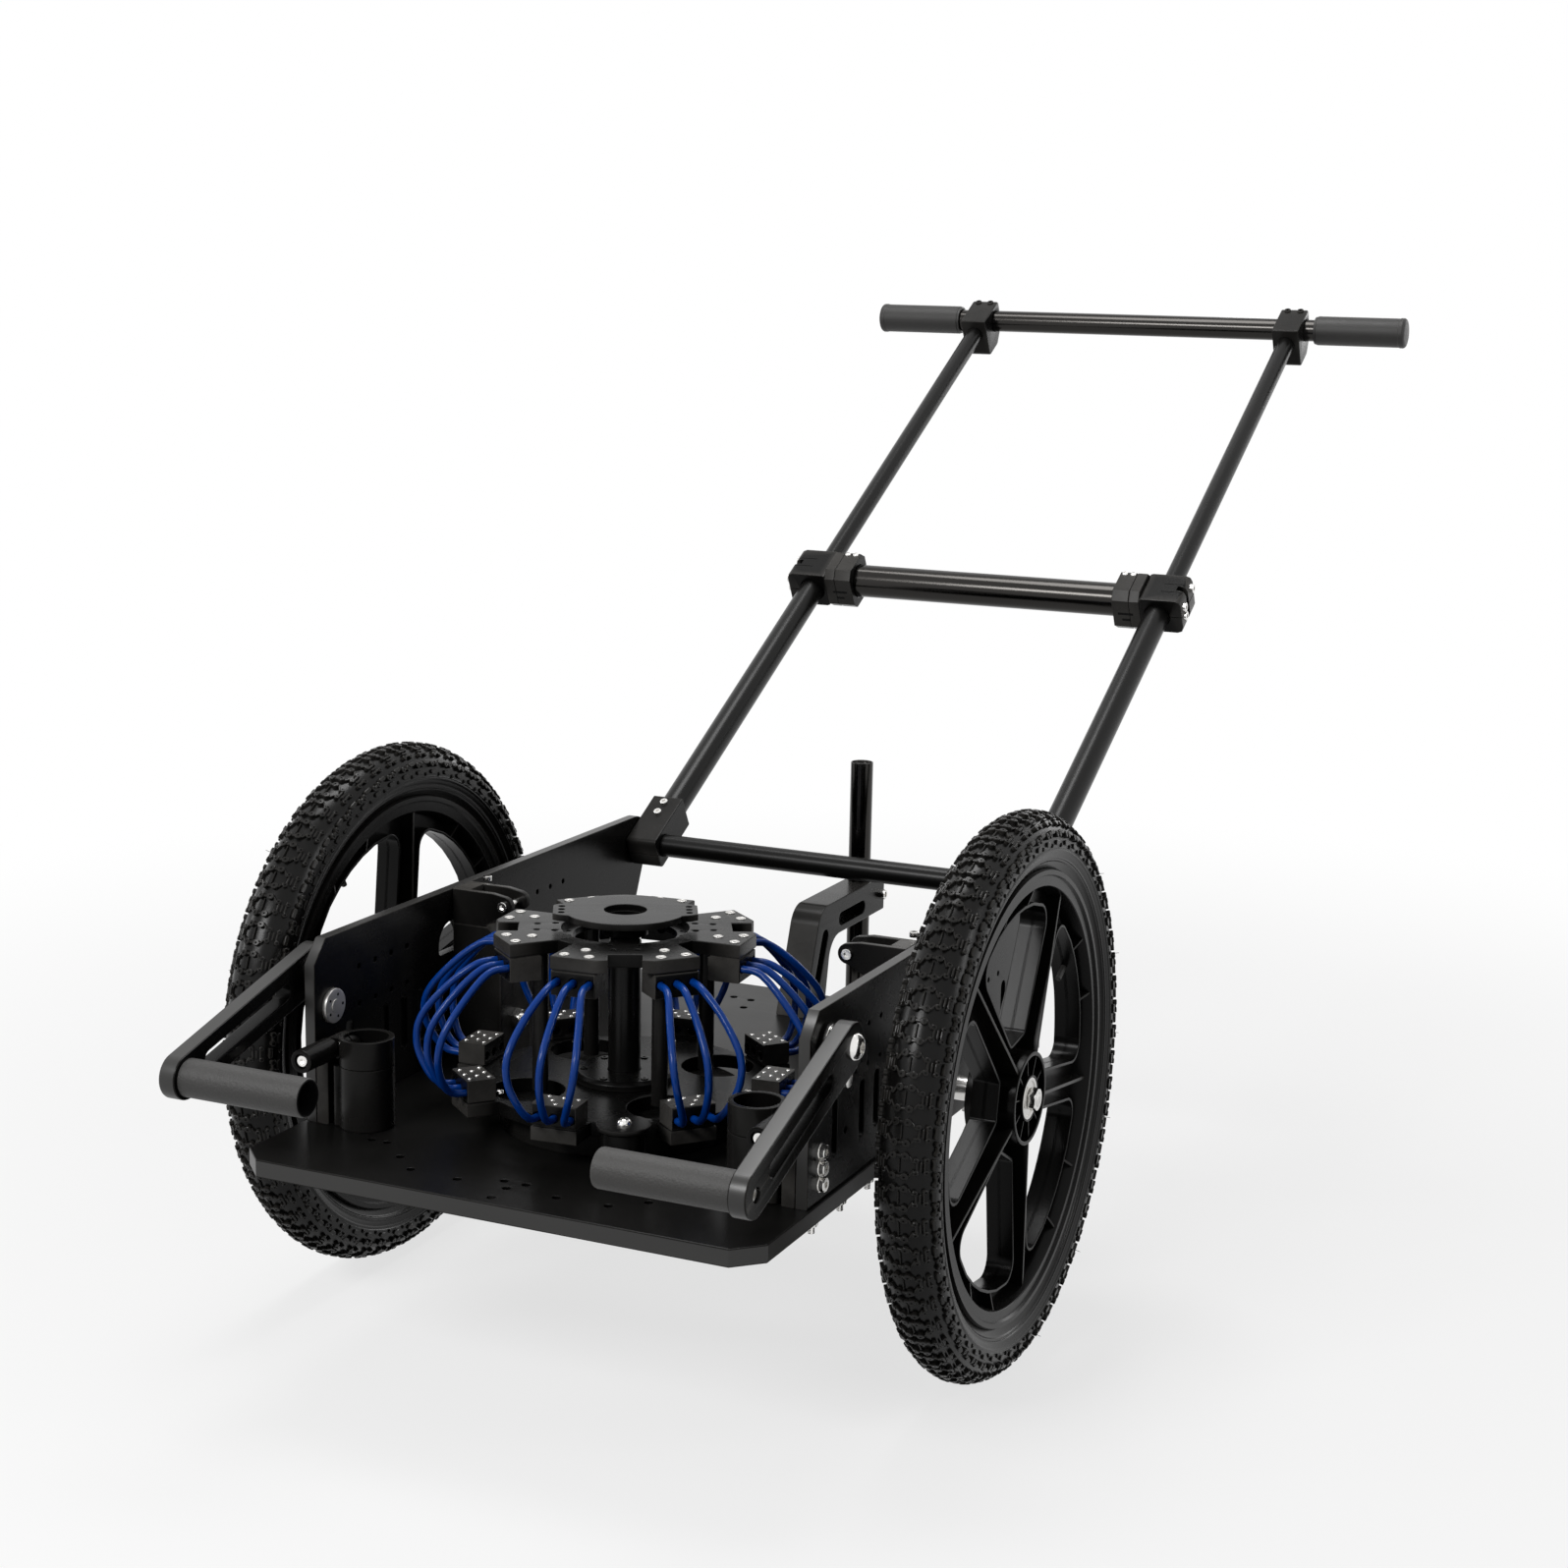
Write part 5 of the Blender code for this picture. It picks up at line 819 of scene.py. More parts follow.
def wheel(side, sign):
    """Moulded wheel: rim, web with lined openings, a rib on each spoke, and a ribbed hub."""
    bm = bmesh.new()
    first = FIRST_SPOKE[side]
    step = 360 / SPOKES
    turned(bm, rim_section(), "X", steps=120, closed=True)
    opening = window_outline()
    windows = [turned_outline(opening, first + (i + 0.5) * step) for i in range(SPOKES)]
    plate(bm, circle((0, 0), RIM_IN_R + 0.001, 120), -WEB_T / 2, WEB_T / 2, "yz",
          [circle((0, 0), BOSS_R - 0.001, 32), *windows])
    for window in windows:
        plate(bm, offset(window, WINDOW_WALL), -WINDOW_HALF_W, WINDOW_HALF_W, "yz", [window], edge=EASED_EDGE)
    rib = [(-SPOKE_RIB_RIM, RIM_LIP_R), (-SPOKE_RIB_HUB, HUB_R - 0.001), (SPOKE_RIB_HUB, HUB_R - 0.001),
           (SPOKE_RIB_RIM, RIM_LIP_R)]
    inner = WINDOW_HALF_W - 0.001
    outer = RIM_HALF_W - 0.0015
    gusset = [(-inner, WINDOW_R + 0.001), (inner, WINDOW_R + 0.001), (outer, RIM_LIP_R), (-outer, RIM_LIP_R)]
    for i in range(SPOKES):
        turn = Matrix.Rotation(math.radians(first + i * step), 4, "X")
        plate(bm, rib, -SPOKE_RIB_T / 2, SPOKE_RIB_T / 2, where=turn)
        for lean in (-GUSSET_LEAN, GUSSET_LEAN):
            between = Matrix.Rotation(math.radians(first + (i + 0.5) * step + lean), 4, "X")
            plate(bm, gusset, -GUSSET_HALF_T, GUSSET_HALF_T, where=between, edge=LIGHT_EDGE)
    pipe(bm, -HUB_HALF_W, HUB_HALF_W, HUB_R, HUB_R - HUB_WALL, "X", edge=SOFT_EDGE)
    pipe(bm, -HUB_HALF_W, HUB_HALF_W, BOSS_R, RACE_R + 0.0001, "X", edge=EASED_EDGE)
    vane = box(-SPOKE_RIB_HUB, SPOKE_RIB_HUB, BOSS_R - 0.001, HUB_R - HUB_WALL + 0.001)
    for i in range(HUB_RIBS):
        turn = Matrix.Rotation(math.radians(first + i * 360 / HUB_RIBS), 4, "X")
        plate(bm, vane, -VANE_HALF_T, VANE_HALF_T, where=turn, edge=THIN_EDGE)
    piece(f"spoked_wheel_{side}", bm, "moulded_black", f"road_wheel_{side}", wheel_place(sign),
          [f"wheel_{side}"])


def valve(side, sign):
    """Valve stem that points from the rim to the hub."""
    turn = Matrix.Rotation(math.radians(VALVE_AT[side]), 4, "X")
    profile = [(0, -RIM_IN_R - 0.001), (0.0042, -RIM_IN_R - 0.001), (0.0036, -RIM_IN_R + 0.006),
               (0.003, 0.012 - RIM_IN_R), (0.0028, 0.03 - RIM_IN_R), (0, 0.03 - RIM_IN_R)]
    bm = bmesh.new()
    turned(bm, [(r, -h) for r, h in softened(profile, 0.0006)], steps=20, where=turn)
    piece(f"valve_{side}", bm, "grip_rubber", f"road_wheel_{side}", wheel_place(sign))


def bearing(side, sign):
    """Both wheel bearings, whose rings and shields show at the hub faces."""
    rings = ((RACE_R, 0.0158, 0), (0.0159, 0.0098, 0.0012), (0.0099, AXLE_R + 0.0002, 0))
    bm = bmesh.new()
    for face in (-1, 1):
        end = face * (HUB_HALF_W - 0.0004)
        back = face * (HUB_HALF_W - 0.008)
        for outer, inner, drop in rings:
            pipe(bm, back, end - face * drop, outer, inner, "X", edge=THIN_EDGE, steps=48)
    piece(f"wheel_bearings_{side}", bm, "turned_steel", f"road_wheel_{side}", wheel_place(sign),
          [f"hub_cartridge_{side}"])


def threaded(bm, start, stop, radius, axis, centre, pitch=0.0015):
    """Threaded end of a bar, as fine rings."""
    turns = max(2, int(abs(stop - start) / pitch))
    profile = [(0, start)]
    for k in range(turns):
        a = start + (stop - start) * k / turns
        b = start + (stop - start) * (k + 0.5) / turns
        profile += [(radius * 0.92, a), (radius, b)]
    turned(bm, profile + [(radius * 0.8, stop), (0, stop)], axis, centre, 24)


def stub_axle(side, sign):
    """Fixed axle with its shoulder, its nut inside the housing and the threaded end outside the wheel."""
    centre = (0, 0, AXLE_Z)
    nut_t = 0.008
    tail = 0.004
    inner_end = PLATE_IN - HOUSING_LEN - GAP
    nut_end = inner_end - nut_t
    shoulder_end = HALF_TRACK - HUB_HALF_W - HUB_PLAY
    outside = HALF_TRACK + HUB_HALF_W + HUB_PLAY
    bm = bmesh.new()
    threaded(bm, sign * nut_end, sign * (nut_end - tail), AXLE_R, "X", centre)
    rod(bm, sign * nut_end, sign * outside, AXLE_R, "X", centre)
    rod(bm, sign * (PLATE_OUT + GAP), sign * shoulder_end, SHOULDER_R, "X", centre)
    hexagon_nut(bm, (sign * inner_end, 0, AXLE_Z), (-sign, 0, 0), NUT_R, nut_t, AXLE_R - 0.0005)
    threaded(bm, sign * (outside - 0.001), sign * (HALF_TRACK + AXLE_END), AXLE_R, "X", centre)
    piece(f"axle_bar_{side}", bm, "turned_steel", "chassis", nodes=[f"stub_axle_{side}"])


def hub_nut(side, sign):
    """Nut that holds a wheel on its axle."""
    place = (sign * (HALF_TRACK + HUB_HALF_W + HUB_PLAY), 0, AXLE_Z)
    bm = bmesh.new()
    hexagon_nut(bm, place, (sign, 0, 0), NUT_R, 0.0068, AXLE_R + 0.0002)
    piece(f"hub_nut_{side}", bm, "bright_screw", "chassis", nodes=[f"axle_nut_{side}"])


# Deck and what stands on it

def deck():
    """Deck with cut corners and its drilled pattern."""
    chamfer = 0.023
    band = 0.025
    w = DECK_HALF_W
    corners = [(-w, DECK_FRONT + chamfer), (-w + chamfer, DECK_FRONT), (w - chamfer, DECK_FRONT),
               (w, DECK_FRONT + chamfer), (w, DECK_REAR - chamfer), (w - chamfer, DECK_REAR),
               (-w + chamfer, DECK_REAR), (-w, DECK_REAR - chamfer)]
    outline = rounded([(u, v, 0.002) for u, v in corners], 4)
    places = [(0, -0.3483), (0, -0.3233)]
    for x, y in ((0.0105, -0.3090), (0.0475, -0.3235), (0.0946, -0.321), (0.1198, -0.2984),
                 (0.1495, -0.2723), (0.165, -0.2725), (0.0816, 0.283), (0.0607, 0.2805), (0.0557, 0.2522)):
        places += [(-x, y), (x, y)]
    holes = [circle(place, 0.0036, 20) for place in places]
    bm = bmesh.new()
    plate(bm, outline, DECK_TOP - DECK_T, DECK_TOP, "xy", holes, edge=SOFT_EDGE)
    mark_edge_faces(bm, 2, lambda p: abs(p.x) > w - band or p.y < DECK_FRONT + band or p.y > DECK_REAR - band)
    piece("deck_panel", bm, "deck_anodised", "chassis", nodes=["deck"], trim="milled_and_lit_edge")


def deck_studs():
    """Studs and nuts under the deck, in a row below each side plate."""
    stud_x = 0.238
    first_y = -0.235
    step = 0.0597
    bottom = DECK_TOP - DECK_T
    bm = bmesh.new()
    for sign in (-1, 1):
        for k in range(10):
            centre = (sign * stud_x, first_y + step * k, 0)
            threaded(bm, bottom + 0.001, bottom - 0.012, 0.003, "Z", centre, 0.0012)
            hexagon_nut(bm, (centre[0], centre[1], bottom), (0, 0, -1), 0.0058, 0.005, 0.0028)
    piece("deck_screws", bm, "bright_screw", "chassis")


def plate_holes():
    """Openings of a side plate, alike on both sides of the axle: holes, upright slots and an arch window."""
    slot_low = DECK_TOP + 0.035
    slot_high = DECK_TOP + 0.0755
    arch_r = 0.0215
    arch_low = DECK_TOP + 0.1035
    arch_mid = DECK_TOP + 0.1125
    holes = []
    for end in (-1, 1):
        for row in (0.092, 0.127):
            holes += [circle((end * (0.108 + i * 0.0265), DECK_TOP + row), 0.0025, 16) for i in range(4)]
        for y in (0.055, 0.085, 0.1145, 0.146, 0.2035):
            holes.append(slot((end * y, slot_low), (end * y, slot_high), 0.0055))
        holes.append(circle((end * 0.1801, DECK_TOP + 0.0459), 0.0042, 4))
        arch_y = end * 0.0305
        arch = [(arch_y - arch_r, arch_low, 0.004), (arch_y + arch_r, arch_low, 0.004)]
        arch += [(u, v, 0) for u, v in arc((arch_y, arch_mid), arch_r, 0, 180, 14)]
        holes.append(rounded(arch, 3))
    return holes


def side_plate(side, sign):
    """Side plate with its openings, a cut front corner and a round tail at the hinge."""
    cut_y = 0.018
    cut_z = 0.021
    outline = [(PLATE_FRONT, PLATE_BOTTOM), (HINGE_Y - 0.03, PLATE_BOTTOM)]
    outline += arc((HINGE_Y, HINGE_Z), PLATE_TOP - HINGE_Z, -24, 90, 20)
    outline += [(PLATE_FRONT + cut_y, PLATE_TOP), (PLATE_FRONT, PLATE_TOP - cut_z)]
    bm = bmesh.new()
    plate(bm, outline, sign * PLATE_IN, sign * PLATE_OUT, "yz", plate_holes(), edge=EASED_EDGE)
    mark_edge_faces(bm, 0, lambda p: p.z > PLATE_TOP - 0.002 or p.y < PLATE_FRONT + cut_y + 0.001)
    piece(f"side_panel_{side}", bm, "black_anodised", "chassis", nodes=[f"side_plate_{side}"],
          trim="milled_and_lit_edge")


def plate_hardware(side, sign):
    """Washers of the arm pivot, and the screws that show on a side plate's outer face."""
    pivot = (0, ARM_PIVOT_Y, ARM_PIVOT_Z)
    screw_y = -0.233
    bm = bmesh.new()
    rod(bm, sign * (PLATE_OUT - LAP), sign * (PLATE_OUT + 0.0028), 0.0175, "X", pivot)
    piece(f"pivot_washer_{side}", bm, "black_anodised", "chassis")
    bm = bmesh.new()
    for near, far, radius in ((0.0027, 0.0048, 0.0165), (0.0047, 0.0052, 0.0155), (0.0051, 0.0078, 0.017)):
        rod(bm, sign * (PLATE_OUT + near), sign * (PLATE_OUT + far), radius, "X", pivot, edge=LIGHT_EDGE)
    face = sign * (PLATE_OUT + 0.0012)
    for z in (0.234, 0.248, 0.262):
        rod(bm, sign * (PLATE_OUT - LAP), face, 0.0072, "X", (0, screw_y, z), edge=THIN_EDGE)
        cap_screw(bm, (face, screw_y, z), (sign, 0, 0), 0.0062, 0.0048)
    for y in (-0.0451, 0.12, 0.27):
        button_screw(bm, (sign * PLATE_OUT, y, PLATE_TOP - 0.0129), (sign, 0, 0), 0.0042, 0.0025)
    piece(f"panel_screws_{side}", bm, "bright_screw", "chassis")


def corner_block(side, sign):
    """Block that stiffens the front corner between deck and side plate."""
    depth = 0.05
    height = 0.0585
    outer = PLATE_IN - GAP
    outline = box(PLATE_FRONT, PLATE_FRONT + depth, PLATE_BOTTOM, PLATE_BOTTOM + height)
    bm = bmesh.new()
    plate(bm, outline, sign * outer, sign * (outer - 0.0125), "yz", edge=BLOCK_CORNER)
    piece(f"corner_piece_{side}", bm, "black_anodised", "chassis", nodes=[f"corner_block_{side}"])


HOUSING_LEN = 0.053
HOUSING_H = 0.131
HOUSING_HALF_W = 0.028
PIN_X = 0.177
PIN_Z = DECK_TOP + 0.1535
EAR_FRONT = -0.028
EAR_REAR = 0.007


def sided(section, sign):
    """Section given as (z, distance from the middle), turned into an anticlockwise (z, x) outline."""
    outline = [(z, sign * x) for z, x in section]
    area = sum(a[0] * b[1] - b[0] * a[1] for a, b in zip(outline, outline[1:] + outline[:1]))
    return outline if area > 0 else list(reversed(outline))


def axle_housing(side, sign):
    """Block that carries the stub axle, with its upper inner edge cut off."""
    cut = 0.014
    inner = PLATE_IN - HOUSING_LEN
    outer = PLATE_IN - GAP
    top = PLATE_BOTTOM + HOUSING_H
    section = [(PLATE_BOTTOM, inner), (PLATE_BOTTOM, outer), (top, outer), (top, inner + cut),
               (top - cut, inner)]
    bm = bmesh.new()
    plate(bm, sided(section, sign), -HOUSING_HALF_W, HOUSING_HALF_W, "zx", edge=SOFT_EDGE)
    piece(f"axle_block_{side}", bm, "black_anodised", "chassis", nodes=[f"axle_housing_{side}"])


def clevis(side, sign):
    """Two rounded ears on the axle housing, with a shoulder between them."""
    outer = PLATE_IN - GAP
    bottom = PLATE_BOTTOM + HOUSING_H + GAP
    foot = PLATE_IN - HOUSING_LEN + 0.02
    step = PLATE_IN - 0.017
    ledge = PIN_Z - 0.014
    ear_t = 0.006
    ear = [(z, x) for x, z in arc((PIN_X, PIN_Z), 0.0095, 90, 270, 16)]
    ear += [(bottom, foot), (bottom, outer), (PLATE_TOP, outer), (PLATE_TOP, PIN_X + 0.012)]
    bm = bmesh.new()
    for start, stop in ((EAR_FRONT, EAR_FRONT + ear_t), (EAR_REAR - ear_t, EAR_REAR)):
        plate(bm, sided(ear, sign), start, stop, "zx", edge=EASED_EDGE)
    shoulder = [(bottom, foot), (bottom, outer), (PLATE_TOP, outer), (PLATE_TOP, step), (ledge, step),
                (ledge, foot)]
    plate(bm, sided(shoulder, sign), EAR_FRONT + 0.0055, EAR_REAR - 0.0055, "zx", edge=FINE_EDGE)
    piece(f"clevis_ears_{side}", bm, "black_anodised", "chassis", nodes=[f"clevis_{side}"])


def clevis_pin(side, sign):
    """Pin across the ears with a head at each end, and a screw in the top behind it."""
    x = sign * PIN_X
    bm = bmesh.new()
    rod(bm, EAR_FRONT - 0.001, EAR_REAR + 0.001, 0.003, "Y", (x, 0, PIN_Z))
    cap_screw(bm, (x, EAR_FRONT, PIN_Z), (0, -1, 0), 0.005, 0.003)
    cap_screw(bm, (x, EAR_REAR, PIN_Z), (0, 1, 0), 0.005, 0.003)
    cap_screw(bm, (sign * 0.222, 0.0185, PLATE_TOP), (0, 0, 1), 0.0042, 0.0042)
    piece(f"clevis_pin_{side}", bm, "bright_screw", "chassis")


# Rear bracket and support leg

BRACKET_HALF_W = 0.016
BRACKET_ARM_Z = DECK_TOP + 0.08835


def rear_bracket():
    """Bent bracket with two slots that reaches back from the deck and clamps the leg."""
    bottom = PLATE_BOTTOM
    top = DECK_TOP + 0.1067
    low = top - 0.0367
    end = LEG_Y + 0.0334
    bend = 0.026
    shape = [(0.245, bottom, 0), (0.298, bottom, 0), (0.3113, low, bend), (end, low, 0.002),
             (end, top, 0.002), (0.283, top, bend)]
    slot_r = 0.007
    slot_z = BRACKET_ARM_Z - 0.004
    holes = [slot((0.2782, DECK_TOP + 0.0319), (0.2959, DECK_TOP + 0.0746), slot_r),
             slot((0.338, slot_z), (0.393, slot_z), slot_r)]
    bm = bmesh.new()
    plate(bm, rounded(shape, 10), -BRACKET_HALF_W, BRACKET_HALF_W, "yz", holes, edge=SOFT_EDGE)
    cuts = bmesh.new()
    rod(cuts, low - 0.01, top + 0.01, 0.0123, centre=(0, LEG_Y, 0))
    prism(cuts, box(-0.001, 0.001, LEG_Y + 0.01, end + 0.01), low - 0.01, top + 0.01)
    bm = carved(bm, cuts)
    piece("leg_bracket", bm, "black_anodised", "chassis", nodes=["rear_bracket"])


def leg_bolt():
    """Bolt that closes the bracket on the leg, and the two screws in the bracket's foot."""
    y = LEG_Y + 0.0226
    reach = BRACKET_HALF_W + 0.002
    bm = bmesh.new()
    rod(bm, -reach, reach, 0.003, "X", (0, y, BRACKET_ARM_Z))
    cap_screw(bm, (-BRACKET_HALF_W, y, BRACKET_ARM_Z), (-1, 0, 0), 0.005, 0.004)
    hexagon_nut(bm, (BRACKET_HALF_W, y, BRACKET_ARM_Z), (1, 0, 0), 0.0055, 0.006, 0.0028)
    for sign in (-1, 1):
        cap_screw(bm, (sign * 0.008, 0.2715, PLATE_BOTTOM), (0, 0, 1), 0.004, 0.004)
    piece("leg_bolt", bm, "bright_screw", "chassis", nodes=["leg_clamp_bolt"])


def support_leg():
    """Tube with a socket in its top end, on a rubber foot."""
    top = 0.4545
    tube_r = 0.0119
    lip = top - 0.002
    bottom = top - 0.02
    profile = [(0, 0.006), (tube_r, 0.006), (tube_r, top), (0.0105, top), (0.0105, lip), (0.004, lip),
               (0.004, bottom), (0, bottom)]
    bm = lathe(profile, 0.0008, centre=(0, LEG_Y, 0))
    piece("leg_tube", bm, "gloss_black_tube", "leg", nodes=["support_leg"])
    profile = [(0, 0), (0.019, 0), (0.019, 0.008), (0.0154, 0.016), (0.0154, 0.03), (0.0122, 0.03),
               (0.0122, 0.006), (0, 0.006)]
    bm = lathe(profile, 0.0015, centre=(0, LEG_Y, 0))
    piece("leg_pad", bm, "grip_rubber", "leg", nodes=["leg_foot"])


# Handle, in a frame on the hinge axis with +Y along the tubes

CLAMP_HALF_X = 0.0175
MID_HALF_X = 0.0205
SLEEVE_REACH = 0.0266
SLIT = 0.0006
FACE_FRONT = Matrix(((1, 0, 0, 0), (0, 0, 1, 0), (0, 1, 0, 0), (0, 0, 0, 1)))


def split_line(bm, outline, low, high, plane="xy"):
    """bm with a narrow clamp slit cut out of it."""
    cut = bmesh.new()
    prism(cut, outline, low, high, plane)
    return carved(bm, cut)


def crossbar():
    """Hinge tube across the side plates, with a cap at each end."""
    end = PLATE_OUT + 0.0044
    bm = bmesh.new()
    pipe(bm, -end, end, 0.012, 0.0095, "X", edge=EASED_EDGE)
    for sign in (-1, 1):
        pipe(bm, sign * (PLATE_OUT + 0.0004), sign * end, 0.017, 0.011, "X", edge=ROUND_EDGE)
    piece("hinge_tube", bm, "satin_black_tube", "handle_lower", HANDLE, ["crossbar"])


def base_clamp(side, sign):
    """Clamp that holds a lower tube on the hinge tube, slit behind it and closed by two screws."""
    x = sign * TUBE_X
    back = -0.018
    front = 0.058
    half = 0.0185
    outline = rounded([(back, -half, 0.006), (front, -half, 0.0015), (front, half, 0.0015),
                       (back, half, 0.006)], 5)
    bm = bmesh.new()
    plate(bm, outline, x - CLAMP_HALF_X, x + CLAMP_HALF_X, "yz", [circle((0, 0), 0.0122, 32)], edge=SOFT_EDGE)
    bm = split_line(bm, box(-0.03, -0.010, -SLIT, SLIT), x - 0.03, x + 0.03, "yz")
    socket = bmesh.new()
    rod(socket, 0.0161, 0.07, 0.0147, "Y", (x, 0, 0), steps=48)
    bm = carved(bm, socket)
    piece(f"hinge_clamp_{side}", bm, "black_anodised", "handle_lower", HANDLE, [f"base_clamp_{side}"])
    bm = bmesh.new()
    for along in (0.03, 0.047):
        cap_screw(bm, (x, along, half), (0, 0, 1), 0.0042, 0.0035)
    piece(f"hinge_clamp_screws_{side}", bm, "bright_screw", "handle_lower", HANDLE)


def lower_tube(side, sign):
    """Tube of the handle that the slide runs in."""
    bm = bmesh.new()
    pipe(bm, 0.0163, MID_AT + 0.004, 0.0145, 0.012, "Y", (sign * TUBE_X, 0, 0))
    piece(f"handle_tube_{side}", bm, "satin_black_tube", "handle_lower", HANDLE, [f"lower_tube_{side}"])


def cut_square(reach, corner):
    """Square of half width reach with cut corners."""
    points = []
    for turn in range(0, 360, 90):
        points += turned_outline([(reach, -reach + corner), (reach, reach - corner)], turn)
    return points


def mid_clamp(side, sign):
    """Split clamp with two bolt lugs on its outer side and a ringed sleeve for the cross tube."""
    x = sign * TUBE_X
    half_x = MID_HALF_X
    half_z = 0.022
    lug = half_x + 0.009
    beyond = TUBE_X + lug + 0.01

    def span(start, stop):
        return sorted((sign * start, sign * stop))

    section = [(half_z, -half_x, 0.004), (half_z, lug, 0.007), (-half_z, lug, 0.007),
               (-half_z, -half_x, 0.004)]
    if sign > 0:
        section.reverse()
    section = rounded([(z, sign * (TUBE_X + out), r) for z, out, r in section], 2)
    bm = bmesh.new()
    plate(bm, section, MID_AT - 0.026, MID_AT + 0.026, "zx", [circle((0, x), 0.0148, 40)], edge=BLOCK_CORNER)
    cuts = bmesh.new()
    prism(cuts, box(*span(TUBE_X + 0.0105, beyond), MID_AT - 0.04, MID_AT + 0.04), -SLIT, SLIT)
    prism(cuts, box(*span(TUBE_X + half_x - 0.002, beyond), MID_AT - 0.004, MID_AT + 0.004), -0.03, 0.03)
    for along in (-0.0075, 0.0075):
        seam = box(*span(TUBE_X + 0.002, beyond), MID_AT + along - 0.0004, MID_AT + along + 0.0004)
        prism(cuts, seam, half_z - 0.0012, 0.03)
    bm = carved(bm, cuts)
    sleeve = shifted(cut_square(SLEEVE_REACH, 0.009), MID_AT, 0)
    for start, stop in ((0.0, 0.0115), (0.0125, 0.032)):
        low, high = span(TUBE_X - half_x + 0.001 - start, TUBE_X - half_x - stop)
        plate(bm, sleeve, low, high, "yz", [circle((MID_AT, 0), 0.0195, 40)], edge=SOFT_EDGE)
    piece(f"telescope_clamp_{side}", bm, "black_anodised", "handle_lower", HANDLE, [f"mid_clamp_{side}"])
    bm = bmesh.new()
    for along, z in ((0.0165, 0.0115), (-0.0165, 0.0085), (-0.0165, -0.0035)):
        cap_screw(bm, (sign * (TUBE_X + lug), MID_AT + along, z), (sign, 0, 0), 0.0052, 0.0035)
    for reach in (0.016, 0.026):
        spot = (sign * (TUBE_X - half_x - reach), MID_AT + 0.0145, SLEEVE_REACH)
        button_screw(bm, spot, (0, 0, 1), 0.0034, 0.0022)
    piece(f"telescope_screws_{side}", bm, "bright_screw", "handle_lower", HANDLE)


def mid_clamp_trim(side, sign):
    """Ring where the slide leaves the clamp, and two notches painted as dark shade on the sleeve's front
    face.
    """
    bm = bmesh.new()
    pipe(bm, MID_AT + 0.0255, MID_AT + 0.029, 0.0155, 0.0114, "Y", (sign * TUBE_X, 0, 0))
    piece(f"telescope_ring_{side}", bm, "moulded_black", "handle_lower", HANDLE)
    # Thin dark plates: painted shade where the notches would be.
    bm = bmesh.new()
    middle_x = TUBE_X - 0.037
    for half, low, high in ((0.0045, -0.0095, -0.0065), (0.009, -0.0015, 0.0015)):
        near, far = sorted((sign * (middle_x - half), sign * (middle_x + half)))
        plate(bm, box(near, far, low, high), MID_AT - 0.0267, MID_AT - 0.0263, "xy", edge=HAIR_EDGE,
              where=FACE_FRONT)
    piece(f"telescope_notch_shade_{side}", bm, "painted_bore_shade", "handle_lower", HANDLE)


def cross_tube():
    """Wide tube between the two telescope clamps."""
    half = TUBE_X - MID_HALF_X - GAP
    bm = bmesh.new()
    pipe(bm, -half, half, 0.0192, 0.0172, "X", (0, MID_AT, 0), steps=96)
    piece("handle_cross_tube", bm, "gloss_black_tube", "handle_lower", HANDLE, ["mid_cross_tube"])


def upper_tube(side, sign):
    """Slide that draws out of a lower tube."""
    bm = bmesh.new()
    pipe(bm, MID_AT - 0.07, TOP_AT - 0.0175, 0.0112, 0.0092, "Y", (sign * TUBE_X, 0, 0))
    piece(f"handle_slide_{side}", bm, "satin_black_tube", "handle_upper", HANDLE, [f"upper_tube_{side}"])


def top_clamp(side, sign):
    """Clamp of the top bar, deeper below than above, with a slit in its rear face."""
    x = sign * TUBE_X
    reach = 0.0205
    low = reach + 0.0125
    front = TOP_AT - reach - 0.017
    rear = TOP_AT + reach
    outline = rounded([(front, -low, 0.006), (TOP_AT - 0.004, -low, 0.006), (rear, 0.006 - reach, 0.004),
                       (rear, reach, 0.006), (front, reach, 0.002)], 3)
    bore = [circle((TOP_AT, 0), 0.0142, 40)]
    bm = bmesh.new()
    plate(bm, outline, x - CLAMP_HALF_X, x + CLAMP_HALF_X, "yz", bore, edge=WIDE_EDGE)
    bm = split_line(bm, box(TOP_AT + 0.012, TOP_AT + 0.03, -SLIT, SLIT), x - 0.03, x + 0.03, "yz")
    piece(f"bar_clamp_{side}", bm, "black_anodised", "handle_upper", HANDLE, [f"top_clamp_{side}"])
    bm = bmesh.new()
    for shift in (-0.0085, 0.0085):
        cap_screw(bm, (x + shift, rear - 0.0075, reach - 0.0005), (0, 0, 1), 0.0042, 0.0022)
    piece(f"bar_clamp_screws_{side}", bm, "black_anodised", "handle_upper", HANDLE)


def top_bar():
    """Bar that joins both slides and carries the handle grips."""
    bm = bmesh.new()
    half = TOP_BAR_HALF - 0.0033
    pipe(bm, -half, half, 0.014, 0.012, "X", (0, TOP_AT, 0))
    piece("handle_bar", bm, "gloss_black_tube", "handle_upper", HANDLE, ["top_bar"])


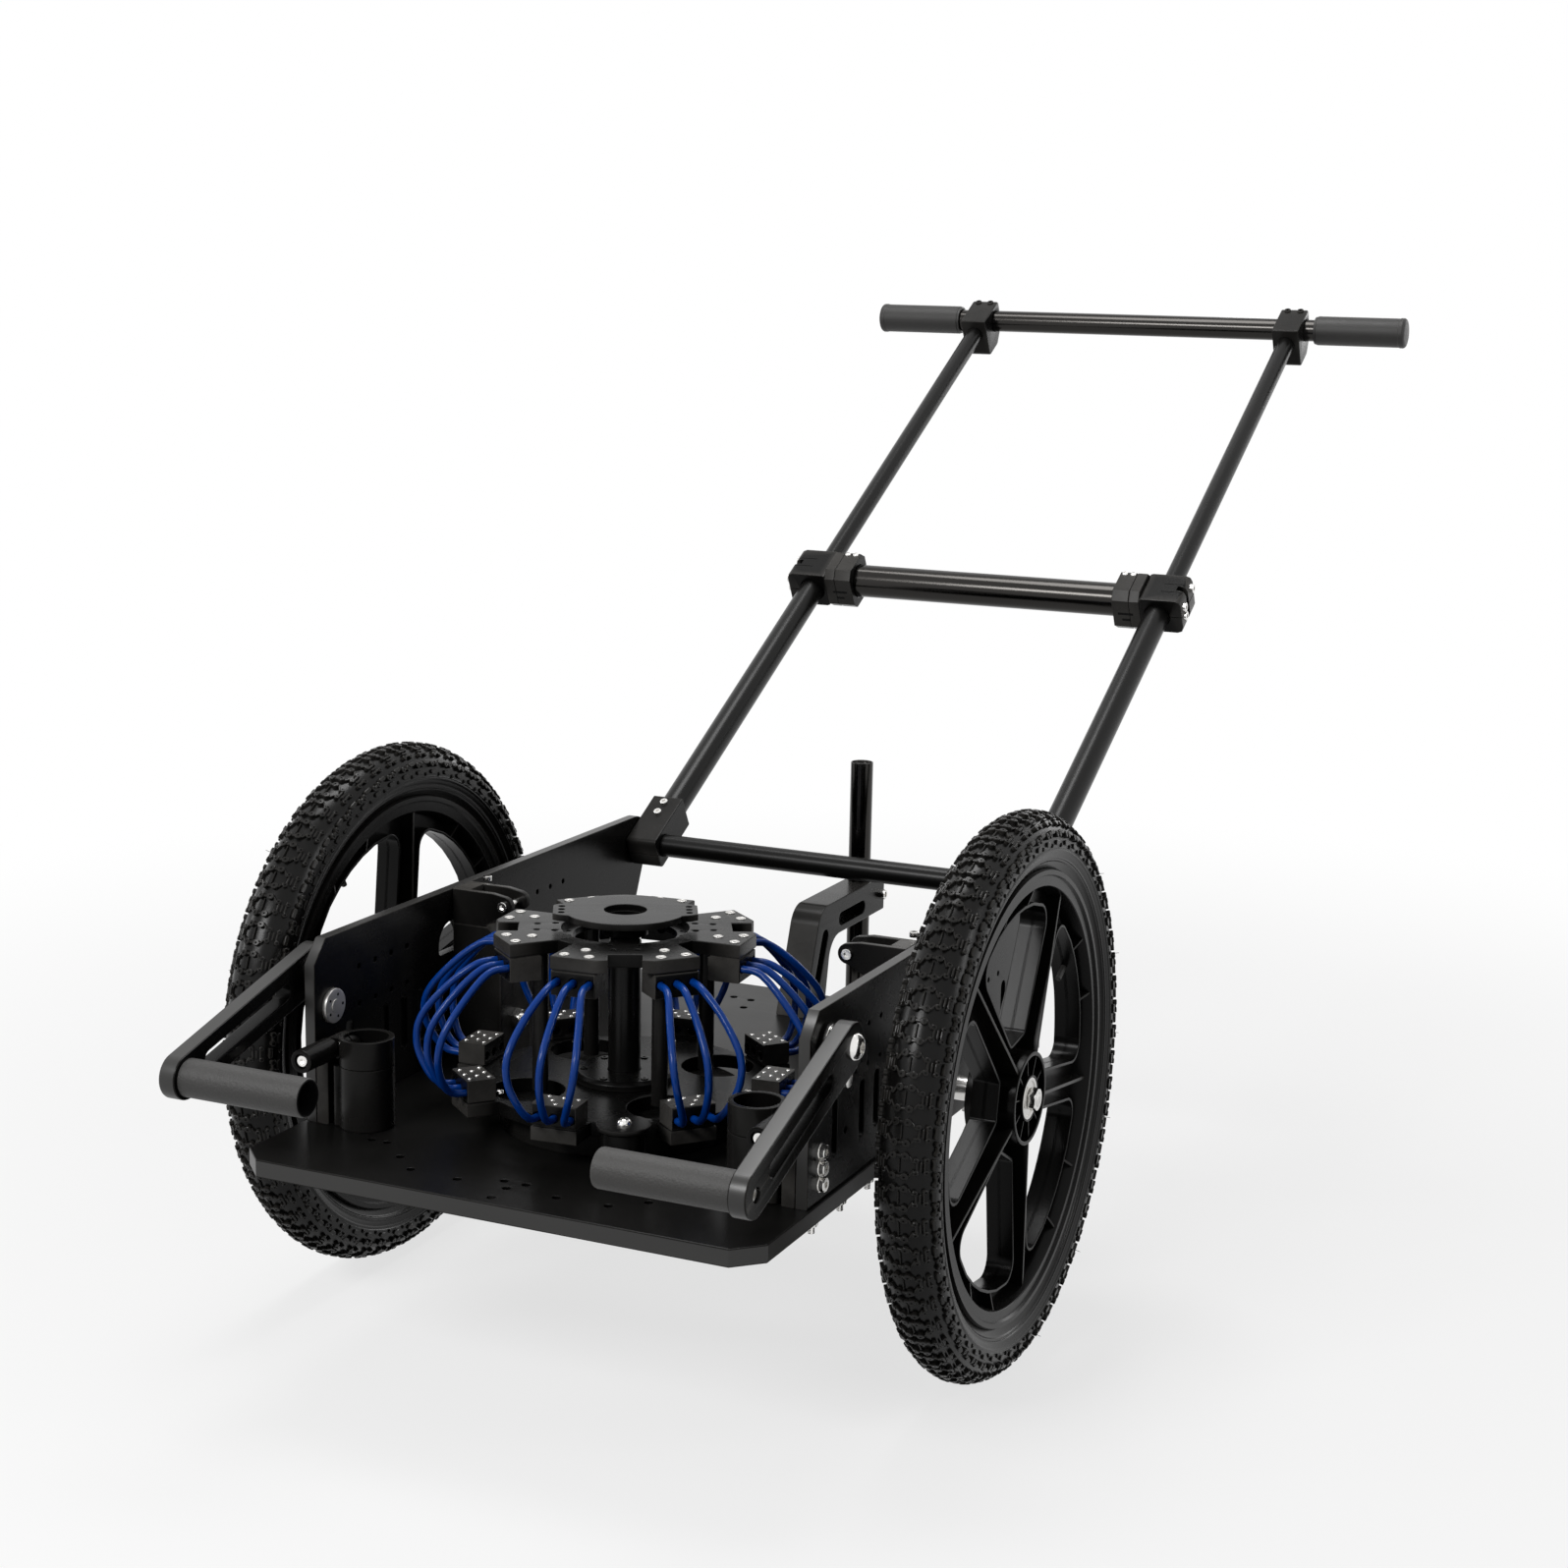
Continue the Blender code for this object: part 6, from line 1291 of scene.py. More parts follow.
def handle_grip(side, sign):
    """Rubber grip with a thicker end and a collar at its inner rim."""
    end = TOP_BAR_HALF
    start = end - 0.118
    grip_r = 0.0186
    end_r = 0.0192
    rim_r = 0.0178
    profile = [(0, end), (0.0145, end), (rim_r, end - 0.001), (end_r, end - 0.003), (end_r, end - 0.0075),
               (grip_r, end - 0.0085), (grip_r, start + 0.0035), (rim_r, start + 0.003), (rim_r, start),
               (0.0143, start), (0.0143, end - 0.003), (0, end - 0.003)]
    bm = lathe([(r, sign * h) for r, h in profile], 0.0012, "X", (0, TOP_AT, 0))
    piece(f"rubber_grip_{side}", bm, "grip_rubber", "handle_upper", HANDLE, [f"handle_grip_{side}"])


# Front arms, each in a frame on its pivot with -Y along the arm

def front_arm(side, sign):
    """Slotted carrying arm with a screw sunk in its outer face, opposite the grip."""
    sunk = ARM_OUT - 0.006
    screw_r = 0.0065
    outline = arc((0, 0), 0.0205, -90, 90, 20) + arc((-ARM_LENGTH, 0), 0.0195, 90, 270, 20)
    holes = [slot((-0.165, 0), (-0.052, 0), 0.007, 12), circle((0, 0), 0.0054)]
    bm = bmesh.new()
    plate(bm, outline, sign * ARM_IN, sign * ARM_OUT, "yz", holes, edge=BLOCK_CORNER)
    recess = bmesh.new()
    rod(recess, sign * sunk, sign * (ARM_OUT + 0.01), screw_r, "X", (0, -ARM_LENGTH, 0))
    bm = carved(bm, recess)
    mark_edge_faces(bm, 0, lambda p: abs(p.z) > 0.012 or p.y > 0.006 or p.y < -ARM_LENGTH - 0.006)
    piece(f"swing_arm_{side}", bm, "black_anodised", f"arm_{side}", arm_place(side), [f"front_arm_{side}"],
          trim="milled_and_lit_edge")
    bm = bmesh.new()
    cap_screw(bm, (sign * sunk, -ARM_LENGTH, 0), (sign, 0, 0), 0.0058, 0.004)
    piece(f"arm_end_screw_{side}", bm, "turned_steel", f"arm_{side}", arm_place(side))


def front_grip(side, sign):
    """Hollow grip, rounded at both ends, with its bore lined in painted shade."""
    outer = ARM_IN - GAP
    inner = 0.1335
    grip_r = 0.0165
    bore = 0.015
    profile = [(0, outer), (0.0162, outer), (grip_r, outer - 0.001), (grip_r, inner + 0.002), (0.0158, inner),
               (bore, inner), (bore, outer - 0.01), (0, outer - 0.01)]
    bm = lathe([(r, sign * h) for r, h in profile], 0.001, "X", (0, -ARM_LENGTH, 0))
    piece(f"foam_grip_{side}", bm, "grip_foam", f"arm_{side}", arm_place(side), [f"front_grip_{side}"])
    # Dark tube inside the bore: painted shade.
    bm = bmesh.new()
    pipe(bm, sign * (inner - 0.0004), sign * (outer - 0.011), 0.0151, 0.0142, "X", (0, -ARM_LENGTH, 0))
    piece(f"grip_bore_shade_{side}", bm, "painted_bore_shade", f"arm_{side}", arm_place(side))


def arm_hardware(side, sign):
    """Pivot bolt and stop bolt of an arm."""
    pivot = (0, ARM_PIVOT_Y, ARM_PIVOT_Z)
    bm = bmesh.new()
    button_screw(bm, (sign * ARM_OUT, ARM_PIVOT_Y, ARM_PIVOT_Z), (sign, 0, 0), 0.0115, 0.0065)
    rod(bm, sign * (PLATE_IN + 0.001), sign * ARM_OUT, 0.005, "X", pivot)
    piece(f"pivot_bolt_{side}", bm, "bright_screw", "chassis", nodes=[f"arm_pivot_bolt_{side}"])
    drop = 0.0273 / math.cos(ARM_DROP["right"])
    stop = (0, ARM_PIVOT_Y, ARM_PIVOT_Z - drop)
    bm = bmesh.new()
    rod(bm, sign * (PLATE_IN + 0.001), sign * PLATE_OUT, 0.004, "X", stop)
    rod(bm, sign * (PLATE_OUT + GAP), sign * (ARM_OUT - 0.004), 0.0065, "X", stop)
    piece(f"stop_bolt_{side}", bm, "bright_screw", "chassis", nodes=[f"arm_stop_{side}"])


def stop_disc(side, sign):
    """Round nut on a side plate's inner face, with a middle boss and a ring of five small dark discs, painted
    shade where its holes would be.
    """
    inner = PLATE_IN - GAP
    middle_y = -0.2313
    middle_z = 0.32
    ring = 0.0105
    centre = (0, middle_y, middle_z)
    bm = bmesh.new()
    rod(bm, sign * (inner - 0.004), sign * (inner + 0.001), 0.0158, "X", centre, edge=WIDE_EDGE)
    rod(bm, sign * (inner - 0.0046), sign * (inner - 0.003), 0.0062, "X", centre, edge=LIGHT_EDGE)
    piece(f"stop_disc_{side}", bm, "satin_steel", "chassis")
    # Five dark discs on the nut's face: painted shade standing in for holes.
    bm = bmesh.new()
    for k in range(5):
        a = 2 * math.pi * k / 5
        spot = (0, middle_y + ring * math.cos(a), middle_z + ring * math.sin(a))
        rod(bm, sign * (inner - 0.0042), sign * (inner - 0.003), 0.0014, "X", spot, steps=12, edge=HAIR_EDGE)
    piece(f"stop_nut_hole_shade_{side}", bm, "painted_bore_shade", "chassis")


# Clamp sockets at the front corners of the deck

SOCKET_R = 0.0245
SOCKET_BORE = 0.0195
COLLAR_LOW = DECK_TOP + 0.0568
COLLAR_HIGH = DECK_TOP + 0.082
COLLAR_BOLT_Z = (COLLAR_LOW + COLLAR_HIGH) / 2 + 0.001
COLLAR_BOLT_X = SOCKET_X + 0.0285


def clamp_socket(side, sign):
    """Round socket with a bead of three ribs on its outer side."""
    x = sign * SOCKET_X
    top = DECK_TOP + 0.0565
    floor = DECK_TOP + 0.005
    profile = [(0, PLATE_BOTTOM), (SOCKET_R, PLATE_BOTTOM), (SOCKET_R, top), (SOCKET_BORE, top),
               (SOCKET_BORE, floor), (0, floor)]
    bm = lathe(profile, 0.0008, centre=(x, SOCKET_Y, 0))
    for turn in (-28, 0, 28):
        a = math.radians(turn)
        spot = (x + sign * SOCKET_R * math.cos(a), SOCKET_Y + SOCKET_R * math.sin(a), 0)
        rod(bm, PLATE_BOTTOM + 0.0005, top - 0.001, 0.005, centre=spot, steps=24)
    piece(f"rod_socket_{side}", bm, "black_anodised", "chassis", nodes=[f"socket_body_{side}"])


def clamp_collar(side, sign):
    """Split collar on the socket, with an ear for the knob's screw."""
    ear_x = sign * COLLAR_BOLT_X
    bm = bmesh.new()
    centre = (sign * SOCKET_X, SOCKET_Y, 0)
    pipe(bm, COLLAR_LOW, COLLAR_HIGH, SOCKET_R, SOCKET_BORE, centre=centre, edge=ROUND_EDGE)
    ear = slot((COLLAR_BOLT_Z, sign * (SOCKET_X + 0.0235)), (COLLAR_BOLT_Z, ear_x), 0.0095, 12)
    bore = [circle((COLLAR_BOLT_Z, ear_x), 0.0034)]
    plate(bm, ear, SOCKET_Y - 0.012, SOCKET_Y + 0.012, "zx", bore, edge=ROUND_EDGE)
    near, far = sorted((sign * (SOCKET_X + 0.015), sign * (SOCKET_X + 0.05)))
    bm = split_line(bm, box(near, far, SOCKET_Y - 0.001, SOCKET_Y + 0.001), COLLAR_LOW - 0.01,
                    COLLAR_HIGH + 0.01)
    piece(f"clamp_ring_{side}", bm, "black_anodised", "chassis", nodes=[f"socket_collar_{side}"])


def clamp_knob(side, sign):
    """Plain knob on its bright spacer, with a screw sunk in its end."""
    front = SOCKET_Y - 0.0124
    knob_r = 0.0105
    floor = -0.042
    rim = -0.047
    centre = (sign * COLLAR_BOLT_X, front, COLLAR_BOLT_Z)
    profile = [(0, floor), (0.0066, floor), (0.0066, rim), (knob_r, rim), (knob_r, -0.004), (0, -0.004)]
    bm = lathe(profile, 0.0012, "Y", centre)
    piece(f"knob_{side}", bm, "moulded_black", f"knob_{side}", nodes=[f"clamp_knob_{side}"])
    bm = bmesh.new()
    rod(bm, -0.0045, 0, 0.0058, "Y", centre, steps=32)
    rod(bm, -0.004, 0.0288, 0.003, "Y", centre, steps=24)
    cap_screw(bm, (centre[0], front + floor, COLLAR_BOLT_Z), (0, -1, 0), 0.0052, 0.0035)
    cap_screw(bm, (centre[0], front + 0.0248, COLLAR_BOLT_Z), (0, 1, 0), 0.0058, 0.004)
    piece(f"knob_screw_{side}", bm, "bright_screw", f"knob_{side}")


# Vibration isolator, in its frame on the deck; -Y there is the middle of the front lobe

PEDESTAL_H = 0.0242
BASE_Z = PEDESTAL_H + 0.0006
BASE_TOP = BASE_Z + 0.0125
TOP_PLATE_Z = 0.1645
TOP_PLATE_TOP = TOP_PLATE_Z + 0.012
PETAL_TURNS = [22.5 + 45 * k for k in range(8)]
COLUMN_TURNS = (22.5, 112.5, 202.5, 292.5)
LOWER_BLOCK_H = 0.0205
UPPER_BLOCK_H = 0.0225
ROPE_LOW = 0.0088
ROPE_HIGH = 0.0105
ROPE_R = 0.0033
ROPE_PITCH = 0.015
ROPE_SIDES = 24
ROPE_LAY = 0.034
ROPE_STRANDS = 6
STRAND_DEPTH = 0.045
ROUTE_STEPS = 24
SEAT_R = 0.0567
PETAL_HALF_W = 0.021
NECK_BORE = 0.0155


def polar(radius, degrees, across=0.0):
    """Point at a radius in a direction counted from -Y towards +X, shifted sideways by across."""
    a = math.radians(degrees)
    return (radius * math.sin(a) + across * math.cos(a), -radius * math.cos(a) + across * math.sin(a))


def petal_place(turn):
    """Matrix with X across a petal, Y up and Z outward along it."""
    a = math.radians(turn)
    return Matrix(((math.cos(a), 0, math.sin(a), 0), (math.sin(a), 0, -math.cos(a), 0), (0, 1, 0, 0),
                   (0, 0, 0, 1)))


def pedestal():
    """Ring that stands the isolator off the deck."""
    bm = bmesh.new()
    pipe(bm, GAP, PEDESTAL_H + GAP, 0.112, 0.05, edge=ROUND_EDGE, steps=96)
    piece("isolator_ring", bm, "black_anodised", "chassis", ISOLATOR, ["isolator_pedestal"])


def rope_block(bm, turn, span, height, bore_h):
    """Rope block of one petal between two radii, over a range of heights, with its three bores."""
    outline = box(-0.0205, 0.0205, *height)
    bores = [circle(((lane - 1) * ROPE_PITCH, bore_h), ROPE_R + 0.0005, 20) for lane in range(3)]
    plate(bm, outline, *span, holes=bores, edge=SOFT_EDGE, where=petal_place(turn))


def block_seat(bm, turn, span, height):
    """Narrower foot that shows as a seam between a rope block and its plate."""
    plate(bm, box(-0.0195, 0.0195, *height), *span, edge=SEAM_EDGE, where=petal_place(turn))


def base_plate():
    """Eight-petalled plate with four round openings, carrying the lower rope blocks."""
    outline = []
    for turn in PETAL_TURNS:
        outline += [polar(0.155, turn, -PETAL_HALF_W), polar(0.155, turn, PETAL_HALF_W)]
        outline += [polar(0.1285, turn + 22.5 + shift) for shift in (-12.4, -4, 4, 12.4)]
    holes = [circle(polar(0.092, turn), 0.033, 48) for turn in COLUMN_TURNS]
    holes.append(circle((0, 0), 0.0155, 40))
    bm = bmesh.new()
    plate(bm, outline, BASE_Z, BASE_TOP, holes=holes, edge=ROUND_EDGE)
    screws = bmesh.new()
    block_top = BASE_TOP + LOWER_BLOCK_H
    wide = (-0.0135, 0, 0.0135)
    for turn in PETAL_TURNS:
        rope_block(bm, turn, (0.128, 0.1548), (BASE_TOP + 0.0012, block_top), BASE_TOP + ROPE_LOW)
        block_seat(bm, turn, (0.13, 0.1535), (BASE_TOP - 0.001, BASE_TOP + 0.002))
        for r, places in ((0.1325, wide), (0.1415, (-0.0068, 0.0068)), (0.1505, wide)):
            for across in places:
                button_screw(screws, (*polar(r, turn, across), block_top), (0, 0, 1), 0.002, 0.0009)
        button_screw(screws, (*polar(0.118, turn, 0), BASE_TOP), (0, 0, 1), 0.0042, 0.0026)
    piece("isolator_base", bm, "black_anodised", "chassis", ISOLATOR, ["isolator_base_plate"])
    piece("isolator_base_screws", screws, "bright_screw", "chassis", ISOLATOR)


def guide_flange():
    """Flange round the foot of the column, held by six low screws."""
    low = BASE_TOP + GAP
    bore = 0.0149
    profile = [(bore, low), (0.045, low), (0.045, low + 0.005), (0.042, low + 0.008), (bore, low + 0.008)]
    bm = lathe(profile, 0.0008, closed=True)
    piece("column_guide", bm, "black_anodised", "chassis", ISOLATOR, ["guide_flange"])
    bm = bmesh.new()
    for k in range(6):
        cap_screw(bm, (*polar(0.036, 30 + 60 * k), low + 0.0078), (0, 0, 1), 0.0034, 0.0012)
    piece("column_guide_screws", bm, "moulded_black", "chassis", ISOLATOR)


def hold_down():
    """Waisted puck in front of the isolator, with a domed bolt in its top."""
    centre = (*polar(0.154, 0), 0)
    wide = 0.0235
    waist = 0.0195
    top = 0.046
    dome_r = 0.0065
    profile = [(0, GAP), (wide, GAP), (wide, 0.016), (waist, 0.018), (waist, 0.041), (wide, 0.042),
               (wide, top), (0, top)]
    bm = lathe(profile, 0.0012, centre=centre)
    piece("hold_down_puck", bm, "black_anodised", "chassis", ISOLATOR, ["isolator_hold_down"])
    dome = [(0, top - 0.0005)]
    for k in range(6):
        a = math.radians(15 * k)
        dome.append((dome_r * math.cos(a), top + 0.005 * math.sin(a)))
    dome.append((0, top + 0.005))
    bm = bmesh.new()
    turned(bm, dome, centre=centre, steps=32)
    piece("hold_down_bolt", bm, "bright_screw", "chassis", ISOLATOR)


def top_plate():
    """Plate of eight petals round a seat, with its shelf and bar, the upper rope blocks and four columns."""
    tip = 0.116
    notch_w = 0.0145
    outline = []
    holes = []
    shelf = []
    for lobe in range(0, 360, 90):
        before = lobe - 22.5
        after = lobe + 22.5
        outline += [polar(tip, before, -PETAL_HALF_W), polar(tip, before, PETAL_HALF_W)]
        outline += [polar(0.113, lobe, -notch_w), polar(0.095, lobe, -notch_w)]
        outline += [polar(0.095, lobe, notch_w), polar(0.113, lobe, notch_w)]
        outline += [polar(tip, after, -PETAL_HALF_W), polar(tip, after, PETAL_HALF_W)]
        outline += [polar(0.074, lobe + 38), polar(0.074, lobe + 52)]
        for side in (-1, 1):
            holes += [circle(polar(0.062, lobe, side * 0.013), 0.0026, 16),
                      circle(polar(0.078, lobe, side * 0.0105), 0.0026, 16)]
            shelf.append(circle(polar(0.051, lobe + side * 9), 0.0022, 12))
    holes.append(circle((0, 0), SEAT_R, 72))
    shelf.append(circle((0, 0), 0.046, 64))
    bm = bmesh.new()
    plate(bm, outline, TOP_PLATE_Z, TOP_PLATE_TOP, holes=holes, edge=SOFT_EDGE)
    plate(bm, circle((0, 0), SEAT_R + 0.001, 72), TOP_PLATE_Z, TOP_PLATE_Z + 0.006, holes=shelf)
    plate(bm, box(-0.013, 0.013, -0.0465, 0.0465), TOP_PLATE_Z, TOP_PLATE_Z + 0.0058)
    screws = bmesh.new()
    block = (TOP_PLATE_Z - UPPER_BLOCK_H, TOP_PLATE_Z - 0.0012)
    for turn in PETAL_TURNS:
        rope_block(bm, turn, (0.086, 0.1158), block, TOP_PLATE_Z - ROPE_HIGH)
        block_seat(bm, turn, (0.088, 0.1145), (TOP_PLATE_Z - 0.002, TOP_PLATE_Z + 0.001))
        for r, across in ((0.1075, -0.0115), (0.1075, 0.0115), (0.088, 0)):
            flush_screw(screws, (*polar(r, turn, across), TOP_PLATE_TOP), (0, 0, 1), 0.0045)
    for turn in COLUMN_TURNS:
        rod(bm, 0.036, TOP_PLATE_Z + 0.001, 0.0072, centre=(*polar(0.08, turn), 0), steps=40)
    piece("isolator_head", bm, "black_anodised", "isolator_platform", ISOLATOR, ["isolator_top_plate"])
    piece("isolator_head_screws", screws, "satin_steel", "isolator_platform", ISOLATOR)


def centre_column():
    """Column under the middle of the isolator's top plate."""
    bm = bmesh.new()
    rod(bm, 0.0285, TOP_PLATE_Z - GAP, 0.0145, steps=64)
    piece("guide_column", bm, "satin_black_tube", "isolator_platform", ISOLATOR, ["centre_column"])


def payload_plate():
    """Round plate with two flats and hole rows, on a stepped neck."""
    low = TOP_PLATE_TOP + GAP
    bottom = low + 0.0095
    disc_r = 0.055
    flat_r = 0.064
    half_w = 0.016
    meet = math.degrees(math.asin(0.023 / disc_r))
    outline = []
    holes = [circle((0, 0), 0.019, 48)]
    for turn in (90, 270):
        outline += [polar(0.059, turn, -0.02), polar(flat_r, turn, -half_w), polar(flat_r, turn, half_w),
                    polar(0.059, turn, 0.02)]
        outline += [polar(disc_r, turn + meet + (180 - 2 * meet) * k / 24) for k in range(25)]
        holes += [circle(polar(0.0565, turn, across), 0.0028, 16) for across in (-0.011, 0, 0.011)]
    bm = bmesh.new()
    plate(bm, outline, bottom, bottom + 0.006, holes=holes, edge=EASED_EDGE)
    bore = NECK_BORE
    foot = TOP_PLATE_Z + 0.006
    neck = [(bore, foot), (0.0205, foot), (0.0205, low), (0.023, low + 0.004), (0.023, bottom + 0.0006),
            (bore, bottom + 0.0006)]
    turned(bm, softened(neck, 0.0006, True), closed=True)
    piece("payload_mount", bm, "black_anodised", "isolator_platform", ISOLATOR, ["payload_plate"])


def rope_route(turn, lane):
    """Points that one rope loop bulges through, from the upper block out and down to the lower one."""
    high = TOP_PLATE_Z - ROPE_HIGH
    low = BASE_TOP + ROPE_LOW
    keys = [(0.100, high), (0.1163, high), (0.1343, high - 0.003), (0.158, high - 0.022),
            (0.179, high - 0.048), (0.184, high - 0.071), (0.178, low + 0.015), (0.1683, low + 0.0025),
            (0.1553, low), (0.138, low)]
    side = (lane - 1) * ROPE_PITCH
    points = []
    for r, z in keys:
        swell = 1 + 1.05 * math.sin(math.pi * (high - z) / (high - low))
        points.append(Vector((*polar(r, turn, side * swell), z)))
    return points


def spread_route(points, spacing):
    """Evenly spread points on a smooth curve through the given ones."""
    fine = []
    last = len(points) - 1
    for i in range(last):
        p0 = points[max(i - 1, 0)]
        p1 = points[i]
        p2 = points[i + 1]
        p3 = points[min(i + 2, last)]
        for k in range(ROUTE_STEPS):
            t = k / ROUTE_STEPS
            fine.append(0.5 * (2 * p1 + (p2 - p0) * t + (2 * p0 - 5 * p1 + 4 * p2 - p3) * t ** 2
                               + (3 * p1 - p0 - 3 * p2 + p3) * t ** 3))
    fine.append(points[-1])
    spread = [fine[0]]
    gone = 0.0
    for a, b in zip(fine, fine[1:]):
        gone += (b - a).length
        if gone >= spacing:
            spread.append(b)
            gone = 0.0
    return spread


def rope(bm, points, side):
    """Sleeved wire rope along a route, with its strands showing as a shallow twist."""
    rings = []
    last = len(points) - 1
    run = 0.0
    for i, point in enumerate(points):
        along = (points[min(i + 1, last)] - points[max(i - 1, 0)]).normalized()
        over = side.cross(along).normalized()
        across = along.cross(over)
        if i:
            run += (point - points[i - 1]).length
        loop = []
        for k in range(ROPE_SIDES):
            a = 2 * math.pi * k / ROPE_SIDES
            ridge = abs(math.sin(ROPE_STRANDS * (a - math.pi * run / ROPE_LAY) / 2))
            r = ROPE_R * (1 - STRAND_DEPTH + STRAND_DEPTH * ridge)
            loop.append(bm.verts.new(point + (across * math.cos(a) + over * math.sin(a)) * r))
        rings.append(loop)
    for a, b in zip(rings, rings[1:]):
        for k in range(ROPE_SIDES):
            j = (k + 1) % ROPE_SIDES
            bm.faces.new((a[k], a[j], b[j], b[k]))
    bm.faces.new(list(reversed(rings[0])))
    bm.faces.new(rings[-1])


def wire_ropes():
    """Three rope loops on each petal, which bend between the chassis and the payload platform."""
    bm = bmesh.new()
    for turn in PETAL_TURNS:
        side = Vector((*polar(0, turn, 1), 0))
        for lane in range(3):
            rope(bm, spread_route(rope_route(turn, lane), 0.0022), side)
    bmesh.ops.recalc_face_normals(bm, faces=bm.faces[:])
    loops = piece("rope_loops", bm, "blue_sleeve", None, ISOLATOR, ["wire_ropes"])
    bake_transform(loops)


# Camera, floor and light

FLOOR_TO_PARTS = (0.16, 0.16, 0.16)
FLOOR_TO_CAMERA = (0.85, 0.85, 0.85)


def photo_camera():
    """Camera solved from the photograph; it looks down and to the left past the right wheel."""
    place = Vector((1.0579, AXLE_Y - 2.1204, 0.9818))
    yaw = math.radians(24.33)
    pitch = math.radians(11.37)
    roll = math.radians(1.14)
    ahead = Vector((-math.sin(yaw) * math.cos(pitch), math.cos(yaw) * math.cos(pitch), -math.sin(pitch)))
    level = ahead.cross(Vector((0, 0, 1))).normalized()
    lift = level.cross(ahead)
    right = level * math.cos(roll) + lift * math.sin(roll)
    up = lift * math.cos(roll) - level * math.sin(roll)
    data = bpy.data.cameras.new("photo_camera")
    data.lens = 60.4
    data.sensor_width = 36
    camera = bpy.data.objects.new("photo_camera", data)
    camera.matrix_world = Matrix.Translation(place) @ Matrix((right, up, -ahead)).transposed().to_4x4()
    bpy.context.scene.collection.objects.link(camera)
    bpy.context.scene.camera = camera


def white_rays(tree, path):
    """One for the rays that see the white background: the camera's and those that mirror or pass."""
    seen = math_node(tree, "MAXIMUM", path.outputs["Is Camera Ray"], path.outputs["Is Glossy Ray"])
    return math_node(tree, "MAXIMUM", seen, path.outputs["Is Transmission Ray"])


def white_floor():
    """Pale floor that keeps a faint shadow for the camera and fades into the white background."""
    bm = bmesh.new()
    bmesh.ops.create_grid(bm, x_segments=4, y_segments=4, size=14)
    mesh = bpy.data.meshes.new("floor")
    bm.to_mesh(mesh)
    bm.free()
    floor = bpy.data.objects.new("floor", mesh)
    bpy.context.scene.collection.objects.link(floor)
    material = bpy.data.materials.new("white_floor")
    material.use_nodes = True
    tree = material.node_tree
    shader = tree.nodes["Principled BSDF"]
    path = node(tree, "ShaderNodeLightPath")
    colour = mixed(tree, FLOOR_TO_PARTS, FLOOR_TO_CAMERA, path.outputs["Is Camera Ray"])
    tree.links.new(colour, shader.inputs["Base Color"])
    shader.inputs["Roughness"].default_value = 0.6
    shader.inputs["Specular IOR Level"].default_value = 0.1
    glow = node(tree, "ShaderNodeEmission", in_Color=(1, 1, 1, 1), in_Strength=1.0)
    place = node(tree, "ShaderNodeNewGeometry")
    reach = node(tree, "ShaderNodeVectorMath", operation="LENGTH")
    tree.links.new(place.outputs["Position"], reach.inputs[0])
    fade = node(tree, "ShaderNodeMapRange", interpolation_type="SMOOTHSTEP", in_From_Min=0.5, in_From_Max=2.0,
                in_To_Min=0.72)
    tree.links.new(reach.outputs["Value"], fade.inputs["Value"])
    blend = node(tree, "ShaderNodeMixShader")
    shown = math_node(tree, "MULTIPLY", white_rays(tree, path), fade.outputs[0])
    tree.links.new(shown, blend.inputs[0])
    tree.links.new(shader.outputs[0], blend.inputs[1])
    tree.links.new(glow.outputs[0], blend.inputs[2])
    tree.links.new(blend.outputs[0], tree.nodes["Material Output"].inputs["Surface"])
    mesh.materials.append(material)


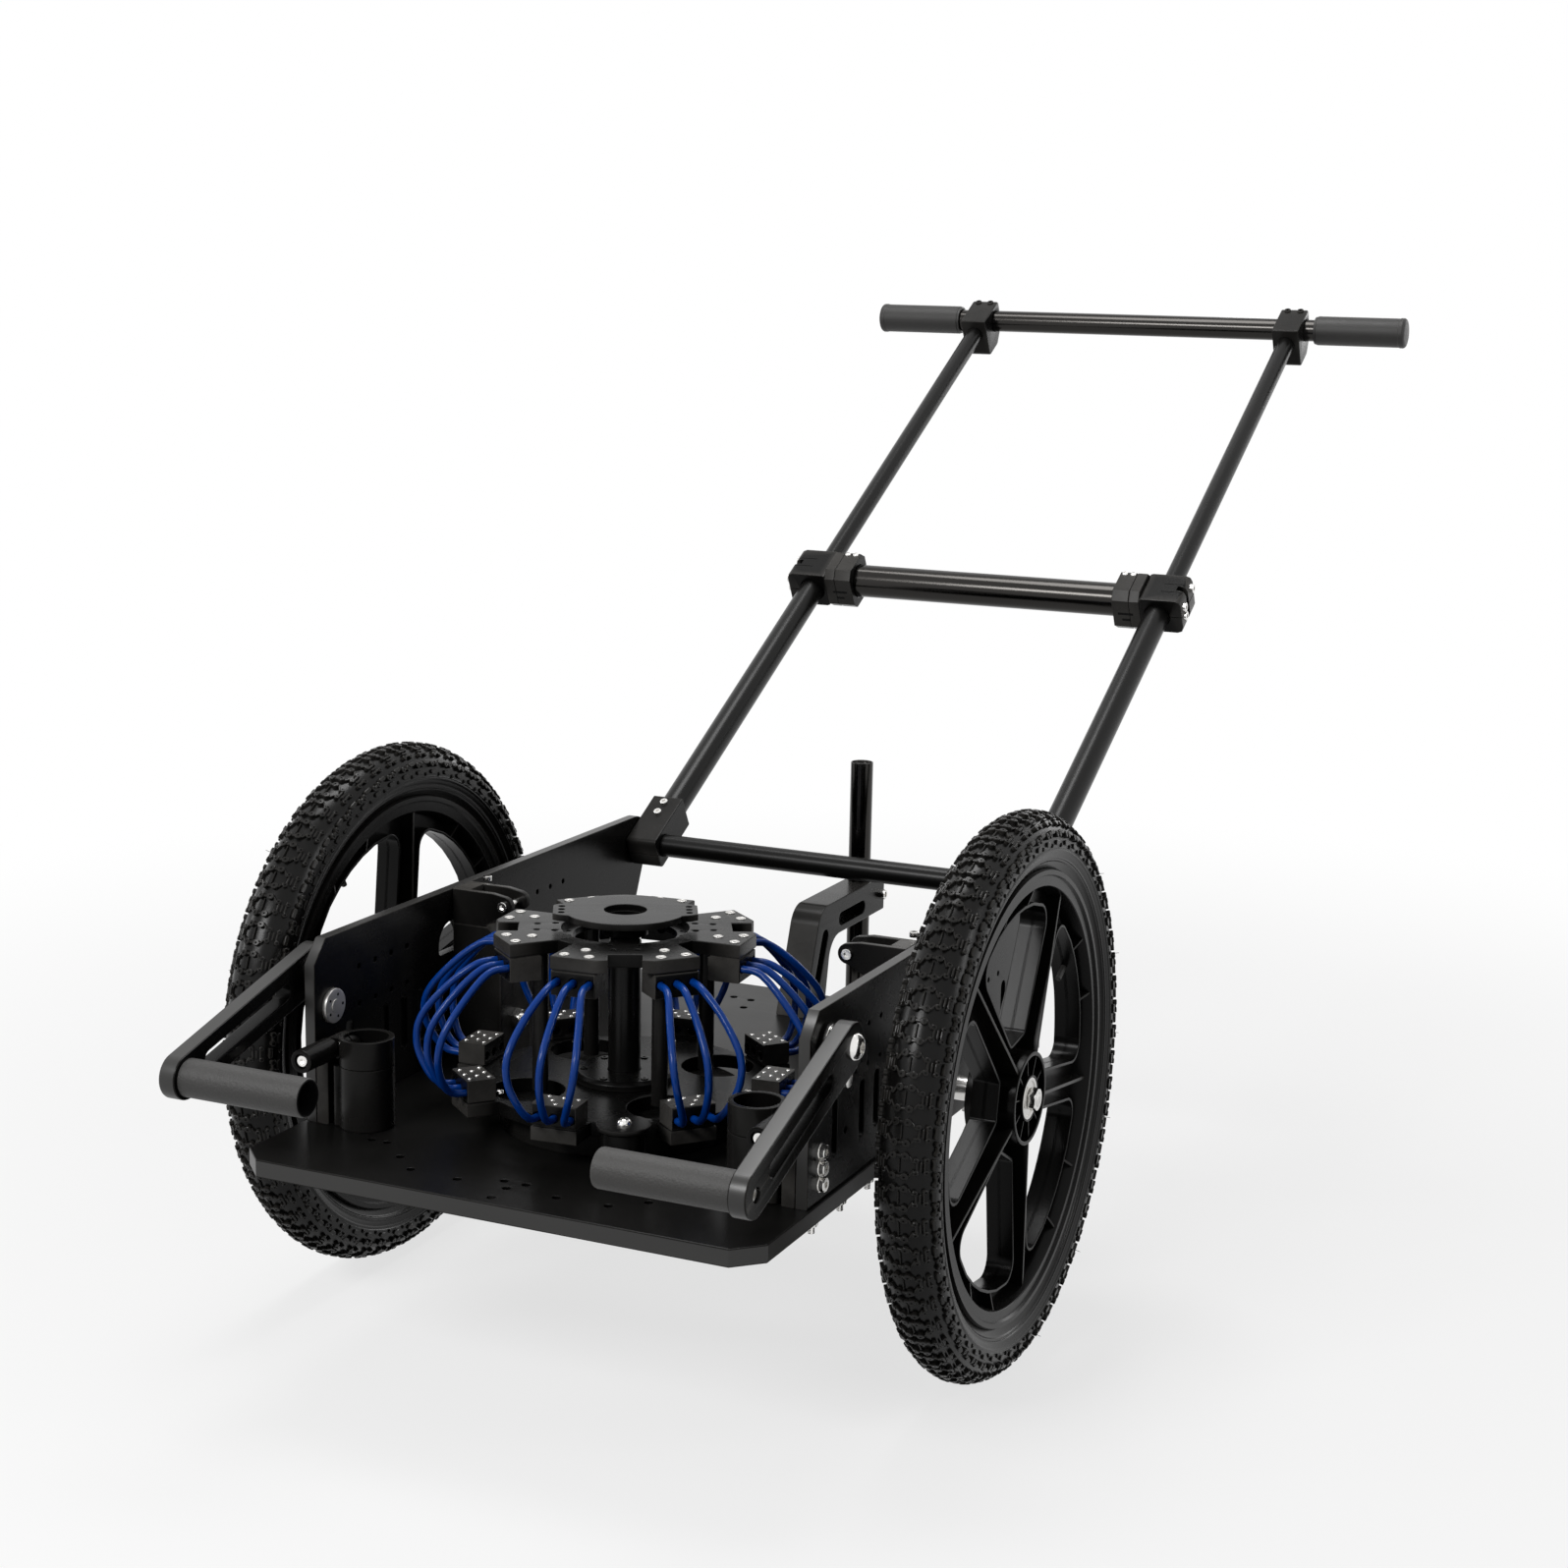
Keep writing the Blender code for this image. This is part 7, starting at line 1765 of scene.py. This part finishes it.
def studio_world():
    """Dim room that shows as white."""
    world = bpy.data.worlds.new("studio")
    bpy.context.scene.world = world
    world.use_nodes = True
    tree = world.node_tree
    plain = tree.nodes["Background"]
    plain.inputs["Color"].default_value = (1, 0.99, 0.97, 1)
    plain.inputs["Strength"].default_value = 0.05
    shown = node(tree, "ShaderNodeBackground", in_Color=(1, 1, 1, 1), in_Strength=1.0)
    path = node(tree, "ShaderNodeLightPath")
    blend = node(tree, "ShaderNodeMixShader")
    tree.links.new(white_rays(tree, path), blend.inputs[0])
    tree.links.new(plain.outputs[0], blend.inputs[1])
    tree.links.new(shown.outputs[0], blend.inputs[2])
    tree.links.new(blend.outputs[0], tree.nodes["World Output"].inputs["Surface"])


def soft_light(name, place, target, width, height, power):
    """Rectangular lamp at a place, facing a target."""
    data = bpy.data.lights.new(name, "AREA")
    data.shape = "RECTANGLE"
    data.size = width
    data.size_y = height
    data.energy = power
    lamp = bpy.data.objects.new(name, data)
    look = Vector(target) - Vector(place)
    lamp.matrix_world = Matrix.Translation(place) @ look.to_track_quat("-Z", "Y").to_matrix().to_4x4()
    bpy.context.scene.collection.objects.link(lamp)


# Name, place, target, width, height and power of each soft light
LIGHTS = (
    ("top_bank", (-0.5, 0.3, 3.2), (0, -0.2, 0.3), 1.6, 1.0, 42),
    ("front_bank", (-0.9, -3.4, 2.5), (0, -0.3, 0.4), 1.3, 0.9, 66),
    ("left_bank", (-3.2, -1.2, 1.4), (0, -0.4, 0.35), 0.4, 1.4, 12),
    ("right_bank", (3.2, 0.2, 1.8), (0.2, -0.3, 0.35), 0.4, 1.4, 16),
    ("back_bank", (0.3, 3.8, 1.3), (0, 0, 0.4), 2.0, 1.0, 15),
)


def studio():
    """Camera, floor, world and lights."""
    bpy.context.scene.view_settings.view_transform = "Standard"
    photo_camera()
    white_floor()
    studio_world()
    for light in LIGHTS:
        soft_light(*light)


SIDE_PARTS = (side_plate, plate_hardware, corner_block, axle_housing, clevis, clevis_pin, stub_axle, hub_nut,
              tyre, wheel, valve, bearing, front_arm, front_grip, arm_hardware, stop_disc, clamp_socket,
              clamp_collar, clamp_knob, base_clamp, lower_tube, mid_clamp, mid_clamp_trim, upper_tube,
              top_clamp, handle_grip)
MIDDLE_PARTS = (deck_studs, rear_bracket, leg_bolt, support_leg, crossbar, cross_tube, top_bar, pedestal,
                base_plate, guide_flange, hold_down, top_plate, centre_column, payload_plate, wire_ropes)


def cart():
    """Every piece of the cart, the paired ones on both sides."""
    deck()
    for side, sign in SIDES:
        for build in SIDE_PARTS:
            build(side, sign)
    for build in MIDDLE_PARTS:
        build()


cart()
studio()
